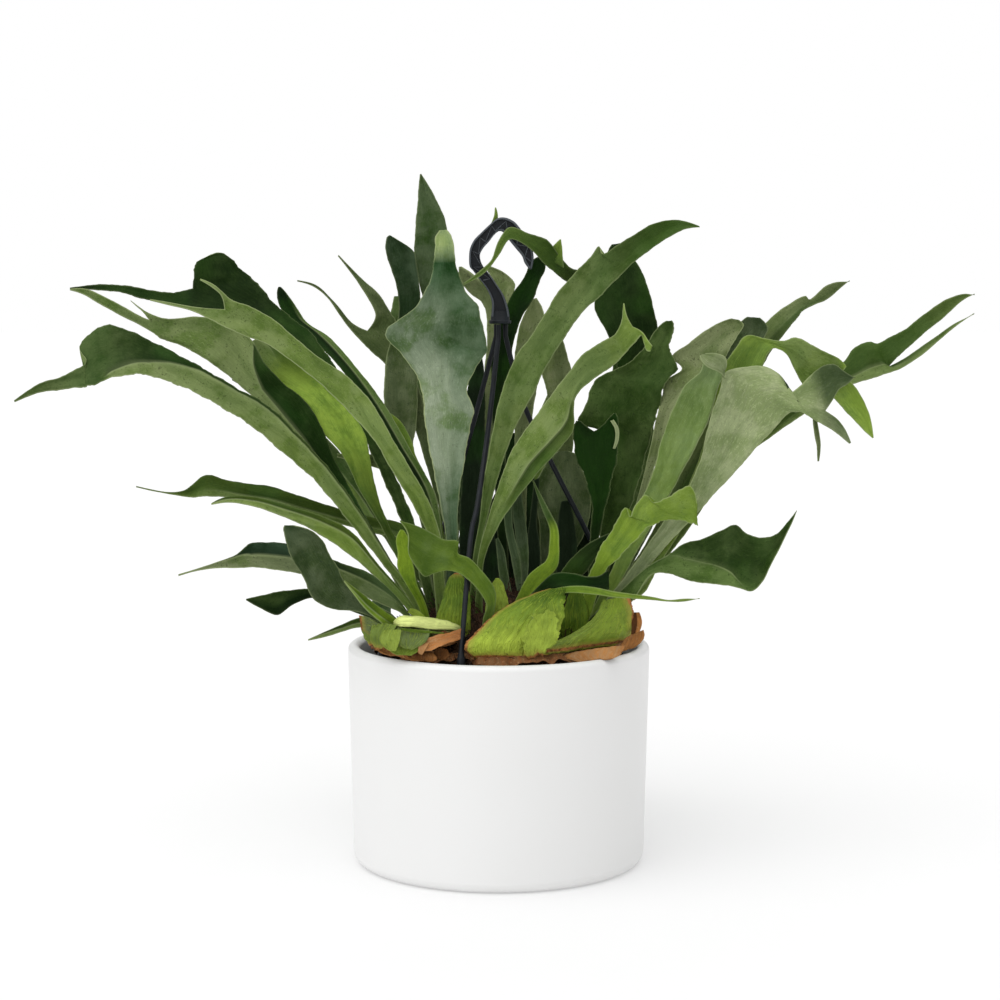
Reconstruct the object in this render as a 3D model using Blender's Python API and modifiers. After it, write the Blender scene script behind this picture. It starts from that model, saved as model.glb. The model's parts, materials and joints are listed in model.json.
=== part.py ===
"""Staghorn fern in its hanging basket, standing in a white ceramic pot.

Metres, +Z up, the pot's axis on Z and its bottom on z = 0.  The viewer stands on -Y.
Each frond is a strip of cross rows.  A row gives the two edges of the blade as they are seen from
the viewer's eye, in mm on the upright plane through the pot's axis, and the depth of its middle.
"""
import math

import bmesh
import bpy
from mathutils import Matrix, Vector

MM = 0.001

# The viewer's eye, from which the frond rows are read.
EYE = Vector((0.0009, -1.5, 0.386))

# Pot: a straight glazed cylinder with a rolled lip.
POT_RIM_RADIUS = 0.105
POT_FOOT_RADIUS = 0.1016
POT_HEIGHT = 0.1526
POT_WALL = 0.0085
POT_FLOOR = 0.008
POT_FOOT_FILLET = 0.0076
INNER_FILLET = 0.006

# Grower's basket inside the pot.
BASKET_RIM_RADIUS = 0.088
BASKET_FOOT_RADIUS = 0.070
BASKET_HEIGHT = 0.135
BASKET_WALL = 0.002
BASKET_FLANGE = 0.005

# Root ball and the rhizome mound that the fronds grow from.
MOUND_RADIUS = 0.080
MOUND_TOP = 0.190
MOUND_EDGE = 0.150
MOUND_BOTTOM = 0.1445
MOUND_RINGS = 6
MOUND_SECTORS = 28

# Hanger: moulded hook, socket and three strands.
HOOK_HALF_DEPTH = 0.0045
SOCKET_Z = 0.374
STRAND_RADIUS = 0.00175
CLIP_RADIUS = 0.0028
CLIP_LENGTH = 0.012
CLIP_LEAD = Vector((0, 0, 0.003))
STRAND_FEET = ((-0.0248, -0.0812), (0.0826, 0.0196), (-0.0580, 0.0622))
STRAND_ROUTES = (
    ((-7.4, 300, -25), (-14.6, 250, -47), (-18.4, 233, -54), (-20.6, 215, -61), (-22.6, 190, -71)),
    ((9.3, 346.5, 3), (17, 319, 6), (35, 281, 10), (62, 228, 15), (75, 198, 18)),
    ((-18, 304, 20), (-38, 234, 39), (-49, 190, 55)),
)
STRAND_SPREAD = 0.0038
SOCKET_X = 0.001
HANGER_BLACK = (0.015, 0.016, 0.02)

# Skirt of dry shields: its section as (radius, height), and its radii where a clip needs room.
SKIRT_PROFILE = ((0.0720, 0.1545), (0.0815, 0.1552), (0.0868, 0.1530), (0.0905, 0.1508))
SKIRT_NOTCHED = (0.0720, 0.0785, 0.0800, 0.0806)
SKIRT_STEPS = 60
CLIP_SWEEP = 0.07

TUFT_KNOB = (0.012, 0.011, 0.011)
BLADE = 0.0012
SHIELD = 0.0012
SEAT_GAP = 0.0003
POT_SIDES = 64
BASKET_SIDES = 40

FROND_GREEN = (0.075, 0.165, 0.045)
FROND_PALE = (0.22, 0.31, 0.14)
FROND_LIGHT = (0.24, 0.40, 0.06)
SHIELD_GREEN = (0.28, 0.42, 0.07)
SHIELD_BROWN = (0.30, 0.13, 0.05)

SHADES = {
    "dark": FROND_GREEN,
    "pale": FROND_PALE,
    "light": FROND_LIGHT,
    "shield": SHIELD_GREEN,
    "brown": SHIELD_BROWN,
}


class Strip:
    """A run of blade rows, which may end in a fork of two lobes that meet at a sinus."""

    def __init__(self, rows, sinus=None, lobes=()):
        self.rows = rows
        self.sinus = sinus
        self.lobes = lobes


# Rows run from the crown to the tip: (left u, v, right u, v, depth), the sides as the blade heads.
# A sixth number is how much farther back the right edge lies; without it the frond's lean gives it.
FRONDS = {
    "frond_left_low": ("dark", 0.30, Strip([
        (-52, 152, -45, 157, -24), (-62, 181, -57, 185, -25), (-82.5, 209.5, -77, 213, -27),
        (-99.8, 231.5, -92, 238, -29), (-130.5, 268.5, -120, 277, -31), (-150, 285.5, -138, 297, -33),
        (-172.5, 304.5, -160, 318, -35), (-191, 316, -181, 330, -36), (-211.5, 327.5, -204, 343.5, -38),
        (-228, 334, -226, 355.5, -39), (-242, 338.5, -241, 363, -40), (-254, 339, -255, 369.5, -41),
        (-267, 336.8, -268, 373.3, -42), (-278, 332.5, -280, 369, -43), (-284, 331, -289, 356, -43),
        (-286, 330.5, -284.5, 350, -44), (-299, 329, -299, 339, -45), (-317, 326.5, -317, 333, -47),
        (-334.5, 320, -335, 321.2, -49)])),
    "frond_left_mid": ("pale", 0.25, Strip([
        (-53, 155, -46, 160, -15), (-68, 186, -61, 187, -15), (-82, 213, -75, 210, -15),
        (-99, 240, -92, 240, -15), (-117, 266, -104, 262, -15), (-129, 282, -114, 281, -15),
        (-141, 295, -123, 301, -15), (-153, 306, -135, 318.5, -15), (-172, 325.5, -151, 331, -15),
        (-189, 340, -165, 343, -15), (-203, 350, -174, 360, -15), (-218, 358.5, -192, 371, -15),
        (-233.5, 364, -211, 377.5, -15), (-237, 367, -229, 377.5, -15)],
        sinus=(-241, 376.8), lobes=(
            Strip([(-248, 373.5, -247, 379.5, -15), (-258, 378.5, -257, 385, -16),
                   (-272, 386, -271, 392.5, -17), (-288, 395, -287.5, 398.5, -18),
                   (-295, 397, -295, 398, -19)]),
            Strip([(-245.5, 382.5, -240, 381, -15), (-253, 389.3, -253.5, 390.3, -15)])))),
    "frond_left_high": ("pale", 0.30, Strip([
        (-42, 155, -33, 158, -31), (-45, 190, -37, 191, -32), (-47, 228, -41, 229.5, -34),
        (-55, 251, -47.5, 249, -36), (-71, 276, -60, 272, -39), (-85.5, 292.5, -73, 294, -42),
        (-102, 311.5, -88, 320, -45), (-122, 331.5, -106, 339, -48), (-142, 347.5, -124, 351, -51),
        (-161.8, 361, -141, 365, -54), (-176, 366, -153, 375.5, -57), (-191, 373, -170, 385.5, -60),
        (-200, 377.5, -184.5, 391, -62)],
        sinus=(-188.8, 384), lobes=(
            Strip([(-212, 383, -209, 385.6, -63), (-226, 386.5, -225, 388.5, -65),
                   (-240, 390, -240, 391, -67)]),
            Strip([(-191.5, 394, -190.5, 396.5, -64), (-197, 398.8, -196, 401, -66),
                   (-205.5, 404, -205.2, 405, -67)])))),
    "frond_left_dark": ("dark", 0.25, Strip([
        (-46, 158, -39, 160, -6), (-53, 190, -46, 192, -5), (-62, 223, -54, 224, -3),
        (-72, 248, -62, 246, 0), (-88, 284, -76, 278, 4), (-104, 318, -92, 308, 9),
        (-124, 344, -110, 332, 14), (-145, 360, -122, 350, 19), (-166, 371, -133, 368, 24),
        (-184, 378, -145, 380, 28), (-199, 381, -157, 391, 32), (-211.5, 383, -169, 405, 35)],
        sinus=(-210.6, 398.3), lobes=(
            Strip([(-226, 388, -228, 395.5, 36), (-242, 390.5, -242, 397.8, 37),
                   (-263, 396, -264, 401, 38), (-278, 397.2, -279, 400.8, 39),
                   (-295, 397.6, -295, 398.8, 40)]),
            Strip([(-209.5, 409.5, -177, 411.5, 37), (-207, 416.5, -184, 418.5, 38),
                   (-202, 419.5, -189, 422.2, 39), (-196, 421.7, -193, 422.6, 39)])))),
    "frond_left_back": ("dark", 0.30, Strip([
        (-35, 158, -29, 159, 8), (-40, 195, -34, 196, 9), (-46, 226, -39, 227, 11),
        (-55, 258, -44, 256, 15), (-74, 291, -60.5, 286, 23), (-93, 321, -79, 318.5, 31),
        (-114, 349, -99.5, 345.5, 39), (-133, 367, -117, 365, 46), (-147, 380, -133, 376, 50),
        (-152, 390, -141.5, 389, 53), (-152.5, 397, -147, 396.3, 55), (-151.6, 399.3, -149.8, 399.3, 56)])),
    "frond_left_inner": ("light", 0.25, Strip([
        (-49, 157, -42, 160, -9), (-60, 186, -53, 188, -10), (-73, 216, -66, 216, -9),
        (-84, 238, -75, 232, -7), (-97, 260, -83, 252, -5), (-108.5, 284, -88.5, 277, -3),
        (-120.5, 299.5, -92, 296, -2), (-127.5, 315, -100, 311, -1), (-141, 325.5, -114, 328, 0),
        (-152, 333, -131, 343, 0), (-163, 343, -149, 355, 0), (-169, 354, -163, 361, 0)])),
    "frond_left_wide": ("pale", 0.35, Strip([
        (-50, 153, -47, 159, -42), (-66, 178, -66, 187, -45), (-84, 196.5, -82.8, 206, -49),
        (-104.5, 214.5, -101, 229, -53), (-126.8, 229.5, -118, 239, -57), (-150, 240.5, -149, 249, -62),
        (-170, 247.5, -171, 254.5, -67), (-188, 250.3, -190, 254.2, -71), (-199.5, 248.7, -199.5, 249.9, -74)])),
    "frond_left_cross": ("dark", 0.35, Strip([
        (-36, 168, -31, 172, 3), (-46, 204, -41, 212, 5), (-66, 224, -63, 234, 7),
        (-87, 229, -91, 241, 8), (-112, 236, -112, 246.5, 7), (-138, 243, -138, 255, 4),
        (-160, 249, -160, 262, 1), (-177, 252, -177, 264, -2), (-190, 254.3, -188, 266, -4),
        (-204, 254.5, -203, 269.5, -6), (-215, 254, -218, 259, -8), (-226, 255.7, -226, 257.7, -10),
        (-251.5, 261, -251.5, 262, -14)])),
    "frond_left_lower": ("dark", 0.35, Strip([
        (-54, 150, -54, 157, -48), (-67, 172, -70, 183, -56), (-88, 182, -90, 201, -59),
        (-108, 194, -112, 209, -63), (-127, 199, -131, 217, -68), (-141, 201, -146.5, 221.5, -73),
        (-156, 203.5, -160, 222.6, -78), (-171, 205, -173, 221.7, -83), (-183, 204.7, -182, 214.5, -87),
        (-200, 204.2, -196, 208.8, -92), (-223, 199, -223, 200.2, -98)])),
    "frond_left_paddle": ("dark", 0.25, Strip([
        (-50, 146, -48, 152, -52), (-65, 153, -63, 162, -61), (-80, 165, -77, 174, -67),
        (-97, 173.5, -93, 182, -75), (-116, 176, -102, 188, -84), (-129.5, 183, -108, 196, -91),
        (-135, 196, -112.5, 206, -98), (-144, 211.5, -118.5, 215.5, -104), (-147.5, 221, -122.5, 224, -109),
        (-149.3, 229.5, -129, 230, -113), (-148.8, 234.6, -141, 233.8, -116)])),
    "frond_left_strap": ("light", 0.25, Strip([
        (-45, 147, -43, 154, -56), (-62, 153, -60, 162, -66), (-80, 164.5, -76, 172, -74),
        (-94, 177, -91, 183.5, -85), (-102.5, 188, -100.5, 191, -94), (-107.8, 195, -107, 196, -98)])),
    "frond_left_blade": ("dark", 0.35, Strip([
        (-44, 146, -44, 152, -36), (-80, 165, -81, 172, -42), (-110, 177, -112, 185, -48),
        (-131, 183.5, -133.5, 190, -52), (-144, 178.5, -145, 189.2, -55), (-154, 171.7, -155, 187.8, -57),
        (-165, 175.7, -165, 185.6, -60), (-176, 182, -176, 183, -63)])),
    "frond_left_small": ("dark", 0.35, Strip([
        (-60, 150, -60, 158, -14), (-78, 160, -78, 168, -18), (-96.5, 163, -96.5, 169.8, -23),
        (-110, 159.5, -110, 164.8, -27), (-122, 156, -122, 159.5, -31), (-133, 153.6, -133, 154.6, -35)])),
    "frond_left_fork": ("dark", 0.25, Strip([
        (-29, 160, -23, 161, 27), (-33, 215, -27, 216, 40), (-46, 262, -39, 264, 52),
        (-59, 305, -49, 309, 58), (-71, 336, -61, 345, 64), (-80, 348, -70, 363, 68),
        (-93, 360, -70.8, 376.5, 72)],
        sinus=(-90.5, 369.3), lobes=(
            Strip([(-105.8, 374.5, -101, 374.8, 73), (-118.8, 393, -114, 390, 76),
                   (-128.8, 400.2, -126, 400.8, 79), (-138.5, 403, -138.5, 404, 80)]),
            Strip([(-85, 378, -73.8, 380.5, 74), (-89.5, 390.5, -82, 394, 78),
                   (-97, 402.5, -92.5, 403.5, 82), (-110.5, 420.4, -110, 421.2, 86)])))),
    "frond_young_arch": ("light", 0.10, Strip([
        (-13, 140, -5, 140, -60), (-11, 168, -4, 167, -66), (-9, 180, -2.5, 189, -69),
        (-18.7, 194, -12.8, 204, -73), (-28, 201, -21, 212, -76), (-33, 202.5, -28.3, 215, -77),
        (-38, 202.5, -28, 223.3, -79), (-45.5, 200.5, -37.7, 224.5, -80), (-52, 198.7, -47, 229.5, -81),
        (-58, 206, -54, 233, -82), (-62.5, 214, -60, 235.3, -83), (-63, 229, -66, 237, -84),
        (-68.3, 237, -68.6, 238, -85)])),
    "frond_young_left": ("light", 0.10, Strip([
        (-50, 150, -44, 150, -44), (-57, 180, -51, 180, -49), (-65.5, 195, -57, 194, -56),
        (-70.5, 205, -59, 205, -58), (-70.3, 215, -61.5, 215, -60), (-71.3, 225.5, -63, 226, -62),
        (-68.5, 231.4, -66, 231, -63)])),
    "frond_tall": ("dark", 0.15, Strip([
        (-19, 160, -12, 161, 36), (-26, 220, -17, 221, 43), (-35, 280, -24, 281, 52),
        (-45, 340, -31, 341, 60), (-52, 390, -34, 391, 64), (-58, 424, -34, 425, 67),
        (-57, 441, -36, 442, 68), (-55.5, 459, -42, 457.5, 70), (-54, 476, -53, 476.4, 72)])),
    "frond_dark_blunt": ("dark", 0.15, Strip([
        (-42, 160, -36, 161, 13), (-50, 215, -43, 216, 22), (-58, 252, -49, 254, 34),
        (-68, 284, -59, 288, 43), (-78, 310, -56.5, 308, 48), (-79.2, 332, -56, 331, 49),
        (-76.5, 356, -55, 355, 51), (-69.4, 378, -54, 378, 53), (-69.2, 394, -54, 395, 54),
        (-74, 412, -56, 412, 55), (-78, 426, -59, 424.5, 57), (-77.2, 432, -65, 428.8, 58),
        (-75, 434.7, -72, 433, 59)])),
    "frond_star": ("pale", 0.05, Strip([
        (-38, 158, -30, 158, -24), (-37, 195, -29.5, 195, -26), (-36.8, 225, -28.7, 224, -28),
        (-42, 256, -27.5, 255, -30), (-46.3, 278, -23.7, 279, -32), (-50.7, 303, -19.7, 303, -34),
        (-52, 318, -17.2, 314, -35), (-54, 331, -21.8, 330, -36), (-59, 342, -16, 343, -37),
        (-67, 353, -9, 353.5, -39), (-77.6, 365, -7.8, 359, -41), (-77, 371, -10, 368, -42),
        (-69, 376.6, -12.3, 378, -43), (-58, 385, -14.5, 386.5, -44), (-50.3, 397, -22.3, 396, -45),
        (-45.3, 411.5, -28.5, 411.5, -46), (-43, 427, -32, 428, -46), (-39.2, 437.3, -37.6, 437.3, -46)])),
    "frond_diagonal": ("pale", -0.20, Strip([
        (-23, 158, -17, 158, -24), (-20, 190, -15, 190, -26), (-17.8, 213, -13.2, 215, -29),
        (-13.3, 239, -7.5, 241, -33), (-10.8, 263, -1.5, 264, -37), (-7.8, 281, 4, 282, -40),
        (-3.8, 303, 11, 301, -43), (1, 324, 18, 315, -46), (5, 336, 24.5, 327, -48),
        (12, 352, 31.5, 342, -51), (22, 365.5, 40.5, 357, -54), (31.5, 380.5, 48.5, 369, -57),
        (41, 396, 58, 382.5, -60), (52, 408.5, 68.5, 391.5, -63), (63, 420, 77, 400.5, -66),
        (69, 427, 82, 405.5, -67), (70.5, 422.2, 86, 409.5, -68), (80.5, 427.3, 94.5, 417.5, -70),
        (92, 434.5, 106, 426, -72), (105, 442, 118.5, 434.3, -74), (119, 445.2, 128, 438.6, -76),
        (137.6, 441, 138, 440, -78)])),
    "frond_curled": ("pale", -0.20, Strip([
        (-17, 152, -11, 152, -40), (-16, 190, -11, 189, -42), (-15, 209, -10.5, 207, -44),
        (-7, 241, 0, 234, -48), (0.8, 265, 12, 252, -52), (8.8, 286, 28, 272, -56),
        (20, 303, 45, 291, -60), (31, 318, 52, 302, -63), (38.5, 328, 53, 323, -66),
        (50, 343, 66, 336.5, -70), (58.5, 353.5, 76, 343, -73), (70, 361, 85, 351, -76),
        (80, 367, 93, 360, -79), (84.5, 376, 99, 366, -81)],
        sinus=(92.5, 372), lobes=(
            Strip([(85.3, 383, 88, 380.5, -82), (85.7, 388, 86.5, 388, -83)]),
            Strip([(99, 368.5, 100.5, 360, -83), (103, 363, 102, 355.5, -85),
                   (106, 359, 104.5, 355, -86)])))),
    "frond_over_hook": ("dark", -0.15, Strip([
        (51, 160, 57, 160, 35), (60, 230, 67, 229, 42), (71, 300, 80, 298, 49), (79, 350, 90, 349, 53),
        (77, 382, 90, 387, 51), (66, 396, 77, 406, 44), (54, 399, 60, 411, 28), (45, 404, 50, 412, 15),
        (38.5, 409, 42, 420.5, 5), (31, 415.5, 33, 431.5, -3), (22, 425, 20.5, 436, -9),
        (12.5, 431, 7, 440, -12), (6.3, 431, -0.5, 430, -13), (0.2, 421, -4.5, 419, -13.5),
        (-9.5, 409, -11.8, 411.3, -13.5), (-24, 400.5, -24.6, 401.6, -12)])),
    "frond_behind_hook": ("dark", -0.15, Strip([
        (3, 160, 9, 160, 14), (-1, 230, 6, 230, 18), (-4, 290, 5, 290, 21), (-5, 335, 8, 335, 24),
        (-5, 360, 10.5, 362, 26), (2, 377, 16, 378.5, 27), (8, 392.5, 24.5, 392.5, 28),
        (16, 403.5, 28.5, 404, 29), (24.5, 418.5, 32, 415.5, 30), (28.5, 420.5, 30, 420.2, 30)])),
    "frond_back_olive": ("pale", -0.15, Strip([
        (-10, 160, -4, 160, 30), (-12, 230, -5, 230, 36), (-12, 290, -3, 290, 42), (-10, 340, 0, 341, 48),
        (-8, 368, 5, 372, 51), (-11, 388, 9.5, 394, 53)],
        sinus=(-6, 399), lobes=(
            Strip([(-21, 396, -13, 404, 54), (-27, 406, -21, 410.5, 55), (-27.5, 413, -25.5, 413.3, 56)]),
            Strip([(-5.5, 406, 11.5, 401, 54), (-8, 410.5, 6, 407.5, 55),
                   (-8.7, 413.5, -6, 413.5, 55)])))),
    "frond_back_pale": ("pale", -0.15, Strip([
        (12, 160, 18, 160, 22), (12, 230, 19, 230, 27), (11, 290, 21, 290, 31), (11, 335, 27, 335, 36),
        (12, 360, 31.5, 366, 39), (16, 377, 31.5, 381, 41), (23.5, 391, 26, 391.8, 42)])),
    "frond_back_grey": ("pale", -0.10, Strip([
        (19, 160, 25, 160, 33), (23, 230, 31, 229, 38), (36, 285, 51, 285, 45), (36, 310, 51.4, 310, 48),
        (33, 328, 51, 328, 50), (30, 341, 50, 343, 52), (33, 354, 47, 353.5, 53),
        (42, 362.4, 44.4, 362.8, 54)])),
    "frond_back_broad": ("pale", 0.0, Strip([
        (27, 158, 34, 158, 20), (29, 200, 41, 200, 23), (28, 235, 60, 229, 26), (25.5, 261, 64, 254, 29),
        (31, 275, 58.5, 272.5, 31), (36, 282, 53.5, 284, 32), (41, 286, 49, 286, 33)])),
    "frond_short_bright": ("light", -0.10, Strip([
        (5, 150, 13, 148, -36), (13, 185, 21, 181, -38), (23, 202, 33, 196, -40), (33, 210, 41, 206, -41),
        (35, 221, 42, 221, -41), (35.3, 232, 41, 233, -41), (31, 243, 35, 245, -40),
        (27, 254, 29.5, 255.5, -40), (23.3, 265.6, 24, 266, -39)])),
    "frond_dark_fan": ("dark", -0.10, Strip([
        (58, 158, 64, 158, -12), (62, 200, 68, 200, -13), (63.3, 226, 70, 226, -13), (64.5, 248, 74.5, 248, -14),
        (59.5, 268, 79, 268, -15), (53, 284, 82.5, 285, -16), (51.5, 297, 84, 296, -17),
        (52.5, 303, 81.5, 304, -17), (60, 306, 77, 306, -17)])),
    "frond_mitten": ("dark", -0.10, Strip([
        (61, 158, 67, 158, 5), (67, 200, 74, 200, 5), (70, 225, 79, 223, 5), (73, 248, 91, 246, 4),
        (77, 275, 100, 275, 5), (80, 300, 106, 299, 6), (77, 311, 107.5, 305, 6), (55, 305, 109, 311, 6),
        (61, 320, 111.5, 318, 7), (67, 336, 114, 330, 7), (78, 343, 117, 336, 8), (84, 341, 124, 343, 8),
        (91, 348, 119.5, 352, 9), (100, 358, 118, 360, 9), (106.5, 367, 120, 368, 10),
        (111.5, 373.5, 121, 374, 10), (115, 375.8, 119.5, 376.2, 10)])),
    "frond_dark_back": ("dark", -0.15, Strip([
        (62, 162, 68, 161, 21), (76, 200, 82, 199, 25), (80, 230, 87, 228, 26), (86, 290, 96, 288, 27),
        (84, 330, 102, 328, 28), (76, 365, 109.5, 370, 29), (66, 386, 105.5, 389, 31), (69, 404, 101, 404, 32),
        (74, 421, 93.5, 418, 34), (77.5, 428.3, 84, 429.3, 35)])),
    "frond_right_green": ("light", -0.20, Strip([
        (56, 158, 63, 155, -22), (77, 200, 85, 195, -23), (92, 236, 104, 230, -24), (101, 257, 119, 253, -27),
        (108, 275, 132, 274, -30), (112, 292, 140.5, 292, -32), (119, 312, 146.5, 311, -34),
        (129, 332, 151.5, 329, -35), (140, 343, 155, 339, -35), (141.5, 350, 155.5, 345, -35),
        (145, 353.6, 151.5, 352.3, -35)])),
    "frond_right_olive": ("pale", -0.20, Strip([
        (58, 160, 64, 158, -7), (82, 208, 89, 205, -6), (97, 256, 102, 257, -3), (104, 285, 113, 290, 0),
        (110, 313, 122, 318, 3), (112.5, 323, 138, 333, 6), (116, 335, 148, 343, 9),
        (126.5, 343.5, 155, 349, 11), (119.5, 351, 158, 354, 13), (131, 360.5, 161.5, 360.5, 16),
        (144, 370.5, 165, 366, 18), (155, 376, 168.5, 374, 20), (160, 377.6, 165.5, 376.6, 20)])),
    "frond_right_blue": ("dark", -0.20, Strip([
        (60, 162, 66, 160, 12), (95, 228, 102, 224, 16), (120, 285, 130, 280, 21), (142, 325, 154, 319, 29),
        (154, 348, 174, 347, 35), (159, 362, 182, 362, 38), (165.5, 374, 185, 373, 40),
        (171, 378.8, 180, 378.3, 41)])),
    "frond_right_up": ("dark", -0.25, Strip([
        (58, 160, 64, 157, 28), (104, 225, 112, 220, 31), (131, 284, 141, 278, 34), (153, 326, 166, 318, 43),
        (167, 352, 182, 345, 50), (176, 366.5, 192, 361, 55), (184, 375, 200, 371, 59),
        (196, 385, 206, 378.5, 63), (211.5, 393, 212, 384.5, 67), (213.5, 390.8, 217, 387, 69),
        (225, 400, 226.5, 391, 73), (233, 402.7, 234, 397.5, 76), (241, 402.8, 241.3, 403.8, 80)])),
    "frond_right_far": ("dark", -0.25, Strip([
        (58, 158, 64, 154, -1), (97, 202, 104, 196, 0), (122, 236, 130, 229, 3), (146, 264, 155.5, 266.5, 6),
        (160, 280, 172, 283.5, 9), (180, 300, 190, 297, 12), (197, 316, 210, 311, 14), (211, 328, 225, 320, 16),
        (224, 339, 238, 330, 18), (237.5, 347.5, 250, 334, 20), (246, 358, 261, 337.5, 21),
        (255.5, 362, 269, 340, 22), (261, 360.5, 277, 343, 23)],
        sinus=(269.5, 344.8), lobes=(
            Strip([(270, 365, 275, 351, 24), (281, 371, 284, 359, 25), (291, 379, 293, 367.5, 26),
                   (301, 386.5, 302, 374.5, 27), (311, 392, 311, 382.5, 28), (320, 394.6, 319, 389.8, 29),
                   (327.3, 393.6, 327.5, 394.6, 30)]),
            Strip([(279, 349.7, 283, 346.5, 24), (290, 357.3, 292, 352.5, 25), (301, 365, 303, 362, 26),
                   (313, 373.5, 314, 371.5, 27), (327.3, 380.4, 327.5, 381.4, 28)])))),
    "frond_right_pale": ("pale", -0.20, Strip([
        (54, 158, 61, 155, -28), (91, 203, 98, 198, -32), (111, 232, 121, 225, -37), (124, 252, 138, 243, -41),
        (130, 264, 152, 259, -44), (137, 280, 161, 271, -48), (143, 300, 176, 290, -52),
        (148.5, 316, 189.5, 305, -56), (153.5, 331, 200, 316, -60), (156, 340, 205, 315.5, -62),
        (172, 344.5, 208.5, 313.5, -64), (183, 345, 211.5, 312, -66), (195, 338, 214, 310.5, -67),
        (202, 327, 217, 308.5, -68), (208, 331, 220, 306.7, -69), (216, 339.5, 224, 304.6, -70)],
        sinus=(226, 314), lobes=(
            Strip([(225, 345.5, 231, 322, -70), (232, 346, 235, 328.5, -70), (239, 341, 241, 332.5, -70),
                   (246, 336.6, 246, 337.6, -70)]),
            Strip([(233.5, 309, 230.5, 301, -70), (240.5, 300, 237, 296, -69),
                   (244, 292, 242.8, 291.2, -68)])))),
    "frond_right_arch": ("light", -0.15, Strip([
        (58, 157, 64, 154, -17), (102, 207, 108, 202, -17), (126, 250, 134, 244, -18),
        (144, 298, 156, 291, -20), (150, 328, 170, 321, -22), (154, 343, 181, 342, -23),
        (163, 357, 185, 352, -24), (171, 366, 189, 357, -25), (183, 364, 193, 356.5, -26),
        (195, 362.3, 199, 352.5, -27), (205, 364.7, 205, 341, -28), (215, 360.2, 211, 331.5, -29),
        (226, 354.4, 221, 331, -30)],
        sinus=(237, 341), lobes=(
            Strip([(235, 350, 238.5, 342.5, -30), (239.5, 345.5, 240, 344.5, -30)]),
            Strip([(242.5, 332.5, 232, 323.5, -30), (252, 318.5, 243, 315.5, -31),
                   (258.8, 301, 258, 300.6, -32)])))),
    "frond_right_low": ("dark", -0.15, Strip([
        (50, 158, 57, 153, -33), (86, 190, 93, 181, -38), (104, 206, 107, 200, -40), (117, 213.5, 118, 200.8, -43),
        (129, 221.7, 130, 196.5, -46), (142, 225.3, 142, 194, -49), (154, 230.5, 153, 193, -52),
        (165, 235, 162, 191.7, -55), (171, 229.5, 170, 189.6, -57), (179, 226.5, 177, 188.5, -59),
        (187, 226.3, 183, 194, -61), (193, 228.5, 188, 204, -63), (200, 236, 195, 218, -65),
        (206.8, 245, 207, 244.3, -67)])),
    "frond_front_narrow": ("light", -0.10, Strip([
        (4, 150, 12, 147, -56), (20, 181, 24, 175, -59), (45, 191.5, 45, 186.7, -63), (66, 191.3, 66, 186, -67),
        (80, 188.3, 80, 184, -69), (95, 186.2, 95, 183, -71), (108, 184.2, 108, 182, -73),
        (118, 182.3, 118, 181, -75), (131, 183.2, 131, 181.3, -77), (140, 182.8, 140, 183.6, -79)])),
    "frond_right_young": ("light", -0.10, Strip([
        (48, 150, 56, 147, -43), (57, 180, 66, 176, -46), (64, 203, 75, 203, -50), (73, 223, 86, 214, -54),
        (80.5, 234, 97, 226, -57), (88.3, 247, 105, 233.5, -60), (91, 240.5, 109, 235.5, -61),
        (96, 251, 114, 237.3, -63), (102, 256, 120, 238.3, -65), (107.5, 250.2, 125, 238, -66),
        (114, 253, 129, 237.2, -67), (123, 257.5, 132, 236.3, -68), (133, 262, 135, 235.4, -70),
        (137.5, 250, 138, 234.6, -71)])),
    "frond_wavy_dark": ("dark", -0.10, Strip([
        (12, 150, 20, 147, -48), (18, 180, 26, 175, -50), (28, 192.5, 31, 185, -53), (39, 201, 41, 188, -56),
        (50, 201.3, 52, 188, -58), (62, 198.6, 64, 188, -60), (70, 199.5, 72, 187.5, -62),
        (76.3, 203.5, 77, 190, -63)])),
    "frond_dark_fold": ("dark", -0.10, Strip([
        (26, 150, 34, 147, -41), (34, 182, 43, 176, -43), (43, 201, 53, 194, -45), (50, 211, 60, 201, -47),
        (62, 221.5, 67, 211, -48), (76.5, 228.8, 77, 227.6, -49)])),
}

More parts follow.
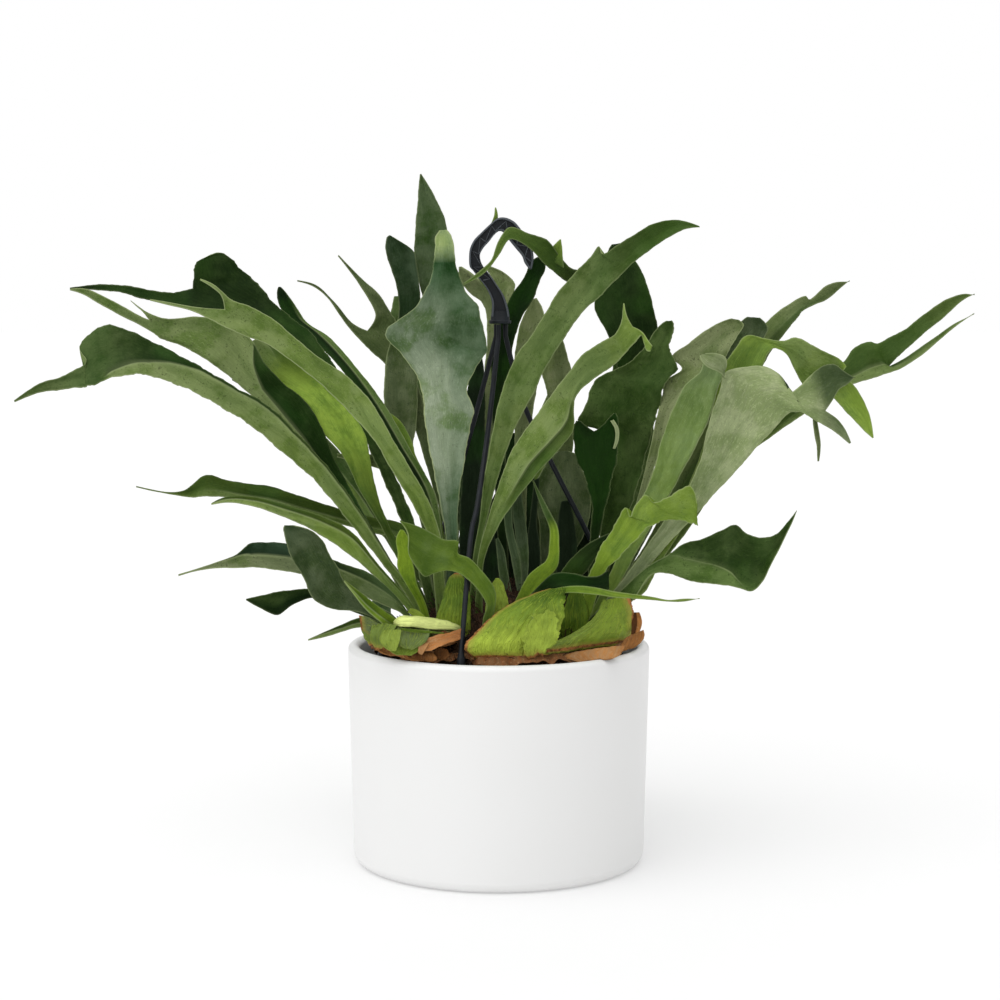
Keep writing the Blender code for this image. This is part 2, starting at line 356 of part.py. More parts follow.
# Shield fronds: the broad plates that wrap the mound.
SHIELDS = {
    "shield_upright": ("shield", Strip([
        (-37, 150, -21, 150, -54), (-43.7, 168, -19.5, 168, -58), (-40, 180, -19.5, 180, -58),
        (-37, 192, -22, 192, -56), (-34, 198.5, -25, 198.5, -54), (-30.5, 201, -28.5, 201, -53)])),
    "shield_rolled": ("shield", Strip([
        (-34, 152, -26, 152, -57), (-33, 159, -27, 159.5, -64), (-38, 160, -33, 165, -71),
        (-47, 160.5, -45, 168, -73), (-57, 161.5, -55, 170, -74), (-66, 162.5, -65, 170.3, -75),
        (-72.5, 164, -71.5, 168.5, -75)])),
    "shield_left": ("shield", Strip([
        (-38, 148, -36, 157, -57, 0), (-50, 146.5, -53, 159, -80, 2), (-63, 145, -67, 161, -82, 2),
        (-78, 147, -80, 164, -79, 2), (-90, 153, -91, 170, -78, 3), (-95.5, 160, -97, 171, -76, 3)])),
    "shield_front": ("shield", Strip([
        (-8, 147, 28, 147, -50, 0), (-19, 145.5, 32, 145.5, -79, 6), (-23, 153, 41, 157, -82, 8),
        (-14, 161.5, 45, 170, -79, 8), (1, 175, 46, 181, -73, 6), (18, 184, 46.5, 187.5, -68, 2),
        (33, 189.5, 45, 191, -66, 0)])),
    "shield_right": ("shield", Strip([
        (56, 150, 70, 152, -38, 8), (31, 145.5, 88, 153.5, -59, 44), (33, 149.5, 93.5, 158, -59, 44),
        (50, 158, 94, 170, -56, 28), (66, 170, 93, 179, -53, 14), (73, 182.5, 91, 184, -49, 8)])),
    "shield_brown_fold": ("brown", Strip([
        (-36, 150, -29, 152, -54, 0), (-37, 150, -30, 153, -71, 0), (-43, 150.5, -37, 160.5, -77, 0),
        (-48, 150.5, -45, 156, -83, 0), (-51.5, 149.5, -50.5, 151, -85, 0)])),
}

# Fronds on the far side grow in two tufts, each from its own growing tip of the rhizome.
TUFTS = {
    "tuft_back_left": ((-36, 44, 176), (
        Strip([(-38, 176, -30, 176, 44), (-40, 215, -28, 215, 60), (-50, 262, -27, 262, 90),
               (-61, 300, -24, 300, 115), (-69, 330, -22, 330, 135), (-72, 352, -20, 352, 150)],
              sinus=(-46, 345), lobes=(
                  Strip([(-75, 374, -54, 373, 160), (-72, 393, -66, 393, 168)]),
                  Strip([(-40, 371, -19, 370, 162), (-33, 393, -27, 392, 172)]))),
        Strip([(-36, 178, -33, 184, 43), (-66, 206, -61, 211, 46), (-96, 254, -89, 258, 62),
               (-127, 290, -121, 297, 86), (-160, 320, -157, 326, 112), (-184, 335, -184, 336, 132)]),
        Strip([(-38, 176, -31, 178, 46), (-46, 184, -36, 187, 85), (-54, 178, -38, 183, 135),
               (-60, 160, -44, 168, 175), (-64, 140, -54, 146, 200), (-63, 124, -61, 124, 210)]),
        Strip([(-37, 178, -32, 178, 41), (-41, 215, -36, 216, 31), (-48, 248, -43, 250, 27),
               (-57, 268, -50, 268, 30), (-67, 284, -57, 282, 34), (-75, 299, -61, 295, 38),
               (-80, 309, -68, 307, 39), (-81.5, 313.5, -76, 313, 39)]),
        Strip([(-39, 178, -32, 180, 48), (-44, 188, -35, 190, 74), (-66, 192, -56, 195, 96),
               (-86, 184, -72, 188, 124), (-92, 168, -75, 171, 156)],
              sinus=(-84, 161), lobes=(
                  Strip([(-95, 152, -87, 153, 178), (-94, 138, -91, 139, 192)]),
                  Strip([(-82, 150, -73, 153, 177), (-77, 137, -74, 137, 190)]))),
        Strip([(-37, 178, -33, 182, 49), (-58, 205, -53, 210, 72), (-90, 236, -84, 242, 104),
               (-117, 266, -107, 274, 132), (-139, 292, -127, 303, 158), (-157, 311, -146, 321, 176),
               (-168, 322, -165, 326, 186)]),
        Strip([(-35, 178, -29, 178, 50), (-24, 200, -14, 200, 88), (-19, 222, -5, 222, 126),
               (-19, 242, -4, 241, 156), (-18, 254, -7, 252, 180), (-14, 258, -12, 258, 194)]))),
    "tuft_back_right": ((40, 44, 176), (
        Strip([(35, 176, 43, 176, 44), (26, 215, 35, 215, 72), (22, 265, 34, 263, 108),
               (26, 305, 38, 302, 140), (36, 330, 42, 328, 160), (42, 341, 43, 340.6, 170)]),
        Strip([(36, 178, 42, 176, 44), (72, 215, 79, 212, 58), (82, 262, 103, 259, 84),
               (82, 300, 107, 298, 104), (83, 326, 107, 324, 118), (82, 345, 109, 345, 128)],
              sinus=(96, 341), lobes=(
                  Strip([(79, 366, 92, 364, 136), (80, 381, 84, 381, 142)]),
                  Strip([(99, 360, 112, 360, 135), (105, 374, 109, 374, 140)]))),
        Strip([(37, 178, 42, 174, 46), (92, 205, 96, 198, 66), (128, 246, 134, 239, 92),
               (156, 282, 164, 275, 116), (180, 309, 184, 303, 134), (194, 318, 194, 317, 142)]),
        Strip([(35, 177, 43, 177, 48), (41, 184, 54, 182, 92), (46, 178, 64, 174, 140),
               (56, 160, 70, 154, 180), (66, 138, 72, 136, 202), (71, 122, 73, 122, 212)]),
        Strip([(39, 178, 46, 178, 46), (64, 188, 73, 187, 80), (76, 184, 90, 182, 120),
               (76, 169, 92, 167, 156)],
              sinus=(84, 160), lobes=(
                  Strip([(74, 152, 82, 150, 178), (75, 138, 78, 137, 192)]),
                  Strip([(86, 151, 94, 150, 177), (91, 138, 94, 138, 190)]))),
        Strip([(38, 178, 45, 177, 50), (72, 205, 80, 201, 84), (96, 238, 105, 234, 118),
               (108, 268, 124, 266, 146), (116, 298, 138, 296, 168)],
              sinus=(129, 306), lobes=(
                  Strip([(117, 320, 127, 319, 178), (121, 336, 124, 336, 184)]),
                  Strip([(132, 318, 142, 314, 178), (140, 334, 143, 333, 186)]))),
        Strip([(38, 180, 45, 178, 48), (68, 184, 78, 176, 58), (88, 199, 102, 188, 60),
               (98, 213, 111.5, 206, 58), (107, 222, 119, 216, 56), (114, 226.5, 119.5, 225, 55)]),
        Strip([(34, 178, 40, 178, 50), (22, 205, 32, 205, 88), (14, 235, 30, 234, 124),
               (11, 262, 30, 260, 152), (15, 284, 28, 282, 172), (20, 297, 23, 296, 184)]))),
}


def seen(u, v, depth):
    """The point at a depth (mm) that the eye sees at (u, v) mm on the plane y = 0."""
    y = depth * MM
    stretch = (y - EYE.y) / -EYE.y
    return Vector((EYE.x + (u * MM - EYE.x) * stretch, y, EYE.z + (v * MM - EYE.z) * stretch))


def row_points(row, columns, lean, channel, sinus=None):
    """The points of a cross row, from its left to its right edge, hollowed along the middle."""
    left_u, left_v, right_u, right_v, depth = row[:5]
    width = math.hypot(right_u - left_u, right_v - left_v)
    tilt = row[5] if len(row) > 5 else lean * width
    points = []
    for column in range(columns + 1):
        part = column / columns
        u = left_u + (right_u - left_u) * part
        v = left_v + (right_v - left_v) * part
        if sinus:
            half = 1 - abs(2 * part - 1)
            u += (sinus[0] - (left_u + right_u) / 2) * half
            v += (sinus[1] - (left_v + right_v) / 2) * half
        hollow = channel * min(width, 30) * (4 * part * (1 - part) - 0.5)
        points.append(seen(u, v, depth + tilt * (part - 0.5) + hollow))
    return points


def add_strip(bm, strip, columns, lean, channel, start=None):
    """Loft a strip's rows into the bmesh, then its lobes, each from half of the last row."""
    last = start
    for index, row in enumerate(strip.rows):
        at_fork = strip.sinus if index == len(strip.rows) - 1 else None
        line = [bm.verts.new(point) for point in row_points(row, columns, lean, channel, at_fork)]
        if last:
            for i in range(columns):
                bm.faces.new((last[i], last[i + 1], line[i + 1], line[i]))
        last = line
    if strip.lobes:
        half = columns // 2
        add_strip(bm, strip.lobes[0], half, lean, channel, last[:half + 1])
        add_strip(bm, strip.lobes[1], half, lean, channel, last[half:])


def new_object(name, mesh, collection, shade=None, rough=0.5):
    """An object in a collection, with its own Principled material when it has a shade."""
    item = bpy.data.objects.new(name, mesh)
    collection.objects.link(item)
    if shade:
        finish = bpy.data.materials.new(name)
        finish.use_nodes = True
        shader = finish.node_tree.nodes["Principled BSDF"]
        shader.inputs["Base Color"].default_value = (*shade, 1)
        shader.inputs["Roughness"].default_value = rough
        mesh.materials.append(finish)
    return item


def mesh_from(bm, name):
    """Close a bmesh into a mesh with its faces turned outward."""
    bmesh.ops.recalc_face_normals(bm, faces=bm.faces)
    mesh = bpy.data.meshes.new(name)
    bm.to_mesh(mesh)
    bm.free()
    return mesh


def blade_mesh(name, strip, columns, lean, channel):
    """The open, triangulated surface of one blade."""
    bm = bmesh.new()
    add_strip(bm, strip, columns, lean, channel)
    bmesh.ops.triangulate(bm, faces=bm.faces)
    return mesh_from(bm, name)


def thicken(item, thickness):
    """Give an open blade its thickness, alike on both faces."""
    wall = item.modifiers.new("thickness", 'SOLIDIFY')
    wall.thickness = thickness
    wall.offset = 0


def seat(item, cutter):
    """Cut a blade's foot where it meets the mound."""
    cut = item.modifiers.new("seat", 'BOOLEAN')
    cut.operation = 'DIFFERENCE'
    cut.object = cutter


def smooth(item, degrees=35):
    """Shade a round piece smooth, with its sharp edges kept."""
    item.data.shade_smooth()
    item.data.set_sharp_from_angle(angle=math.radians(degrees))


def turned(name, profile, sides, collection, shade, rough=0.5):
    """A turned piece: a closed profile of (radius, height) run down its outer side."""
    mesh = bpy.data.meshes.new(name)
    verts = [(radius, 0, height) for radius, height in profile]
    mesh.from_pydata(verts, [(i, i + 1) for i in range(len(verts) - 1)], [])
    item = new_object(name, mesh, collection, shade, rough)
    spin = item.modifiers.new("turn", 'SCREW')
    spin.steps = sides
    spin.render_steps = sides
    spin.use_merge_vertices = True
    spin.merge_threshold = 0.00001
    smooth(item)
    return item


def arc(centre_r, centre_z, radius, start, end, steps):
    """Profile points on an arc, its angles in degrees from +r towards +z."""
    points = []
    for step in range(steps + 1):
        angle = math.radians(start + (end - start) * step / steps)
        points.append((centre_r + radius * math.cos(angle), centre_z + radius * math.sin(angle)))
    return points


def make_pot(collection):
    """The ceramic cylinder: one thick wall and floor, open at the top."""
    lip = POT_WALL / 2
    lip_r = POT_RIM_RADIUS - lip
    foot_r = POT_FOOT_RADIUS - POT_FOOT_FILLET
    inner_foot = POT_FOOT_RADIUS - POT_WALL
    profile = [(0, POT_FLOOR)]
    profile += arc(inner_foot - INNER_FILLET, POT_FLOOR + INNER_FILLET, INNER_FILLET, -90, 0, 3)
    profile += arc(lip_r, POT_HEIGHT - lip, lip, 180, 0, 6)
    profile += arc(foot_r, POT_FOOT_FILLET, POT_FOOT_FILLET, 0, -90, 4)
    profile += [(0, 0)]
    return turned("pot", profile, POT_SIDES, collection, (0.86, 0.86, 0.85), 0.35)


def make_basket(collection):
    """The thin moulded basket with its turned-out rim, standing on the pot's floor."""
    foot = POT_FLOOR + SEAT_GAP
    rim = foot + BASKET_HEIGHT
    inner_rim = BASKET_RIM_RADIUS - BASKET_FLANGE - BASKET_WALL
    profile = [
        (0, foot + BASKET_WALL), (BASKET_FOOT_RADIUS - BASKET_WALL, foot + BASKET_WALL), (inner_rim, rim),
        (BASKET_RIM_RADIUS, rim), (BASKET_RIM_RADIUS, rim - BASKET_WALL),
        (inner_rim + BASKET_WALL, rim - BASKET_WALL), (BASKET_FOOT_RADIUS, foot), (0, foot),
    ]
    return turned("basket", profile, BASKET_SIDES, collection, (0.02, 0.02, 0.02), 0.5)


def make_root_ball(collection):
    """The bark and root mix that fills the basket up to the mound."""
    foot = POT_FLOOR + 2 * SEAT_GAP + BASKET_WALL
    clear = 0.0006
    inner_rim = BASKET_RIM_RADIUS - BASKET_FLANGE - BASKET_WALL
    top = MOUND_BOTTOM - SEAT_GAP
    slope = (inner_rim - BASKET_FOOT_RADIUS + BASKET_WALL) / BASKET_HEIGHT
    top_r = BASKET_FOOT_RADIUS - BASKET_WALL - clear + slope * (BASKET_HEIGHT - BASKET_WALL)
    profile = [(0, top), (top_r - 0.003, top), (top_r, top - 0.003),
               (BASKET_FOOT_RADIUS - BASKET_WALL - clear, foot), (0, foot)]
    return turned("root_ball", profile, BASKET_SIDES, collection, (0.10, 0.06, 0.035), 0.9)


def mound_height(radius, angle):
    """The mound's surface: a low dome with old frond stubs as soft bumps."""
    share = radius / MOUND_RADIUS
    dome = MOUND_TOP - (MOUND_TOP - MOUND_EDGE) * share * share
    bumps = 0.0022 * math.sin(5 * angle + 1.1) * math.sin(7 * share * math.pi / 2)
    return dome + bumps * (1 - share * share)


def make_mound(name, collection, grow, bottom, shade=None):
    """The rhizome mound, or its slightly grown copy that cuts the blades' feet."""
    bm = bmesh.new()
    top = bm.verts.new((0, 0, MOUND_TOP + grow))
    floor = bm.verts.new((0, 0, bottom))
    rings = []
    for ring in range(1, MOUND_RINGS + 1):
        radius = MOUND_RADIUS * ring / MOUND_RINGS
        line = []
        for sector in range(MOUND_SECTORS):
            angle = math.tau * sector / MOUND_SECTORS
            out = radius + (grow if ring == MOUND_RINGS else 0)
            height = mound_height(radius, angle) + grow
            line.append(bm.verts.new((out * math.cos(angle), out * math.sin(angle), height)))
        rings.append(line)
    foot_r = MOUND_RADIUS - 0.004 + grow
    foot = []
    for sector in range(MOUND_SECTORS):
        angle = math.tau * sector / MOUND_SECTORS
        foot.append(bm.verts.new((foot_r * math.cos(angle), foot_r * math.sin(angle), bottom)))
    rings.append(foot)
    for i in range(MOUND_SECTORS):
        j = (i + 1) % MOUND_SECTORS
        bm.faces.new((top, rings[0][i], rings[0][j]))
        for inner, outer in zip(rings, rings[1:]):
            bm.faces.new((inner[i], outer[i], outer[j], inner[j]))
        bm.faces.new((floor, foot[j], foot[i]))
    bmesh.ops.triangulate(bm, faces=bm.faces)
    item = new_object(name, mesh_from(bm, name), collection, shade, 0.9)
    return item


def make_frond(name, shade, lean, strip, collection, cutter):
    """One antler frond, its foot seated on the mound."""
    columns = 4 if strip.lobes else 2
    item = new_object(name, blade_mesh(name, strip, columns, lean, 0.12), collection, SHADES[shade], 0.45)
    thicken(item, BLADE)
    seat(item, cutter)
    return item


def make_shield(name, shade, strip, collection, cutter):
    """One broad shield frond that leans on the mound."""
    item = new_object(name, blade_mesh(name, strip, 4, 0, -0.10), collection, SHADES[shade], 0.5)
    thicken(item, SHIELD)
    seat(item, cutter)
    return item


def clip_notch(angle):
    """How far the skirt draws in, from 0 to 1, where a hanger clip stands on the basket's rim."""
    nearest = min(abs(math.remainder(angle - math.atan2(y, x), math.tau)) for x, y in STRAND_FEET)
    return max(0.0, 1 - max(0.0, nearest - CLIP_SWEEP) / CLIP_SWEEP)


def make_skirt(collection, cutter):
    """The dry old shields round the mound's edge: one wavy ring that lies over the basket's rim."""
    bm = bmesh.new()
    rings = []
    for step in range(SKIRT_STEPS):
        angle = math.tau * step / SKIRT_STEPS
        notch = clip_notch(angle)
        wave = math.sin(9 * angle) * 0.6 + math.sin(23 * angle + 1) * 0.4
        line = []
        for (radius, height), drawn_in in zip(SKIRT_PROFILE, SKIRT_NOTCHED):
            lift = (radius - SKIRT_PROFILE[0][0]) / 0.0185 * wave * (1 - notch)
            out = radius + (drawn_in - radius) * notch + 0.0009 * lift
            line.append(bm.verts.new((out * math.cos(angle), out * math.sin(angle), height + 0.0022 * lift)))
        rings.append(line)
    for previous, line in zip(rings, rings[1:] + rings[:1]):
        for i in range(len(SKIRT_PROFILE) - 1):
            bm.faces.new((previous[i], line[i], line[i + 1], previous[i + 1]))
    bmesh.ops.triangulate(bm, faces=bm.faces)
    item = new_object("skirt", mesh_from(bm, "skirt"), collection, SHADES["brown"], 0.8)
    thicken(item, SHIELD)
    seat(item, cutter)
    return item


def make_tuft(name, centre, strips, collection, blades, cutter):
    """Fronds fused to their growing tip, a small knob that stands on the mound."""
    bm = bmesh.new()
    place = Matrix.Translation(Vector(centre) * MM) @ Matrix.Diagonal((*TUFT_KNOB, 1))
    bmesh.ops.create_uvsphere(bm, u_segments=12, v_segments=7, radius=1, matrix=place)
    item = new_object(name, mesh_from(bm, name), collection, SHADES["dark"], 0.45)
    for index, strip in enumerate(strips):
        blade_name = f"{name}_blade_{index + 1}"
        columns = 4 if strip.lobes else 2
        blade = new_object(blade_name, blade_mesh(blade_name, strip, columns, 0.15, 0.12), blades)
        thicken(blade, BLADE)
    join = item.modifiers.new("join", 'BOOLEAN')
    join.operation = 'UNION'
    join.operand_type = 'COLLECTION'
    join.collection = blades
    seat(item, cutter)
    bpy.context.view_layer.update()
    joined = bpy.data.meshes.new_from_object(item.evaluated_get(bpy.context.evaluated_depsgraph_get()))
    item.modifiers.clear()
    item.data = joined
    for blade in list(blades.objects):
        bpy.data.objects.remove(blade)
    return item


def curve_tube(name, points, radius, collection, shade, radii=None):
    """A round tube along points, as a welded mesh."""
    curve = bpy.data.curves.new(name, 'CURVE')
    curve.dimensions = '3D'
    curve.bevel_depth = radius
    curve.bevel_resolution = 2
    curve.use_fill_caps = True
    spline = curve.splines.new('POLY')
    spline.points.add(len(points) - 1)
    for index, point in enumerate(points):
        spline.points[index].co = (*point, 1)
        spline.points[index].radius = radii[index] if radii else 1
    guide = bpy.data.objects.new(name + "_guide", curve)
    collection.objects.link(guide)
    bpy.context.view_layer.update()
    mesh = bpy.data.meshes.new_from_object(guide.evaluated_get(bpy.context.evaluated_depsgraph_get()))
    bpy.data.objects.remove(guide)
    bm = bmesh.new()
    bm.from_mesh(mesh)
    bmesh.ops.remove_doubles(bm, verts=bm.verts, dist=0.00001)
    item = new_object(name, mesh_from(bm, name), collection, shade, 0.4)
    smooth(item)
    return item


def through(points, steps):
    """A smooth curve through points: each span cut into steps, with its tangents from its neighbours."""
    line = [points[0]]
    for i in range(len(points) - 1):
        before = points[max(i - 1, 0)]
        start, end = points[i], points[i + 1]
        after = points[min(i + 2, len(points) - 1)]
        for step in range(1, steps + 1):
            t = step / steps
            pull = (end - before) * (t - 2 * t * t + t ** 3) + (after - start) * (t ** 3 - t * t)
            line.append(start.lerp(end, 3 * t * t - 2 * t ** 3) + pull / 2)
    return line


def make_strand(name, foot_xy, route, collection):
    """One hanger strand, from under the socket to a clip that stands on the basket's rim."""
    foot = Vector((*foot_xy, POT_FLOOR + 2 * SEAT_GAP + BASKET_HEIGHT))
    bearing = math.atan2(foot.y, foot.x)
    head = Vector((SOCKET_X + STRAND_SPREAD * math.cos(bearing), STRAND_SPREAD * math.sin(bearing),
                   SOCKET_Z - SEAT_GAP))
    clip_top = foot + Vector((0, 0, CLIP_LENGTH))
    neck = head - Vector((0, 0, 0.008))
    points = [head] + through([neck] + [seen(*place) for place in route] + [clip_top + CLIP_LEAD], 3)
    radii = [1] * len(points) + [CLIP_RADIUS / STRAND_RADIUS] * 2
    return curve_tube(name, points + [clip_top, foot], STRAND_RADIUS, collection, HANGER_BLACK, radii)


def make_hook(collection):
    """The moulded hook: a flat crook of constant depth on a flared socket."""
    outline = [
        (7.5, 379), (6.3, 385.5), (3.5, 393.5), (-1, 400.5), (-5.5, 407), (-10, 412.5), (-12.3, 417),
        (-12.8, 421.5), (-10.5, 426), (-6.5, 430.5), (-3, 435), (0.5, 437.5), (4, 436), (7, 431.5),
        (11.5, 426), (16, 420.5), (17.7, 416), (20.5, 412), (22.8, 412), (24, 418), (23.3, 424),
        (20.5, 430.5), (17, 436), (13.7, 440.5), (10.3, 444), (4.7, 446.5), (-1, 446), (-6.5, 441.5),
        (-12.3, 436), (-16.7, 431.5), (-19.5, 426), (-20.3, 420.5), (-20, 413.5), (-17.7, 410.5),
        (-14.3, 406), (-10, 400.5), (-6.5, 394.5), (-4.7, 388), (-5.2, 379),
    ]
    bm = bmesh.new()
    fronts = [bm.verts.new((u * MM, -HOOK_HALF_DEPTH, v * MM)) for u, v in outline]
    backs = [bm.verts.new((u * MM, HOOK_HALF_DEPTH, v * MM)) for u, v in outline]
    bm.faces.new(fronts)
    bm.faces.new(list(reversed(backs)))
    for i in range(len(outline)):
        j = (i + 1) % len(outline)
        bm.faces.new((fronts[j], fronts[i], backs[i], backs[j]))
    bmesh.ops.triangulate(bm, faces=bm.faces)
    item = new_object("hanger_hook", mesh_from(bm, "hanger_hook"), collection, HANGER_BLACK, 0.4)
    bm = bmesh.new()
    height = 0.008
    place = Matrix.Translation((SOCKET_X, 0, SOCKET_Z + height / 2))
    bmesh.ops.create_cone(bm, cap_ends=True, segments=20, radius1=0.0078, radius2=0.0062, depth=height,
                          matrix=place)
    socket = new_object("hanger_socket", mesh_from(bm, "hanger_socket"), collection)
    join = item.modifiers.new("socket", 'BOOLEAN')
    join.operation = 'UNION'
    join.object = socket
    bpy.context.view_layer.update()
    joined = bpy.data.meshes.new_from_object(item.evaluated_get(bpy.context.evaluated_depsgraph_get()))
    item.modifiers.clear()
    item.data = joined
    bpy.data.objects.remove(socket)
    smooth(item)
    return item


def main():
    """Build the fern, its basket, its hanger and its pot."""
    for item in list(bpy.data.objects):
        bpy.data.objects.remove(item)
    parts = bpy.data.collections.new("staghorn_fern")
    cutters = bpy.data.collections.new("cutters")
    blades = bpy.data.collections.new("tuft_blades")
    for collection in (parts, cutters, blades):
        bpy.context.scene.collection.children.link(collection)

    make_pot(parts)
    make_basket(parts)
    make_root_ball(parts)
    make_mound("mound", parts, 0, MOUND_BOTTOM, (0.12, 0.07, 0.04))
    cutter = make_mound("mound_cutter", cutters, SEAT_GAP, MOUND_BOTTOM - 0.05)
    cutter.hide_render = True
    cutter.display_type = 'WIRE'

    for name, (shade, lean, strip) in FRONDS.items():
        make_frond(name, shade, lean, strip, parts, cutter)
    for name, (shade, strip) in SHIELDS.items():
        make_shield(name, shade, strip, parts, cutter)
    for name, (centre, strips) in TUFTS.items():
        make_tuft(name, centre, strips, parts, blades, cutter)
    make_skirt(parts, cutter)

    make_hook(parts)
    for index, (foot, route) in enumerate(zip(STRAND_FEET, STRAND_ROUTES)):
        make_strand(f"hanger_strand_{index + 1}", foot, route, parts)
    bpy.data.collections.remove(blades)


main()
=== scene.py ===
"""Staghorn fern in its hanging basket, standing in a white ceramic pot: the finished looks.

Metres, +Z up, the pot's axis on Z and its bottom on z = 0.  The viewer stands on -Y.  A frond is a
strip of cross rows: the two edges of the blade as the viewer's eye sees them, in mm on the upright
plane through the pot's axis, and the depth of its middle.  The rows are those of the solids, a few
redrawn, drawn through here with smooth curves, hollowed, waved, thickened and dressed.
"""

import json
import logging
import math
from dataclasses import dataclass, field
from enum import Enum
from typing import Any, Callable, Sequence, Union

import bmesh
import bpy
import numpy as np
from mathutils import Matrix, Vector


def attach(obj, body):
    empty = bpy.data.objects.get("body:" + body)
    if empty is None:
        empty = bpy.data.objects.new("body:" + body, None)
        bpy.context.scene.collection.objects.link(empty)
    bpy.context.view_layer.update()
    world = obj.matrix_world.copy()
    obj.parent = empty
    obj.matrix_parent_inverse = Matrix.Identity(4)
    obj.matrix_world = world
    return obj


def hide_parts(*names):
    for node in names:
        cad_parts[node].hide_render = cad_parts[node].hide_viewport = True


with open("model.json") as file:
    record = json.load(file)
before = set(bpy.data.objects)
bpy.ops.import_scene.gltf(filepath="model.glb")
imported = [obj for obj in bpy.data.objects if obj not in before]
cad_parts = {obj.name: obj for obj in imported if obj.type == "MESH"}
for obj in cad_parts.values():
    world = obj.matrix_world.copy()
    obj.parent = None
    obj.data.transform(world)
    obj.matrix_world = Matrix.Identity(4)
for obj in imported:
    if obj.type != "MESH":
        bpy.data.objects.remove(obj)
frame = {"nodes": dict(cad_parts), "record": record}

LOG = logging.getLogger("staghorn_fern")
MM = 0.001
BODY = "root"
EYE = (0.0009, -1.5, 0.386)

Row = tuple[float, ...]
Colour = tuple[float, float, float]


class Side(Enum):
    """The margins of a blade."""

    LEFT = "left"
    RIGHT = "right"
    BASE = "base"
    TIP = "tip"


def rows_from(text: str) -> list[Row]:
    """Rows of numbers from text, spaces between the numbers and commas between the rows."""
    return [tuple(float(number) for number in row.split()) for row in text.split(",")]


@dataclass(frozen=True)
class Strip:
    """A run of blade rows, which may end in a fork of two lobes that meet at a sinus."""

    rows: list[Row]
    sinus: Row = ()
    lobes: tuple["Strip", ...] = ()


def strip_from(text: str) -> Strip:
    """Read a strip from text.

    Args:
        text: its rows, and for a fork the sinus and each lobe's rows, set apart by slashes.

    Returns:
        The strip.
    """
    stem, *fork = (rows_from(section) for section in text.split("/"))
    return Strip(stem, fork[0][0] if fork else (), tuple(Strip(lobe) for lobe in fork[1:]))


@dataclass(frozen=True)
class Look:
    """What one blade's dressing needs besides its rows.

    An entry of tones is a row's number and its near face's tone, 0 the dark upper face and 1 the pale lower
    one.  Where the tone changes across the blade it is the row, the split as a share of the width, the tone
    left of it and the tone right of it.  A last number is the fold: how far the margins lie behind the
    split, as a share of their distance from it.  An entry of young is a row and how bright and young the
    blade is there.  Its far face has the other tone of the near one, or the one tone given as back.  Wave is
    how much the margins wave.  Ragged is how far in mm they are torn and bitten.  Hems are the margins with
    a dry hem, that of the base lying at hem_row.  A rolled blade bends round through roll degrees, and turn
    is how far that bend is turned.
    """

    finish: str = "green"
    tones: str = "0 .1"
    young: str = "0 0"
    back: float | None = None
    wave: float = 1.0
    ragged: float = 0.3
    hem_row: float = 0.0
    roll: float = 0.0
    turn: float = 0.0
    hems: tuple[Side, ...] = ()

    def tone_rows(self) -> np.ndarray:
        """The tones as full rows of numbers: row, split, left, right, fold."""
        whole = [row if len(row) > 3 else (row[0], 0.5, row[1], row[1], *row[2:]) for row in rows_from(self.tones)]
        return np.array([(*row, 0.0)[:5] for row in whole])


@dataclass(frozen=True)
class Blade:
    """One blade: its look, its rows as text, and how far its right edge lies back, as a share of its width."""

    look: Look
    rows: str
    lean: float = 0.15


@dataclass(frozen=True)
class Tuft:
    """Fronds on the far side, which grow from a growing tip of the rhizome at a centre in mm."""

    centre: tuple[float, float, float]
    blades: tuple[Blade, ...]


@dataclass(frozen=True)
class Cluster:
    """Small growth that is one piece: its finish, the solid that it belongs to, and its blades."""

    finish: str
    node: str
    blades: tuple[Blade, ...]


STRAND_FEET = ((-0.0248, -0.0812), (0.0826, 0.0196), (-0.0580, 0.0622))
STRAND_ROUTES = (
    ((-7.4, 300, -25), (-14.6, 250, -47), (-18.4, 233, -54), (-20.6, 215, -61), (-22.6, 190, -71)),
    ((9.3, 346.5, 3), (17, 319, 6), (35, 281, 10), (62, 228, 15), (75, 198, 18)),
    ((-18, 304, 20), (-38, 234, 39), (-49, 190, 55)),
)

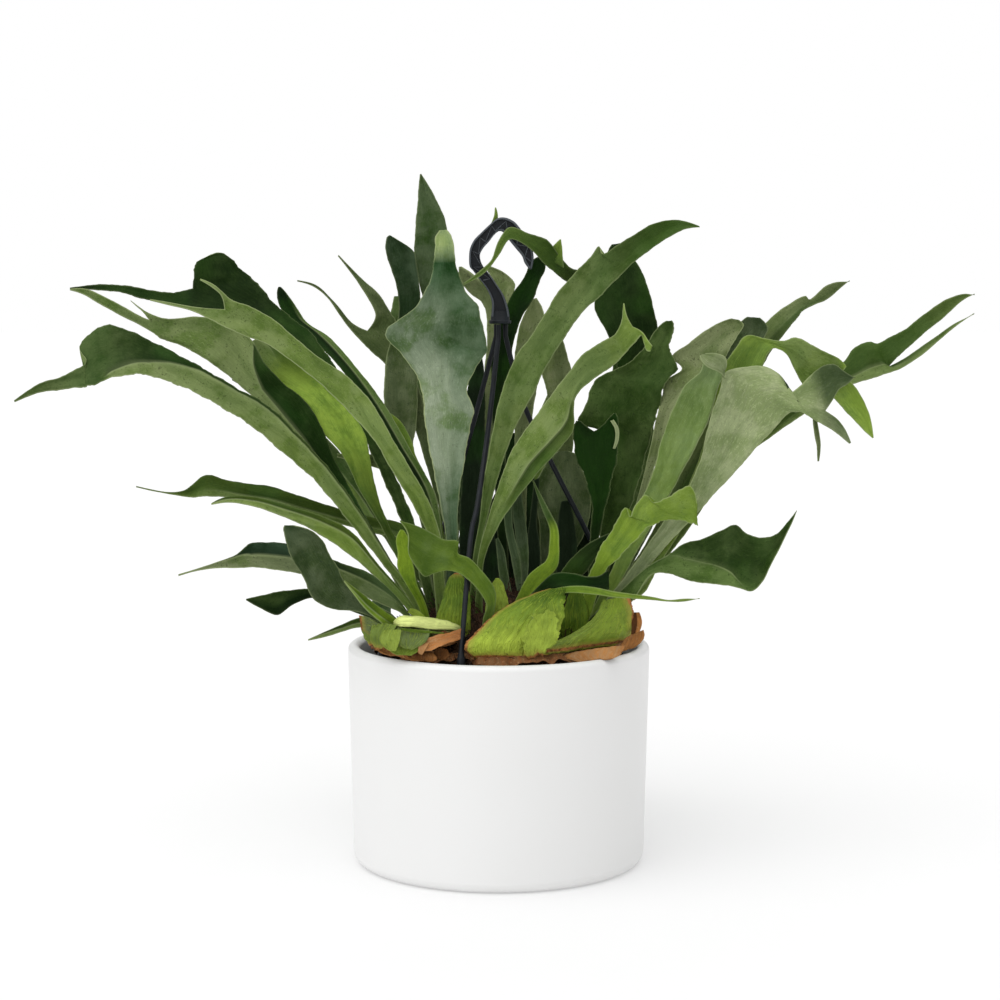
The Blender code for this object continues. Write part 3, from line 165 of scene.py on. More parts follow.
# Rows run from the crown to the tip: left u, v, right u, v, depth, the sides as the blade heads.
# A sixth number is how much farther back the right edge lies; without it the blade's lean gives it.
FRONDS = {
    "frond_left_low": Blade(Look("green",
        "0 .85 .55 0, 7 .88 .74 0 .1, 8 .86 .85 0 .2, 9 .6 .88 0 .35, 10 .34 .9 .04 .35,"
        "11 .22 .92 .14 .3, 12 .1 .95 .2 .2, 12.8 0 .2 .2, 16 0 .35 .35", "0 .35, 6 .1, 9 0", wave=0.5,
        ragged=0.6), """
        -52 152 -45 157 -24, -62 181 -57 185 -25, -82.5 209.5 -77 213 -27, -99.8 231.5 -92 238 -29,
        -130.5 268.5 -120 277 -31, -150 285.5 -138 297 -33, -172.5 304.5 -160 318 -35,
        -191 316 -181 330 -36, -211.5 327.5 -204 343.5 -38, -228 334 -226 355.5 -39,
        -242 338.5 -241 363 -40, -254 339 -255 369.5 -41, -267 336.8 -268 373.3 -42,
        -278 332.5 -280 369 -43, -284 331 -289 356 -43, -286 330.5 -284.5 350 -44, -299 329 -299 339 -45,
        -317 326.5 -317 333 -47, -334.5 320 -335 321.2 -49""", 0.3),
    "frond_left_mid": Blade(Look("green",
        "0 .3 .45 0, 3 .22 .68 0 .1, 5 .16 .85 0 .2, 7 .24 .85 0 .3, 8 .36 .85 0 .3,"
        "9 .72 .85 .05 .2, 9.8 1 .85 .3, 12 1 .75 .75, 16 1 .7 .7", "0 .15, 3 0", wave=0.7), """
        -53 155 -46 160 -15, -68 186 -61 187 -15, -82 213 -75 210 -15, -99 240 -92 240 -15,
        -117 266 -104 262 -15, -129 282 -114 281 -15, -141 295 -122 302 -15, -153 306 -133 320 -15,
        -172 325.5 -149 333.5 -15, -189 340 -162 348 -15, -203 350 -171.5 364.5 -15,
        -218 358.5 -189.5 375.5 -15, -233.5 364 -208 379 -15, -237 367 -229 377.5 -15 / -241 376.8 /
        -248 373.5 -247 379.5 -15, -258 378.5 -257 385 -16, -272 386 -271 392.5 -17,
        -288 395 -287.5 398.5 -18, -295 397 -295 398 -19 / -245.5 382.5 -240 381 -15,
        -253 389.3 -253.5 390.3 -15""", 0.25),
    "frond_left_high": Blade(Look("green", "0 .5, 4 .7, 8 .85", "0 .3, 5 .25, 9 .1", wave=0.6), """
        -42 155 -33 158 -31, -45 190 -37 191 -32, -49.5 228 -41 229.5 -34, -60 249.5 -47.5 249 -36,
        -75.5 275 -60 272 -39, -85.5 292.5 -73 294 -42, -102 311.5 -88 320 -45, -122 331.5 -106 339 -48,
        -142 347.5 -124 351 -51, -161.8 361 -141 365 -54, -176 366 -153 375.5 -57, -191 373 -170 385.5 -60,
        -200 377.5 -184.5 391 -62 / -188.8 384 / -212 383 -209 385.6 -63, -226 386.5 -225 388.5 -65,
        -240 390 -240 391 -67 / -191.5 394 -190.5 396.5 -64, -197 398.8 -196 401 -66,
        -205.5 404 -205.2 405 -67""", 0.3),
    "frond_left_dark": Blade(Look("deep", "0 .45, 4 .2, 6 .12, 10 .08", wave=0.8, ragged=0.9), """
        -46 158 -39 160 -6, -53 190 -46 192 -5, -62 223 -54 224 -3, -72 248 -62 246 0, -88 284 -76 278 4,
        -104 318 -91 309 9, -124 344 -106.5 336 14, -145 360 -118.5 353 19, -166 371 -130.5 369 24,
        -184 378 -145 380 28, -199 381 -157 391 32, -211.5 383 -169 405 35 / -210.6 398.3 /
        -226 388 -228 395.5 36, -242 390.5 -242 397.8 37, -263 396 -264 401 38, -278 397.2 -279 400.8 39,
        -295 397.6 -295 398.8 40 / -209.5 409.5 -177 411.5 37, -207 416.5 -184 418.5 38,
        -202 419.5 -189 422.2 39, -196 421.7 -193 422.6 39""", 0.25),
    "frond_left_back": Blade(Look("deep", "0 .3, 4 .55 .05 .75 .15, 7 .65 0 .7 .1, 9 .9 0 .3", wave=0.5), """
        -35 158 -29 159 8, -40 195 -34 196 9, -46 226 -39 227 11, -55 258 -44 256 15, -74 291 -60.5 286 23,
        -93 321 -79 318.5 31, -114 349 -99.5 345.5 39, -133 367 -117 365 46, -147 380 -133 376 50,
        -152 390 -141.5 389 53, -152.5 397 -147 396.3 55, -151.6 399.3 -149.8 399.3 56""", 0.3),
    "frond_left_inner": Blade(Look("green", "0 .6 .1 0, 5 .5 .06 .02, 9 .35 .3 .05 .2, 11 .8 .8 .2",
        "0 .1, 3 .15, 4.5 .5, 6 1, 8 .9, 9.5 .35, 11 0", wave=0.8), """
        -49 157 -42 160 -9, -60 186 -53 188 -10, -73 216 -66 216 -9, -84 238 -75 232 -7, -97 260 -83 252 -5,
        -108.5 284 -88.5 277 -3, -122.5 300.5 -92 296 -2, -131 317 -100 311 -1, -144 328 -114 328 0,
        -159.5 336.5 -131 343 0, -169 349 -146.5 359 0, -174 360 -165 365 0""", 0.25),
    "frond_left_wide": Blade(Look("green", "0 .7 .6 .3, 3 .72 .75 .1 .15, 5 .6 .85 0 .3, 7 .5 .85 0 .2",
        "0 .5, 3 .35, 5 .28, 8 .3", wave=0.5), """
        -50 153 -47 159 -42, -66 178 -66 187 -45, -84 196.5 -82.8 206 -49, -104.5 214.5 -101 229 -53,
        -126.8 229.5 -118 239 -57, -150 240.5 -149 249 -62, -170 247.5 -171 254.5 -67,
        -188 250.3 -190 254.2 -71, -199.5 248.7 -199.5 249.9 -74""", 0.35),
    "frond_left_cross": Blade(Look("green", "0 .3 .4 .1, 4 .3 .5 .03 .15, 7 .25 .5 .02 .15, 10 .3 .3 .02, 12 .3",
        "0 .2, 6 .12, 10 .15"), """
        -36 168 -31 172 3, -46 204 -41 212 5, -66 224 -63 234 7, -87 229 -91 241 8, -112 236 -112 246.5 7,
        -138 243 -138 255 4, -160 249 -160 262 1, -177 252 -177 264 -2, -190 254.3 -188 266 -4,
        -204 254.5 -203 269.5 -6, -215 254 -218 259 -8, -226 255.7 -226 257.7 -10, -251.5 261 -251.5 262 -14""", 0.35),
    "frond_left_lower": Blade(Look("blue",
        "0 .6 .4 .1, 3 .62 .6 .05 .2, 5 .5 .7 0 .35, 7 .5 .85 0 .3, 8 .85 .85 .1, 10 1 .8 .8", "0 .25, 3 .05, 5 0",
        wave=0.7), """
        -54 150 -54 157 -48, -67 172 -70 183 -56, -88 182 -90 201 -59, -108 194 -112 209 -63,
        -127 199 -131 217 -68, -141 201 -146.5 221.5 -73, -156 203.5 -160 222.6 -78,
        -171 205 -173 221.7 -83, -183 204.7 -182 214.5 -87, -200 204.2 -196 208.8 -92,
        -223 199 -223 200.2 -98""", 0.35),
    "frond_left_paddle": Blade(Look("blue", "0 .4, 5 .3 .08, 10 .22", wave=0.6), """
        -50 146 -48 152 -52, -65 153 -63 162 -61, -80 165 -77 174 -67, -97 173.5 -93 182 -75,
        -116 176 -102 188 -84, -129.5 183 -108 196 -91, -135 196 -112.5 206 -98,
        -144 211.5 -118.5 215.5 -104, -147.5 221 -122.5 224 -109, -149.3 229.5 -129 230 -113,
        -148.8 234.6 -141 233.8 -116""", 0.25),
    "frond_left_strap": Blade(Look("bright", "0 .5 .2 .1, 3 .35 .8 .1 .2", "0 .75, 3 .9, 5 .9"), """
        -45 147 -43 154 -56, -62 153 -60 162 -66, -80 164.5 -76 172 -74, -94 177 -91 183.5 -85,
        -102.5 188 -100.5 191 -94, -107.8 195 -107 196 -98""", 0.25),
    "frond_left_blade": Blade(Look("deep", "0 .5 .1 .3, 3 .5 0 .15 .25, 7 .5 .05 .2 .2", wave=0.4), """
        -44 146 -44 152 -36, -80 165 -81 172 -42, -110 177 -112 185 -48, -131 183.5 -133.5 190 -52,
        -144 178.5 -145 189.2 -55, -154 171.7 -155 187.8 -57, -165 175.7 -165 185.6 -60,
        -176 182 -176 183 -63""", 0.35),
    "frond_left_small": Blade(Look("green", "0 .4 .5 0, 3 .45 .8 0 .2, 5 .9 .7 .1", "0 .3, 4 .25", wave=0.4), """
        -60 150 -60 158 -14, -78 160 -78 168 -18, -96.5 163 -96.5 169.8 -23, -110 159.5 -110 164.8 -27,
        -122 156 -122 159.5 -31, -133 153.6 -133 154.6 -35""", 0.35),
    "frond_left_fork": Blade(Look("olive", "0 .3, 5 .35 .1, 9 .25"), """
        -29 160 -23 161 27, -33 215 -27 216 40, -46 262 -39 264 52, -59 305 -49 309 58, -71 336 -61 345 64,
        -80 348 -70 363 68, -93 360 -70.8 376.5 72 / -90.5 369.3 / -105.8 374.5 -101 374.8 73,
        -118.8 393 -114 390 76, -128.8 400.2 -126 400.8 79, -138.5 403 -138.5 404 80 /
        -85 378 -73.8 380.5 74, -89.5 390.5 -82 394 78, -97 402.5 -92.5 403.5 82, -110.5 420.4 -110 421.2 86""", 0.25),
    "frond_young_arch": Blade(Look("bright", "0 .15 .1", "0 .4, 5 .34, 8 .14, 12 .3", ragged=0.0), """
        -13 140 -5 140 -60, -11 168 -4 167 -66, -9 180 -2.5 189 -69, -18.7 194 -12.8 204 -73,
        -28 201 -21 212 -76, -33 202.5 -28.3 215 -77, -38 202.5 -28 223.3 -79, -45.5 200.5 -37.7 224.5 -80,
        -52 198.7 -47 229.5 -81, -58 206 -54 233 -82, -62.5 214 -60 235.3 -83, -63 229 -66 237 -84,
        -68.3 237 -68.6 238 -85""", 0.1),
    "frond_young_left": Blade(Look("bright", "0 .1 .12", "0 .9, 3 .95, 6 1", ragged=0.0), """
        -50 150 -44 150 -44, -57 180 -51 180 -49, -65.5 195 -57 194 -56, -70.5 205 -59 205 -58,
        -70.3 215 -61.5 215 -60, -71.3 225.5 -63 226 -62, -68.5 231.4 -66 231 -63""", 0.1),
    "frond_tall": Blade(Look("felted", "0 .1, 4 .12 .05, 6 .18 .08, 8 .2", wave=0.6), """
        -19 160 -12 161 36, -26 220 -17 221 43, -35 280 -24 281 52, -45 340 -31 341 60, -52 390 -34 391 64,
        -58 424 -34 425 67, -57 441 -36 442 68, -55.5 459 -42 457.5 70, -54 476 -53 476.4 72""", 0.15),
    "frond_dark_blunt": Blade(Look("blue", "0 .35, 3 .6, 6.2 .5, 7.2 .06, 9 .08, 12 .06", wave=0.7), """
        -42 160 -36 161 13, -50 215 -43 216 22, -58 252 -49 254 34, -68 284 -59 288 43,
        -78 310 -56.5 308 48, -79.2 332 -56 331 49, -76.5 356 -55 355 51, -69.4 378 -54 378 53,
        -69.2 394 -54 395 54, -74 412 -56 412 55, -78 426 -59 424.5 57, -77.2 432 -65 428.8 58,
        -75 434.7 -72 433 59""", 0.15),
    "frond_star": Blade(Look("frosted",
        "0 0, 2.5 .45 .36 .14, 4 .55 .85 .52, 6 .6 .94 .6, 8 .58 .8 .4, 9.5 .5 .42 .2,"
        "11 .5 .36 .12, 12 .55 .46 .16, 13.9 .5 .24 .18, 14.9 .5 .05 0, 15.3 0, 16.2 .85," "18 1",
        "0 0, 15.3 0, 16.3 .75, 18 .65", wave=0.6, ragged=0.5), """
        -38 158 -30 158 -24, -37 195 -29.5 195 -26, -36.8 225 -28.7 224 -28, -42 256 -27.5 255 -30,
        -46.3 278 -23.7 279 -32, -50.7 303 -19.7 303 -34, -52 318 -17.2 314 -35, -54 331 -21.8 330 -36,
        -59 342 -16 343 -37, -67 353 -9 353.5 -39, -77.6 365 -7.8 359 -41, -77 371 -10 368 -42,
        -69 376.6 -12.3 378 -43, -58 385 -14.5 386.5 -44, -50.3 397 -22.3 396 -45,
        -45.3 411.5 -28.5 411.5 -46, -44 426 -31 427 -46, -43.5 433.5 -32.5 434.5 -46,
        -40.5 438 -35.5 438.3 -46""", 0.05),
    "frond_diagonal": Blade(Look("green", "0 .08, 5 .42, 12 .42 .05, 15 .25, 18 .05, 21 .05", "0 .15, 14 .04, 21 .1",
        wave=0.5), """
        -23 158 -17 158 -24, -20 190 -15 190 -26, -17.8 213 -13.2 215 -29, -13.3 239 -7.5 241 -33,
        -10.8 263 -1.5 264 -37, -7.8 281 4 282 -40, -3.8 303 11 301 -43, 1 324 18 315 -46,
        5 336 24.5 327 -48, 12 352 31.5 342 -51, 22 365.5 40.5 357 -54, 31.5 380.5 48.5 369 -57,
        41 396 58 382.5 -60, 52 408.5 68.5 391.5 -63, 63 420 77 400.5 -66, 69 427 82 405.5 -67,
        70.5 422.2 86 409.5 -68, 80.5 427.3 94.5 417.5 -70, 92 434.5 106 426 -72, 105 442 118.5 434.3 -74,
        119 445.2 128 438.6 -76, 137.6 441 138 440 -78""", -0.2),
    "frond_curled": Blade(Look("green",
        "0 .15, 3 .7 .5 .25 .2, 5 .62 .74 .12 .35, 7 .72 .75 .15 .3, 8 .9 .7 .3 .1, 10 .38," "14 .6",
        "0 .2, 9 .08, 12 .22, 14 .45", wave=0.5), """
        -17 152 -11 152 -40, -16 190 -11 189 -42, -15 209 -10.5 207 -44, -7 241 0 234 -48,
        .8 265 12 252 -52, 8.8 286 28 272 -56, 20 303 45 291 -60, 31 318 52 302 -63, 38.5 328 53 323 -66,
        50 343 66 336.5 -70, 58.5 353.5 76 343 -73, 70 361 85 351 -76, 80 367 93 360 -79,
        84.5 376 99 366 -81 / 92.5 372 / 85.3 383 88 380.5 -82, 85.7 388 86.5 388 -83 /
        99 368.5 100.5 360 -83, 103 363 102 355.5 -85, 106 359 104.5 355 -86""", -0.2),
    "frond_over_hook": Blade(Look("deep", "0 .3, 6 .1 .1, 9 .12, 12 .3, 15 .5", "0 0, 8 .08, 11 .22, 15 .4",
        wave=0.4), """
        51 160 57 160 35, 60 230 67 229 42, 71 300 80 298 49, 79 350 90 349 53, 77 382 90 387 51,
        66 396 77 406 44, 54 399 60 411 28, 45 404 50 412 15, 38.5 409 42 420.5 5, 31 415.5 33 431.5 -3,
        22 425 20.5 436 -9, 12.5 431 7 440 -12, 6.3 431 -.5 430 -13, .2 421 -4.5 419 -13.5,
        -9.5 409 -11.8 411.3 -13.5, -24 400.5 -24.6 401.6 -12""", -0.15),
    "frond_behind_hook": Blade(Look("deep", "0 .05, 4 0, 9 0"), """
        3 160 9 160 14, -1 230 6 230 18, -4 290 5 290 21, -5 335 8 335 24, -5 360 10.5 362 26,
        2 377 16 378.5 27, 8 392.5 24.5 392.5 28, 16 403.5 28.5 404 29, 24.5 418.5 32 415.5 30,
        28.5 420.5 30 420.2 30""", -0.15),
    "frond_back_olive": Blade(Look("olive", "0 .4, 4 .75, 5 .5 .5 .9 .15", wave=0.7), """
        -10 160 -4 160 30, -12 230 -5 230 36, -12 290 -3 290 42, -10 340 0 341 48, -8 368 5 372 51,
        -11 388 9.5 394 53 / -6 399 / -21 396 -13 404 54, -27 406 -21 410.5 55, -27.5 413 -25.5 413.3 56 /
        -5.5 406 11.5 401 54, -8 410.5 6 407.5 55, -8.7 413.5 -6 413.5 55""", -0.15),
    "frond_back_pale": Blade(Look("olive", "0 .4, 3 .6, 5 .95", wave=0.6), """
        12 160 18 160 22, 12 230 19 230 27, 11 290 21 290 31, 11 335 27 335 36, 12 360 31.5 366 39,
        16 377 31.5 381 41, 23.5 391 26 391.8 42""", -0.15),
    "frond_back_grey": Blade(Look("olive", "0 .25, 3 .6, 5 .35 .9 .55 .2", wave=0.5), """
        19 160 25 160 33, 23 230 31 229 38, 36 285 51 285 45, 36 310 51.4 310 48, 33 328 51 328 50,
        30 341 50 343 52, 33 354 47 353.5 53, 42 362.4 44.4 362.8 54""", -0.1),
    "frond_back_broad": Blade(Look("blue", "0 .2, 3 .5, 6 .4", wave=0.8), """
        27 158 34 158 20, 29 200 41 200 23, 28 235 60 229 26, 25.5 261 64 254 29, 31 275 58.5 272.5 31,
        36 282 53.5 284 32, 41 286 49 286 33""", 0.0),
    "frond_short_bright": Blade(Look("bright", "0 .1 .12, 4.8 .1 .12, 5.6 .12, 8 .15", "0 .75, 4.8 .8, 5.6 0, 8 0",
        wave=1.2), """
        5 150 13 148 -36, 13 185 21 181 -38, 23 202 33 196 -40, 33 210 41 206 -41, 35 221 42 221 -41,
        35.3 232 41 233 -41, 31 243 35 245 -40, 27 254 29.5 255.5 -40, 23.3 265.6 24 266 -39""", -0.1),
    "frond_dark_fan": Blade(Look("deep", "0 .15, 3 0, 8 0 .05", wave=1.2, ragged=0.9), """
        58 158 64 158 -12, 62 200 68 200 -13, 63.3 226 70 226 -13, 64.5 248 74.5 248 -14,
        59.5 268 79 268 -15, 53 284 82.5 285 -16, 51.5 295 83 293 -17 / 66 300 / 52 303 60.5 303.5 -17,
        53.5 307 57 307 -17 / 72 304 83 303 -17, 76 309 82.5 309.5 -18, 79 312 81 312.5 -18""", -0.1),
    "frond_mitten": Blade(Look("deep", "0 .26, 3 .26, 9 .32 .05, 16 .35", wave=0.9, ragged=0.8), """
        61 158 67 158 5, 67 200 74 200 5, 70 225 79 223 5, 73 248 91 246 4, 77 275 100 275 5,
        77 298 106 299 6, 67 301.5 107.5 305 6, 55 306.5 109 311 6, 61 320 111.5 318 7, 67 336 114 330 7,
        77 341 117 336 8, 84 344.5 124 343 8, 91 348 119.5 352 9, 100 358 118 360 9, 106.5 367 120 368 10,
        111.5 373.5 121 374 10, 115 375.8 119.5 376.2 10""", -0.1),
    "frond_dark_back": Blade(Look("deep", "0 .1, 5 .06 .06, 9 .06", wave=0.8), """
        62 162 68 161 21, 76 200 82 199 25, 80 230 87 228 26, 86 290 96 288 27, 84 330 102 328 28,
        76 365 109.5 370 29, 66 386 105.5 389 31, 69 404 101 404 32, 74 421 93.5 418 34,
        77.5 428.3 84 429.3 35""", -0.15),
    "frond_right_green": Blade(Look("smooth", "0 .4 .3 .4, 3 .35 .8 .75, 6 .4 .7 .88, 8.6 .4 .62 .8, 9 .4 1 1",
        "0 .6, 3 .4, 6 .2, 10 .05", wave=0.7), """
        56 158 63 155 -22, 77 200 85 195 -23, 92 236 104 230 -24, 101 257 117.5 253 -27,
        108 275 128.5 274 -30, 112 292 138 292 -32, 119 312 146.5 311 -34, 129 332 151.5 329 -35,
        140 343 155 339 -35, 141.5 350 155.5 345 -35, 145 353.6 151.5 352.3 -35""", -0.2),
    "frond_right_olive": Blade(Look("olive", "0 .6, 4 .9, 7 .9, 8 .72, 12 .65", wave=0.8), """
        58 160 64 158 -7, 82 208 89 205 -6, 97 256 102 257 -3, 104 285 113 290 0, 110 313 122 318 3,
        112.5 323 138 333 6, 116 335 148 343 9, 126.5 343.5 155 349 11, 119.5 351 158 354 13,
        131 360.5 161.5 360.5 16, 144 370.5 165 366 18, 155 376 168.5 374 20, 160 377.6 165.5 376.6 20""", -0.2),
    "frond_right_blue": Blade(Look("blue", "0 .3, 5 .3, 7 .2", wave=0.6), """
        60 162 66 160 12, 95 228 102 224 16, 120 285 130 280 21, 142 325 154 319 29, 154 348 174 347 35,
        159 362 182 362 38, 165.5 374 185 373 40, 171 378.8 180 378.3 41""", -0.2),
    "frond_right_up": Blade(Look("olive", "0 .5 .3 .1, 4 .6 .45 .1 .15, 7 .7 .5 .1 .1, 12 .3", "0 .1, 12 .05",
        wave=0.6), """
        58 160 64 157 28, 104 225 112 220 31, 131 284 141 278 34, 153 326 166 318 43, 167 352 182 345 50,
        176 366.5 192 361 55, 184 375 200 371 59, 196 385 206 378.5 63, 211.5 393 212 384.5 67,
        213.5 390.8 217 387 69, 225 400 226.5 391 73, 233 402.7 234 397.5 76, 241 402.8 241.3 403.8 80""", -0.25),
    "frond_right_far": Blade(Look("green", "0 .3, 5 .75 .15 .5, 9 .7 .1 .6 .1, 12 .75 .08 .55, 20 .3", "0 .1, 12 .1",
        wave=0.6), """
        58 158 64 154 -1, 97 202 104 196 0, 122 236 130 229 3, 146 264 155.5 266.5 6, 160 280 172 283.5 9,
        180 300 190 297 12, 197 316 210 311 14, 211 328 225 320 16, 224 339 238 330 18,
        237.5 347.5 250 334 20, 246 358 261 337.5 21, 255.5 362 269 340 22, 261 360.5 277 343 23 /
        269.5 344.8 / 270 365 275 351 24, 281 371 284 359 25, 291 379 293 367.5 26, 301 386.5 302 374.5 27,
        311 392 311 382.5 28, 320 394.6 319 389.8 29, 327.3 393.6 327.5 394.6 30 / 279 349.7 283 346.5 24,
        290 357.3 292 352.5 25, 301 365 303 362 26, 313 373.5 314 371.5 27, 327.3 380.4 327.5 381.4 28""", -0.25),
    "frond_right_pale": Blade(Look("straw",
        "0 .6, 4 .75, 8 .4 .7 .88 .15, 12 .5 1 .92 .2, 14.6 .5 .75 .7 .1, 15.6 .5 .2 .4," "20 .5 .06 .28",
        wave=0.7), """
        54 158 61 155 -28, 91 203 98 198 -32, 111 232 121 225 -37, 124 252 138 243 -41,
        132.5 263.5 152 259 -44, 139.5 279.5 162.5 270 -48, 144 300 178 288 -52, 148.5 316 191.5 302.5 -56,
        153.5 331 201.5 313 -60, 156 340 206 313 -62, 172 344.5 208.5 313.5 -64, 183 345 211.5 312 -66,
        195 338 214 310.5 -67, 202 327 217 308.5 -68, 208 331 220 306.7 -69, 216 339.5 224 304.6 -70 /
        226 314 / 225 345.5 231 322 -70, 232 346 235 328.5 -70, 239 341 241 332.5 -70,
        246 336.6 246 337.6 -70 / 233.5 309 230.5 301 -70, 240.5 300 237 296 -69, 244 292 242.8 291.2 -68""", -0.2),
    "frond_right_arch": Blade(Look("green", "0 .4, 4 .4, 8 .4 .4 .4, 9.5 .4 .7 .6 .15, 12.4 .45 .65 .5 .15, 13.6 .4",
        "0 .4, 5 .6, 8 .7, 9.3 .25, 12.4 .15, 13.6 .7, 16 .8", wave=0.8), """
        58 157 64 154 -17, 102 207 108 202 -17, 126 250 134 244 -18, 144 298 156 291 -20,
        150 328 170 321 -22, 154 343 181 342 -23, 163 357 185 352 -24, 171 366 189 357 -25,
        183 364 193 356.5 -26, 195 362.3 199 352.5 -27, 205 364.7 205 341 -28, 215 360.2 211 331.5 -29,
        226 354.4 221 331 -30 / 237 341 / 235 350 238.5 342.5 -30, 239.5 345.5 240 344.5 -30 /
        243.5 334 232 322 -30, 252.5 321 241.5 312 -31, 257 309.5 250 303 -31.5, 259.6 295.5 258.8 295 -32""", -0.15),
    "frond_right_low": Blade(Look("deep",
        "0 .5 .5 .7, 2 .25 .3 .6 .2, 3 .05 .25 .62 .3, 4 .42 .22 .66 .35, 5.5 .6 .22 .66 .3,"
        "7 .8 .18 .7 .2, 8.5 1 .2 .5, 13 1 .22 .22", wave=0.7), """
        50 158 57 153 -33, 86 190 93 181 -38, 104 206 107 200 -40, 117 213.5 118 200.8 -43,
        129 221.7 130 196.5 -46, 142 225.3 142 194 -49, 154 230.5 153 193 -52, 165 235 162 191.7 -55,
        171 229.5 170 189.6 -57, 179 226.5 177 188.5 -59, 187 226.3 183 194 -61, 193 228.5 188 204 -63,
        200 236 195 218 -65, 206.8 245 207 244.3 -67""", -0.15),
    "frond_front_narrow": Blade(Look("bright", "0 .1, 3 .3 .2, 9 .5 .2", "0 .9, 3 .7, 9 .35", wave=0.5), """
        4 150 12 147 -56, 20 181 24 175 -59, 45 191.5 45 186.7 -63, 66 191.3 66 186 -67,
        80 188.3 80 184 -69, 95 186.2 95 183 -71, 108 184.2 108 182 -73, 118 182.3 118 181 -75,
        131 183.2 131 181.3 -77, 140 182.8 140 183.6 -79""", -0.1),
    "frond_right_young": Blade(Look("bright", "0 .6 .3 .4, 6 .6 .7 .45 .15, 13 .5 .6 .45",
        "0 .7, 5 .65, 9 .45, 13 .4", wave=1.2, ragged=0.8), """
        48 150 56 147 -43, 57 180 66 176 -46, 64 203 75 203 -50, 73 223 86 214 -54, 80.5 234 97 226 -57,
        88.3 247 105 233.5 -60, 91 240.5 109 235.5 -61, 96 251 114 237.3 -63, 102 256 120 238.3 -65,
        107.5 250.2 125 238 -66, 114 253 129 237.2 -67, 123 257.5 132 236.3 -68, 133 262 135 235.4 -70,
        137.5 250 138 234.6 -71""", -0.1),
    "frond_wavy_dark": Blade(Look("deep", "0 .05 .2, 4 .75 0 .05 .25", "0 .3, 2 0", wave=1.4), """
        12 150 20 147 -48, 18 180 26 175 -50, 28 192.5 31 185 -53, 39 201 41 188 -56, 50 201.3 52 188 -58,
        62 198.6 64 188 -60, 70 199.5 72 187.5 -62, 76.3 203.5 77 190 -63""", -0.1),
    "frond_dark_fold": Blade(Look("deep", "0 .05 .2, 3 .02 .3", "0 .1, 5 0", wave=1.2), """
        26 150 34 147 -41, 34 182 43 176 -43, 43 201 53 194 -45, 50 211 60 201 -47, 62 221.5 67 211 -48,
        76.5 228.8 77 227.6 -49""", -0.1),
}

# Shield fronds: the broad plates that wrap the mound.
SHIELDS = {
    "shield_upright": Blade(Look("shield", "0 0, 2 .08, 4 0", "0 .9, 1 .5, 2 .05, 4 0", back=0.6, wave=0.5,
        hems=(Side.TIP,)), """
        -37 150 -21 150 -54, -43.7 168 -19.5 168 -58, -40 180 -19.5 180 -58, -37 192 -22 192 -56,
        -34 198.5 -25 198.5 -54, -30.5 201 -28.5 201 -53""", 0),
    "shield_rolled": Blade(Look("pale_shield", "0 0", "0 .8, 4 1", back=0.5, ragged=0.2, roll=300.0, turn=120.0), """
        -26 154 -23 156 -60, -28 159 -27.5 163.5 -71, -33.3 159.8 -33.3 165.6 -75, -43 159.2 -43 168 -78,
        -53.5 160 -53.5 169.6 -79, -63.5 161 -63.5 170.2 -79, -69.8 162 -69.8 169 -78, -73 164 -73 166.6 -77""", 0),
    "shield_left": Blade(Look("shield", "0 .75, 3 .9", back=0.6, wave=1.6, ragged=0.5,
        hems=(Side.LEFT, Side.TIP)), """
        -38 148 -36 157 -57 0, -50 146.5 -53 159 -80 2, -63 145 -67 161 -82 2, -78 147 -80 164 -79 2,
        -90 153 -91 170 -78 3, -95.5 160 -97 171 -76 3""", 0),
    "shield_front": Blade(Look("shield", "0 0, 6 0", "0 1, 2 1, 3.2 .3, 4.5 0", back=0.5, wave=1.6, ragged=1.0,
        hem_row=1.1, hems=(Side.BASE, Side.LEFT)), """
        -8 145 28 145 -50 0, -19 142 34 141.5 -79 6, -23.5 151 41 155 -82 8, -14 161.5 45 170 -79 8,
        1 175 46 181 -73 6, 18 184 46.5 187.5 -68 2, 33 189.5 45 191 -66 0""", 0),
    "shield_right": Blade(Look("shield", "0 .35 .6 0, 5 .3 .1 0", "0 .6, 2 .45, 5 .25", back=0.5, wave=1.4,
        ragged=0.6, hem_row=1.1, hems=(Side.BASE, Side.RIGHT)), """
        56 150 70 152 -38 8, 31 145.5 88 153.5 -59 44, 33 149.5 93.5 158 -59 44, 50 158 94 170 -56 28,
        66 170 93 179 -53 14, 73 182.5 91 184 -49 8""", 0),
    "shield_brown_fold": Blade(Look("dry_light", "0 0", "0 .5", wave=1.5, ragged=0.5), """
        -36 150 -29 152 -54 0, -37 150 -30 153 -71 0, -43 150.5 -37 160.5 -77 0, -48 150.5 -45 156 -83 0,
        -51.5 149.5 -50.5 151 -85 0""", 0),
}

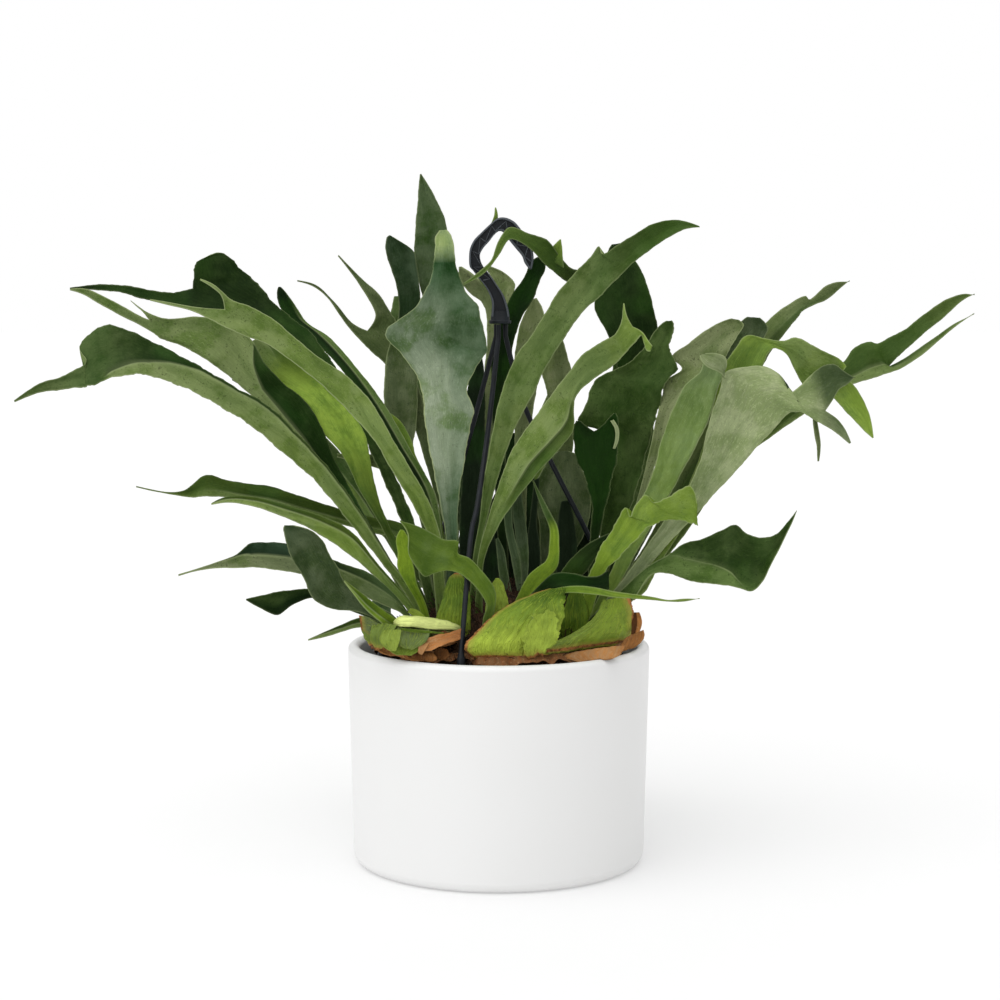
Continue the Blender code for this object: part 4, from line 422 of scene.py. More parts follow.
FAR_LEAF = Look("green", "0 .4, 4 .15 .1", back=0.12)
FAR_PALE = Look("green", "0 .5, 4 .2 .1", "0 .3, 4 .1", back=0.55)
TUFTS = {
    "tuft_back_left": Tuft((-36, 44, 176), (
        Blade(Look("green", "0 .5, 4 .2 .1", back=0.25), """
            -38 176 -30 176 44, -40 215 -28 215 60, -43 262 -27 262 90, -45 300 -24 300 115,
            -58 330 -22 330 135, -70 352 -20 352 150 / -46 345 / -75 374 -54 373 160, -72 393 -66 393 168 /
            -40 371 -19 370 162, -33 393 -27 392 172"""),
        Blade(FAR_LEAF, """
            -36 178 -33 184 43, -66 206 -61 211 46, -96 254 -89 258 62, -127 290 -121 297 86,
            -160 320 -157 326 112, -184 335 -184 336 132"""),
        Blade(Look("green", "0 .4, 3 .2 .1", "0 .2, 5 .1", back=0.3), """
            -38 176 -31 178 46, -46 184 -36 187 85, -54 178 -38 183 135, -60 160 -44 168 175,
            -64 140 -54 146 200, -63 124 -61 124 210"""),
        Blade(Look("green", "0 .2", "0 .3, 4 .7, 7 .85", back=0.6), """
            -37 178 -32 178 41, -41 215 -36 216 31, -48 248 -43 250 27, -57 268 -50 268 30,
            -67 284 -57 282 34, -75 299 -61 295 38, -80 309 -68 307 39, -81.5 313.5 -76 313 39"""),
        Blade(FAR_LEAF, """
            -39 178 -32 180 48, -44 188 -35 190 74, -66 192 -56 195 96, -86 184 -72 188 124,
            -92 168 -75 171 156 / -84 161 / -95 152 -87 153 178, -94 138 -91 139 192 / -82 150 -73 153 177,
            -77 137 -74 137 190"""),
        Blade(FAR_PALE, """
            -37 178 -33 182 49, -58 205 -53 210 72, -90 236 -84 242 104, -117 266 -107 274 132,
            -139 292 -127 303 158, -157 311 -146 321 176, -168 322 -165 326 186"""),
        Blade(Look(back=0.2), """
            -35 178 -29 178 50, -24 200 -14 200 88, -19 222 -5 222 126, -19 242 -4 241 156,
            -18 254 -7 252 180, -14 258 -12 258 194"""))),
    "tuft_back_right": Tuft((40, 44, 176), (
        Blade(FAR_PALE, """
            35 176 43 176 44, 26 215 35 215 72, 22 265 34 263 108, 26 305 38 302 140, 36 330 42 328 160,
            42 341 43 340.6 170"""),
        Blade(Look("green", "0 .4, 4 .2 .1", back=0.2), """
            36 178 42 176 44, 72 215 79 212 58, 82 262 103 259 84, 82 300 107 298 104, 83 326 107 324 118,
            82 345 109 345 128 / 96 341 / 79 366 92 364 136, 80 381 84 381 142 / 99 360 112 360 135,
            105 374 109 374 140"""),
        Blade(FAR_LEAF, """
            37 178 42 174 46, 92 205 96 198 66, 128 246 134 239 92, 156 282 164 275 116,
            180 309 184 303 134, 194 318 194 317 142"""),
        Blade(FAR_LEAF, """
            35 177 43 177 48, 41 184 54 182 92, 46 178 64 174 140, 56 160 70 154 180, 66 138 72 136 202,
            71 122 73 122 212"""),
        Blade(FAR_PALE, """
            39 178 46 178 46, 64 188 73 187 80, 76 184 90 182 120, 76 169 92 167 156 / 84 160 /
            74 152 82 150 178, 75 138 78 137 192 / 86 151 94 150 177, 91 138 94 138 190"""),
        Blade(Look("green", "0 .3, 4 .1 .1", "0 .1, 6 .3", back=0.15), """
            38 178 45 177 50, 72 205 80 201 84, 96 238 105 234 118, 108 268 124 266 146, 116 298 138 296 168
            / 129 306 / 117 320 127 319 178, 121 336 124 336 184 / 132 318 142 314 178, 140 334 143 333 186"""),
        Blade(Look("green", "0 .6, 3 .55", "0 .5, 3 .35, 5 .1", back=0.3), """
            38 180 45 178 48, 68 184 78 176 58, 88 199 102 188 60, 98 213 111.5 206 58, 107 222 119 216 56,
            114 226.5 119.5 225 55"""),
        Blade(Look(back=0.2), """
            34 178 40 178 50, 22 205 32 205 88, 14 235 30 234 124, 11 262 30 260 152, 15 284 28 282 172,
            20 297 23 296 184"""))),
}

# Small growth round the crown.
STALK = Look("stalk", "0 .95, 1 .85, 2 .45, 4 .2", wave=0.0)
# Stalks and broad sheets behind the crown, dark all over: painted shade between the blades.
PAINTED_SHADE_STALK = Look("stalk", "0 0", wave=0.0)
TIP = Look("shield", young="0 .55", wave=0.3)
LAYER = Look("shield", "0 .4", "0 .25", wave=0.8, ragged=1.2, hems=(Side.TIP,))
CLUSTERS = {
    "crown_stalks": Cluster("stalk", "frond_dark_blunt", (
        Blade(STALK, "2.8 187 9.2 187.5 -12, 0 201 6.5 201.5 -11, -1.5 216 4 216.5 -8, -2 225 -.5 226 -6"),
        Blade(STALK, """
            12.7 188.5 16.8 189 -8, 8.5 211.5 14.8 212 -5, 4.8 230 10.3 231 0, 3 252 8.6 253.5 8,
            3.5 267 6.5 268 12"""),
        Blade(STALK, """
            17 192 19.5 192 -4, 14.6 211.5 21 212 -2, 11 230 19.6 231 3, 9.5 252 16.5 253.5 9,
            12 268 16 270 13"""),
        Blade(PAINTED_SHADE_STALK, """
            -20 163 -6.5 163 -4, -17 182 -3 182 -2, -14 199.5 .5 199.5 2, -12 222 -2 222 4, -9 236 -5 236 5"""),
        Blade(PAINTED_SHADE_STALK, """
            18 189 27.5 190.5 6, 19 213.5 29 216 8, 21 234.5 26.5 237 12, 23 252 27.5 253.5 14,
            24.5 266 28.5 267.5 16"""),
        Blade(PAINTED_SHADE_STALK, "40 187.5 54 187.5 14, 40.5 220.5 54.5 220.5 16, 41.5 240 52 240 18, 43 251 49 252 19"),
        Blade(PAINTED_SHADE_STALK, """
            -28.5 180 -14.5 180 20, -27.5 220.5 -13 218.5 22, -27 245 -11.5 244 24, -25.5 266 -10 266 26,
            -25.5 281 -10 282 28, -25 305 -9.5 306 29, -22 328 -9.5 330 30, -18 343 -10.5 345 30,
            -13.5 352.5 -11.5 353 30"""),
        Blade(PAINTED_SHADE_STALK, """
            -13 180 25 180 30, -10 220.5 24.5 220.5 32, -6 248.5 26 248.5 36, 1 264 25 266 40,
            4 281 19 282 41, 6 298 11 299 42"""),
        Blade(PAINTED_SHADE_STALK, """
            32.5 180 65.5 180 30, 33.5 220.5 65 218.5 32, 35 248.5 63.5 248.5 36, 37 264 59 264 40,
            43 275 53 277 41"""))),
    "shield_tips": Cluster("shield", "shield_front", (
        Blade(TIP, """
            -9 165 7.5 166.5 -60, -9 179.5 7 179.5 -60, -7 188 5 188 -58, -4 194.5 2.5 194.5 -57,
            -2 197.5 0 197.5 -57"""),
        Blade(Look("shield", "0 0", wave=0.6, ragged=0.5), """
            42 152 61 152 -50, 43 164 62 165 -50, 46 178 61 180 -48, 50 190 57 190 -46"""),
        Blade(TIP, "-54.5 166.5 -51 170 -78, -60 171.5 -57.5 175.5 -79, -63.5 173.5 -61.5 176.5 -80"),
        # A thin dark strip under the rolled shield: the edge of a lobe below it, drawn dark as painted shade of the
        # roll's opening.
        Blade(Look("shield", "0 0", wave=0.0), """
            -38 158.3 -38 159.2 -83.5, -48 158.8 -48 160.4 -85.6, -60 159.6 -60 161.4 -86,
            -68 161 -68 162.4 -84.5"""),
        Blade(Look("shield", young="0 1, 3 .6", wave=2.0, ragged=2.6, hems=(Side.BASE,)), """
            18 142 30 142 -85, 17 150.5 36 148.5 -87, 18 158 41 157 -87, 20 166.5 42.5 165 -85,
            25.5 173 39 173 -82"""))),
    "shield_layers": Cluster("shield", "shield_left", (
        Blade(LAYER, "-74 166 -96 163 -78, -77 160 -95 158 -80, -82 154 -92 153.5 -81.5, -86 150 -90 150 -81.5"),
        Blade(LAYER, """
            -70.5 165 -88.5 164 -80, -76.5 155.5 -90 157 -84, -80.5 149 -87.5 150.5 -85,
            -83 147 -85.5 147.5 -85"""),
        Blade(Look("shield", "0 .75, 3 .6", "0 0, 3 .3", wave=0.5, ragged=0.5), """
            -48 161.5 -70.5 164 -80, -49.5 154.5 -72 157 -86, -55.5 149.5 -70 152 -87.5,
            -60.5 147 -66.5 148.5 -87.5"""),
        Blade(Look("shield", "0 .3", "0 .5, 3 .8", wave=0.5, ragged=0.5), """
            -68 161 -80 161 -84, -69.5 152.5 -83 154 -88, -71 147.5 -80 149 -88.5, -72.5 146 -76 146.5 -88.5"""),
        Blade(Look("shield", young="0 .2, 2 .35", wave=0.5, ragged=0.5), """
            -51 157 -75 152.5 -82, -54 149 -76 147 -84.5, -61 143 -71.5 143.5 -85"""))),
    "grey_strap": Cluster("olive", "frond_left_strap", (
        Blade(Look("olive", "0 .45, 3 .6", wave=0.0), """
            -79 272.5 -79 281.5 6, -90 276 -90 284 8, -101 279 -101 284 10, -112 282 -112 284.5 12"""),)),
    "hook_tips": Cluster("green", "frond_behind_hook", (
        Blade(Look("green", young="0 .3, 5 .7", wave=0.0), """
            -9 398 -6 398 14, -17.5 414 -14.5 414 12, -14.5 431 -11.5 430 10, -6.5 440.5 -4 438.5 9,
            -3.5 447 -.5 446 9, -2.5 453.5 -1.8 453.5 9"""),
        Blade(Look("green", "0 .15", "0 .2, 3 .6", wave=0.0), """
            33.5 419 44.8 412.5 3.5, 35.5 425.5 44.3 418.5 2, 38.7 428.8 43.8 424.5 2, 42 432 42.9 431.7 2"""))),
    "hanging_tip": Cluster("olive", "frond_right_pale", (
        Blade(Look("olive", "0 .3, 3 .5", wave=0.3), """
            221 279 222 279 -66, 220 290 223 290 -66, 218 301 221.5 301 -66, 217 310 220 310 -66"""),)),
    "pale_ear": Cluster("straw", "frond_right_pale", (
        Blade(Look("straw", "0 .45, 3 .65", wave=0.0, ragged=0.0), """
            157 336 154 338 -66, 151.5 341 157.5 345 -68, 144 344.5 156 351.5 -69,
            139.5 349 149 353.8 -68.5, 138.5 352 143 353.6 -67.5"""),)),
    "pale_curl": Cluster("straw", "frond_dark_fan", (
        Blade(Look("straw", "0 .9", wave=0.0), """
            79 288 80.5 287.5 -19, 80.5 294 83 293.5 -20, 80 302 83 302 -20, 77 307 79.5 308 -20"""),)),
    "brown_ribbon": Cluster("dry_light", "shield_brown_fold", (
        Blade(Look("dry", "0 .1, 2 0", "0 .2, 3 .5", ragged=0.8), """
            -24.5 155 -24.5 163 -78, -32 152.5 -34 159.5 -82, -41 149.5 -43.5 157.2 -86,
            -49 146.5 -52.5 153.5 -87.5, -55 146.5 -56.5 149 -87"""),)),
    "dry_sheets": Cluster("dry", "skirt", (
        Blade(Look("dry", "0 .35", ragged=1.0), """
            -68 149.5 -86.5 154 -78, -65 144 -87 148.5 -80, -61.5 141 -80.5 144 -81"""),
        Blade(Look("dry", "0 .55", ragged=1.2), """
            -45.5 145 -64.5 147 -80, -43.5 141.5 -66 143 -83, -47.5 138.5 -57 139.5 -84"""),
        Blade(Look("dry", "0 .75", ragged=1.0), """
            -36 147.5 -43.5 149 -76, -34.5 143 -45 144.5 -78, -38 139.5 -42 140.5 -80"""),
        Blade(Look("dry", young="0 .6", ragged=0.4), """
            -48.5 152 -54.5 153 -88, -50.5 148.5 -56 148.5 -89, -53.5 143.5 -56 144.5 -88"""),
        Blade(Look("dry", "0 .15", "0 .45", ragged=1.0), """
            88 150 54 146 -70, 86.5 145.5 46 142.5 -73, 80.5 141 55 138 -76"""),
        Blade(Look("dry", "0 .35", "0 .1", ragged=1.2), """
            101 161 88 155 -52, 101.5 156 85 149.5 -50, 95 149 84 145 -50"""),
        Blade(Look("dry", "0 .5 .9 .1", ragged=0.4), """
            92.5 158 97.5 158 -42, 93 166.5 100 166.5 -40, 93.5 173.5 98 173.5 -38"""),
        Blade(Look("dry", "0 .15", ragged=0.8), """
            81 183.5 95 182 -22, 81.5 192 92.5 190.5 -20, 83 198.5 90.5 197.5 -18"""))),
}


def _operator(operation: str, reflected: bool = False) -> Callable[["Wire", "Value"], "Wire"]:
    """An operator of a wire and a value that adds a Math node.

    Args:
        operation: the node's operation.
        reflected: whether the value comes first.

    Returns:
        The method.
    """
    def method(self: "Wire", other: "Value") -> "Wire":
        """The node's output."""
        first, second = (other, self) if reflected else (self, other)
        return self.graph.node("ShaderNodeMath", {"operation": operation}, {0: first, 1: second})

    return method


class Wire:
    """A node's output, which ordinary operators turn into Math nodes."""

    def __init__(self, graph: "NodeTree", socket: bpy.types.NodeSocket) -> None:
        """Hold the output.

        Args:
            graph: the node tree that the output belongs to.
            socket: the output socket.
        """
        self.graph = graph
        self.socket = socket

    __add__, __radd__ = _operator('ADD'), _operator('ADD', reflected=True)
    __sub__, __rsub__ = _operator('SUBTRACT'), _operator('SUBTRACT', reflected=True)
    __mul__, __rmul__ = _operator('MULTIPLY'), _operator('MULTIPLY', reflected=True)
    __truediv__, __rtruediv__ = _operator('DIVIDE'), _operator('DIVIDE', reflected=True)

    def __abs__(self) -> "Wire":
        """abs(self)"""
        return self.graph.node("ShaderNodeMath", {"operation": 'ABSOLUTE'}, {0: self})

    def between(self, low: "Value", high: "Value") -> "Wire":
        """A smooth rise from 0 at low to 1 at high.

        Args:
            low: the value that gives 0.
            high: the value that gives 1; it may lie under low, which turns the rise round.

        Returns:
            The risen value, held between 0 and 1.
        """
        settings = {"interpolation_type": 'SMOOTHSTEP', "clamp": True}
        return self.graph.node("ShaderNodeMapRange", settings, {0: self, 1: low, 2: high})


Value = Union[Wire, float]


class NodeTree:
    """A tree of nodes, with one method that adds any node."""

    def __init__(self, tree: bpy.types.NodeTree) -> None:
        """Hold the tree."""
        self.tree = tree

    def node(self, kind: str, settings: dict[str, Any] | None = None,
             inputs: dict[Any, Any] | None = None, output: int | str = 0) -> Wire:
        """Add a node.

        Args:
            kind: the node's type.
            settings: its properties, set first.
            inputs: values or wires for its sockets, by name or number.
            output: which of its outputs to hand back.

        Returns:
            That output.
        """
        made = self.tree.nodes.new(kind)
        for key, value in (settings or {}).items():
            setattr(made, key, value)
        for key, value in (inputs or {}).items():
            self.feed(made.inputs[key], value)
        return Wire(self, made.outputs[output])

    def feed(self, socket: bpy.types.NodeSocket, value: Any) -> None:
        """Link a wire into a socket, or set the socket's own value.

        Args:
            socket: the input socket.
            value: a wire, a colour, a vector, a number or whatever else the socket holds.
        """
        if isinstance(value, Wire):
            self.tree.links.new(value.socket, socket)
        elif isinstance(value, tuple) and len(value) == 3 and socket.type == 'RGBA':
            socket.default_value = (*value, 1)
        else:
            socket.default_value = value

    def noise(self, vector: Wire, scale: float, detail: float = 2.0, rough: float = 0.5) -> Wire:
        """A noise value, about 0.5 on average."""
        return self.node("ShaderNodeTexNoise", inputs={
            "Vector": vector, "Scale": scale, "Detail": detail, "Roughness": rough})


class Graph(NodeTree):
    """A material's node tree."""

    def __init__(self, name: str) -> None:
        """Make a material of that name with a Principled shader.

        Args:
            name: the material's name.
        """
        self.material = bpy.data.materials.new(name)
        self.material.use_nodes = True
        super().__init__(self.material.node_tree)
        self.shader = self.tree.nodes["Principled BSDF"]

    def attribute(self, name: str) -> Wire:
        """A number that the mesh carries at each vertex."""
        return self.node("ShaderNodeAttribute", {"attribute_name": name}, output="Fac")

    def attributes(self, names: str) -> list[Wire]:
        """Several such numbers, their names set apart by spaces."""
        return [self.attribute(name) for name in names.split()]

    def place(self) -> Wire:
        """The piece's own coordinates, in metres."""
        return self.node("ShaderNodeTexCoord", output="Object")

    def stretched(self, x: Value, y: Value, z: Value = 0.0) -> Wire:
        """A vector of three values."""
        return self.node("ShaderNodeCombineXYZ", inputs={0: x, 1: y, 2: z})

    def cells(self, vector: Wire, scale: float) -> Wire:
        """The distance to the middle of the nearest cell."""
        return self.node("ShaderNodeTexVoronoi", inputs={"Vector": vector, "Scale": scale}, output="Distance")

    def mix(self, share: Value, low: Any, high: Any, blend: str = 'MIX') -> Wire:
        """Mix two colours.

        Args:
            share: how much of the second there is.
            low: the first colour.
            high: the second colour.
            blend: the Mix node's blend.

        Returns:
            The mixed colour.
        """
        settings = {"data_type": 'RGBA', "blend_type": blend}
        return self.node("ShaderNodeMix", settings, {0: share, 6: low, 7: high}, output=2)

    def bump(self, height: Wire, strength: float, distance: float) -> None:
        """Raise the surface.

        Args:
            height: the relief.
            strength: how strongly it shows.
            distance: what a height of 1 is, in metres.
        """
        normal = self.node("ShaderNodeBump", inputs={
            "Strength": strength, "Distance": distance, "Height": height})
        self.feed(self.shader.inputs["Normal"], normal)

    def finish(self, colour: Any, rough: Value, **constants: float) -> bpy.types.Material:
        """Feed the shader.

        Args:
            colour: the base colour.
            rough: the roughness.
            constants: other sockets' own numbers, their names with _ for a space.

        Returns:
            The finished material.
        """
        self.feed(self.shader.inputs["Base Color"], colour)
        self.feed(self.shader.inputs["Roughness"], rough)
        for name, number in constants.items():
            self.shader.inputs[name.replace("_", " ")].default_value = number
        return self.material


def shaded(colour: Colour, share: float) -> Colour:
    """A colour made lighter or darker."""
    return (colour[0] * share, colour[1] * share, colour[2] * share)


@dataclass(frozen=True)
class LeafFinish:
    """A leathery blade: dark above with a grey bloom, pale and felted below, bright when young."""

    name: str
    upper: Colour = (0.007, 0.026, 0.001)
    glow: Colour = (0.024, 0.084, 0.010)
    under: Colour = (0.222, 0.284, 0.106)
    young: Colour = (0.290, 0.420, 0.060)
    felt: Colour = (0.085, 0.140, 0.042)
    rim: Colour = (0.340, 0.400, 0.190)
    felt_share: float = 0.16
    veins: float = 22.0
    vein_depth: float = 0.30
    specks: float = 0.65
    clouds: float = 0.65
    edge: float = 0.60
    rough: float = 0.50

    def build(self) -> bpy.types.Material:
        """The material, which reads the blade's tone, youth, margin, fold and own grid.

        Returns:
            The material.
        """
        graph = Graph(self.name)
        place = graph.place()
        tone, young, margin, across, along, crease, shade = graph.attributes(
            "tone young margin across along crease shade")
        wide = graph.noise(place, 20.0, 2.0, 0.5)
        cloud = graph.noise(place, 48.0, 4.0, 0.62)
        mottle = graph.noise(place, 125.0, 4.0, 0.68)
        grain = graph.noise(place, 600.0, 3.0, 0.7)
        lines = graph.noise(graph.stretched(across * self.veins, along * 0.03), 1.0, 3.0, 0.6)
        vein = abs(lines - 0.5).between(0.045, 0.0)
        streaks = graph.stretched(across * self.veins * 2.4 + (mottle - 0.5) * 5.0, along * 0.16)
        threads = graph.noise(streaks, 1.0, 3.0, 0.7)
        bloom = (wide * 0.30 + cloud * 0.45 + mottle * 0.25).between(0.45, 0.58)
        flecks = (threads * 0.6 + grain * 0.4).between(0.50, 0.62)

        specks = grain.between(0.555, 0.63) * mottle.between(0.42, 0.54)
        upper = graph.mix(wide.between(0.46, 0.60) * 0.42, self.upper, self.glow)
        upper = graph.mix(bloom * self.felt_share, upper, self.felt)
        upper = graph.mix(flecks * (self.felt_share * 0.6), upper, self.felt)
        upper = graph.mix(vein * 0.24, upper, shaded(self.felt, 0.6))
        leafy = (self.under[0] * 0.38, self.under[1] * 0.56, self.under[2] * 0.14)
        under = graph.mix((cloud * 0.6 + wide * 0.4).between(0.53, 0.42) * self.clouds, self.under, leafy)
        under = graph.mix(flecks * 0.55, under, shaded(self.under, 1.5))
        under = graph.mix(vein * self.vein_depth, under, shaded(self.under, 0.55))
        under = graph.mix(specks * self.specks, under, shaded(self.under, 0.20))
        calm = (self.young[0] * 0.36, self.young[1] * 0.48, self.young[2] * 0.50)
        bright = graph.mix(bloom * 0.70 + specks * 0.2, self.young, calm)
        bright = graph.mix(specks * self.specks * 0.5, bright, calm)
        bright = graph.mix(flecks * 0.35, bright, shaded(self.young, 1.40))
        bright = graph.mix(vein * 0.35, bright, shaded(self.young, 1.35))

        blend = tone + (cloud * 0.6 + mottle * 0.4 - 0.5) * 3.2 * tone * (1.0 - tone)
        colour = graph.mix(blend, upper, under)
        colour = graph.mix(young + (cloud - 0.5) * 2.0 * young * (1.0 - young), colour, bright)
        # painted shade: soft dark streaks along each blade, standing for the shading of its curved and draped surface
        painted_drape_shade = graph.noise(graph.stretched(across * 2.4 + wide * 4.0, along * 0.014), 1.0, 2.0)
        colour = graph.mix(painted_drape_shade.between(0.40, 0.62) * 0.50, colour, (0.52, 0.60, 0.46), 'MULTIPLY')
        colour = graph.mix(shade * 0.65, colour, shaded(self.upper, 0.5))
        # the margins take the pale rim colour: on pale faces their own pale edge, and the share that every face gets,
        # dark ones too, is a painted rim highlight
        edge = margin.between(0.90, 0.25) * (tone * self.edge + 0.12)
        colour = graph.mix(edge, colour, self.rim)
        colour = graph.mix(crease * 0.45, colour, self.rim)
        relief = lines * 0.5 + threads * 0.35 + grain * 0.40 + mottle * 0.6
        graph.bump(relief, 0.60, 0.0012)
        rough = self.rough + (mottle - 0.5) * 0.25 + tone * 0.10
        return graph.finish(colour, rough, Specular_IOR_Level=0.06)


@dataclass(frozen=True)
class ShieldFinish:
    """A broad shield: green to yellow-green, with fanned veins and a dry brown hem."""

    name: str
    green: Colour = (0.105, 0.185, 0.012)
    deep: Colour = (0.048, 0.100, 0.006)
    bright: Colour = (0.420, 0.550, 0.060)
    grey: Colour = (0.150, 0.190, 0.080)
    hem: Colour = (0.420, 0.185, 0.055)
    hem_width: float = 2.8

    def build(self) -> bpy.types.Material:
        """The material, which reads the shield's hem, tone, youth and own grid.

        Returns:
            The material.
        """
        graph = Graph(self.name)
        place = graph.place()
        tone, young, hem, across, along = graph.attributes("tone young hem across along")
        wander = graph.noise(place, 60.0, 3.0)
        fan = graph.stretched(across * 17.0 + (wander - 0.5) * 2.6, along * 0.05)
        lines = graph.noise(fan, 1.0, 2.0, 0.55)
        vein = abs(lines - 0.5).between(0.060, 0.0)
        wide = graph.noise(place, 24.0, 2.0)
        mottle = graph.noise(place, 85.0, 4.0, 0.62)
        dabs = graph.noise(place, 300.0, 3.0, 0.7)
        colour = graph.mix((wide * 0.4 + mottle * 0.6).between(0.40, 0.62) * 0.8, self.green, self.deep)
        bright = graph.mix(mottle.between(0.40, 0.64) * 0.55, self.bright, shaded(self.bright, 0.58))
        grey = graph.mix(mottle.between(0.42, 0.62) * 0.6, self.grey, shaded(self.grey, 0.60))
        colour = graph.mix(young + (wide - 0.5) * 0.5 * young, colour, bright)
        colour = graph.mix(tone, colour, grey)
        colour = graph.mix(vein * 0.40, colour, shaded(self.bright, 0.85))
        # painted shade in the furrows between the fanned veins
        colour = graph.mix(lines.between(0.57, 0.68) * 0.22, colour, shaded(self.deep, 0.8))
        colour = graph.mix(dabs.between(0.60, 0.72) * 0.5, colour, shaded(self.deep, 0.6))
        ragged = hem + (wander - 0.5) * 3.6 + (dabs - 0.5) * 1.6
        scald = ragged.between(self.hem_width * 2.6, self.hem_width * 0.9) * 0.55
        colour = graph.mix(scald, colour, (0.380, 0.330, 0.060))
        dry = ragged.between(self.hem_width, self.hem_width * 0.5)
        brown = graph.mix(dabs.between(0.42, 0.60), self.hem, shaded(self.hem, 0.40))
        colour = graph.mix(dry, colour, brown)
        graph.bump(vein * 0.4 + lines * 0.25 + dabs * 0.5, 0.7, 0.0014)
        return graph.finish(colour, 0.50 + (mottle - 0.5) * 0.2 + dry * 0.25, Specular_IOR_Level=0.14)


@dataclass(frozen=True)
class DryFinish:
    """Old dry shields: papery orange-brown and streaked, darkened in blotches as painted shade of their hollows."""

    name: str
    light: Colour = (0.540, 0.235, 0.066)
    dark: Colour = (0.100, 0.034, 0.010)
    bleached: Colour = (0.600, 0.370, 0.180)

    def build(self) -> bpy.types.Material:
        """The material, streaked along the sheet's own grid; its tone darkens it, partly its own darker brown and
        partly painted shade where a sheet lies back in a recess, and youth bleaches it.

        Returns:
            The material.
        """
        graph = Graph(self.name)
        place = graph.place()
        blotch = graph.noise(place, 55.0, 4.0, 0.62)
        tone, young, across, along = graph.attributes("tone young across along")
        streak = graph.noise(graph.stretched(across * 14.0, along * 0.05), 1.0, 3.0, 0.65)
        fine = graph.noise(place, 420.0, 3.0, 0.7)
        share = (blotch * 0.45 + streak * 0.55).between(0.38, 0.64)
        # painted shade: blotches and streaks darkened as the hollows of the crumpled sheets
        colour = graph.mix(share * 0.75, self.light, self.dark)
        colour = graph.mix(young * streak.between(0.35, 0.60), colour, self.bleached)
        colour = graph.mix(fine.between(0.52, 0.70) * 0.35, colour, self.bleached)
        # tone: darker brown, partly the sheet's own colour and partly painted shade for sheets lying back in recesses
        colour = graph.mix(tone, colour, shaded(self.dark, 0.5))
        graph.bump(streak * 0.8 + fine * 0.3 + blotch * 0.5, 0.7, 0.0016)
        return graph.finish(colour, 0.80 - fine * 0.12, Specular_IOR_Level=0.12)


@dataclass(frozen=True)
class FibreFinish:
    """Fibre, bark and roots."""

    name: str
    light: Colour = (0.150, 0.078, 0.036)
    dark: Colour = (0.022, 0.012, 0.007)
    scale: float = 130.0

    def build(self) -> bpy.types.Material:
        """The material, coarse and matt.

        Returns:
            The material.
        """
        graph = Graph(self.name)
        place = graph.place()
        coarse = graph.noise(place, self.scale, 5.0, 0.68)
        chips = graph.cells(place, self.scale * 1.3)
        colour = graph.mix((coarse * 0.7 + chips * 0.4).between(0.35, 0.72), self.dark, self.light)
        graph.bump(coarse + chips * 0.6, 0.9, 0.002)
        return graph.finish(colour, 0.9 - coarse * 0.1, Specular_IOR_Level=0.2)


@dataclass(frozen=True)
class MouldedFinish:
    """Satin black plastic with the faint sheen and scuffs of a moulding."""

    name: str
    shade: Colour = (0.0060, 0.0082, 0.0108)
    rough: float = 0.42
    specular: float = 0.25

    def build(self) -> bpy.types.Material:
        """The material, in the piece's own coordinates.

        Returns:
            The material.
        """
        graph = Graph(self.name)
        place = graph.place()
        cloud = graph.noise(place, 120.0, 3.0)
        scuff = graph.noise(place, 900.0, 2.0, 0.7)
        lift = tuple(2.4 * part for part in self.shade)
        colour = graph.mix(cloud.between(0.45, 0.75) * 0.5, self.shade, lift)
        # painted highlight: the chamfered rims made lighter, as light catching them
        colour = graph.mix(graph.attribute("painted_bevel_highlight") * 0.8, colour, (0.095, 0.108, 0.120))
        graph.bump(scuff, 0.12, 0.0004)
        rough = self.rough + (cloud - 0.5) * 0.2 + (scuff - 0.5) * 0.08
        return graph.finish(colour, rough, Specular_IOR_Level=self.specular)


@dataclass(frozen=True)
class GlazeFinish:
    """Satin white glaze over a turned ceramic body."""

    name: str
    shade: Colour = (0.80, 0.80, 0.795)

    def build(self) -> bpy.types.Material:
        """The material: near even, with the slight wave and pinholes of a dipped glaze.

        Returns:
            The material.
        """
        graph = Graph(self.name)
        place = graph.place()
        drift = graph.noise(place, 9.0, 2.0)
        orange_peel = graph.noise(place, 230.0, 2.0)
        pins = graph.cells(place, 330.0).between(0.06, 0.02)
        colour = graph.mix(drift.between(0.35, 0.7) * 0.5, self.shade, (0.785, 0.785, 0.775))
        colour = graph.mix(pins * 0.10, colour, (0.6, 0.6, 0.58))
        graph.bump(orange_peel * 0.5 - pins, 0.05, 0.0005)
        return graph.finish(colour, 0.34 + (drift - 0.5) * 0.06, Specular_IOR_Level=0.5)


@dataclass(frozen=True)
class StageFinish:
    """The plain matt sweep that the pot stands on."""

    name: str
    shade: Colour = (0.620, 0.620, 0.620)
    lift: float = 0.275

    def build(self) -> bpy.types.Material:
        """The material: pale with the faintest cloud.

        Returns:
            The material.
        """
        graph = Graph(self.name)
        cloud = graph.noise(graph.place(), 2.0)
        colour = graph.mix(cloud * 0.2, self.shade, shaded(self.shade, 0.995))
        return graph.finish(colour, 0.9, Specular_IOR_Level=0.1, Emission_Strength=self.lift)


def seen(grid: np.ndarray) -> np.ndarray:
    """The points in metres that the eye sees at (u, v, depth) mm.

    Args:
        grid: an array whose last axis is u, v, depth.

    Returns:
        An array of the same shape holding x, y, z.
    """
    y = grid[..., 2] * MM
    stretch = (y - EYE[1]) / -EYE[1]
    x = EYE[0] + (grid[..., 0] * MM - EYE[0]) * stretch
    z = EYE[2] + (grid[..., 1] * MM - EYE[2]) * stretch
    return np.stack([x, y, z], axis=-1)


PACE_LIMIT = 1.9
LEAST_TRAVEL = 0.3


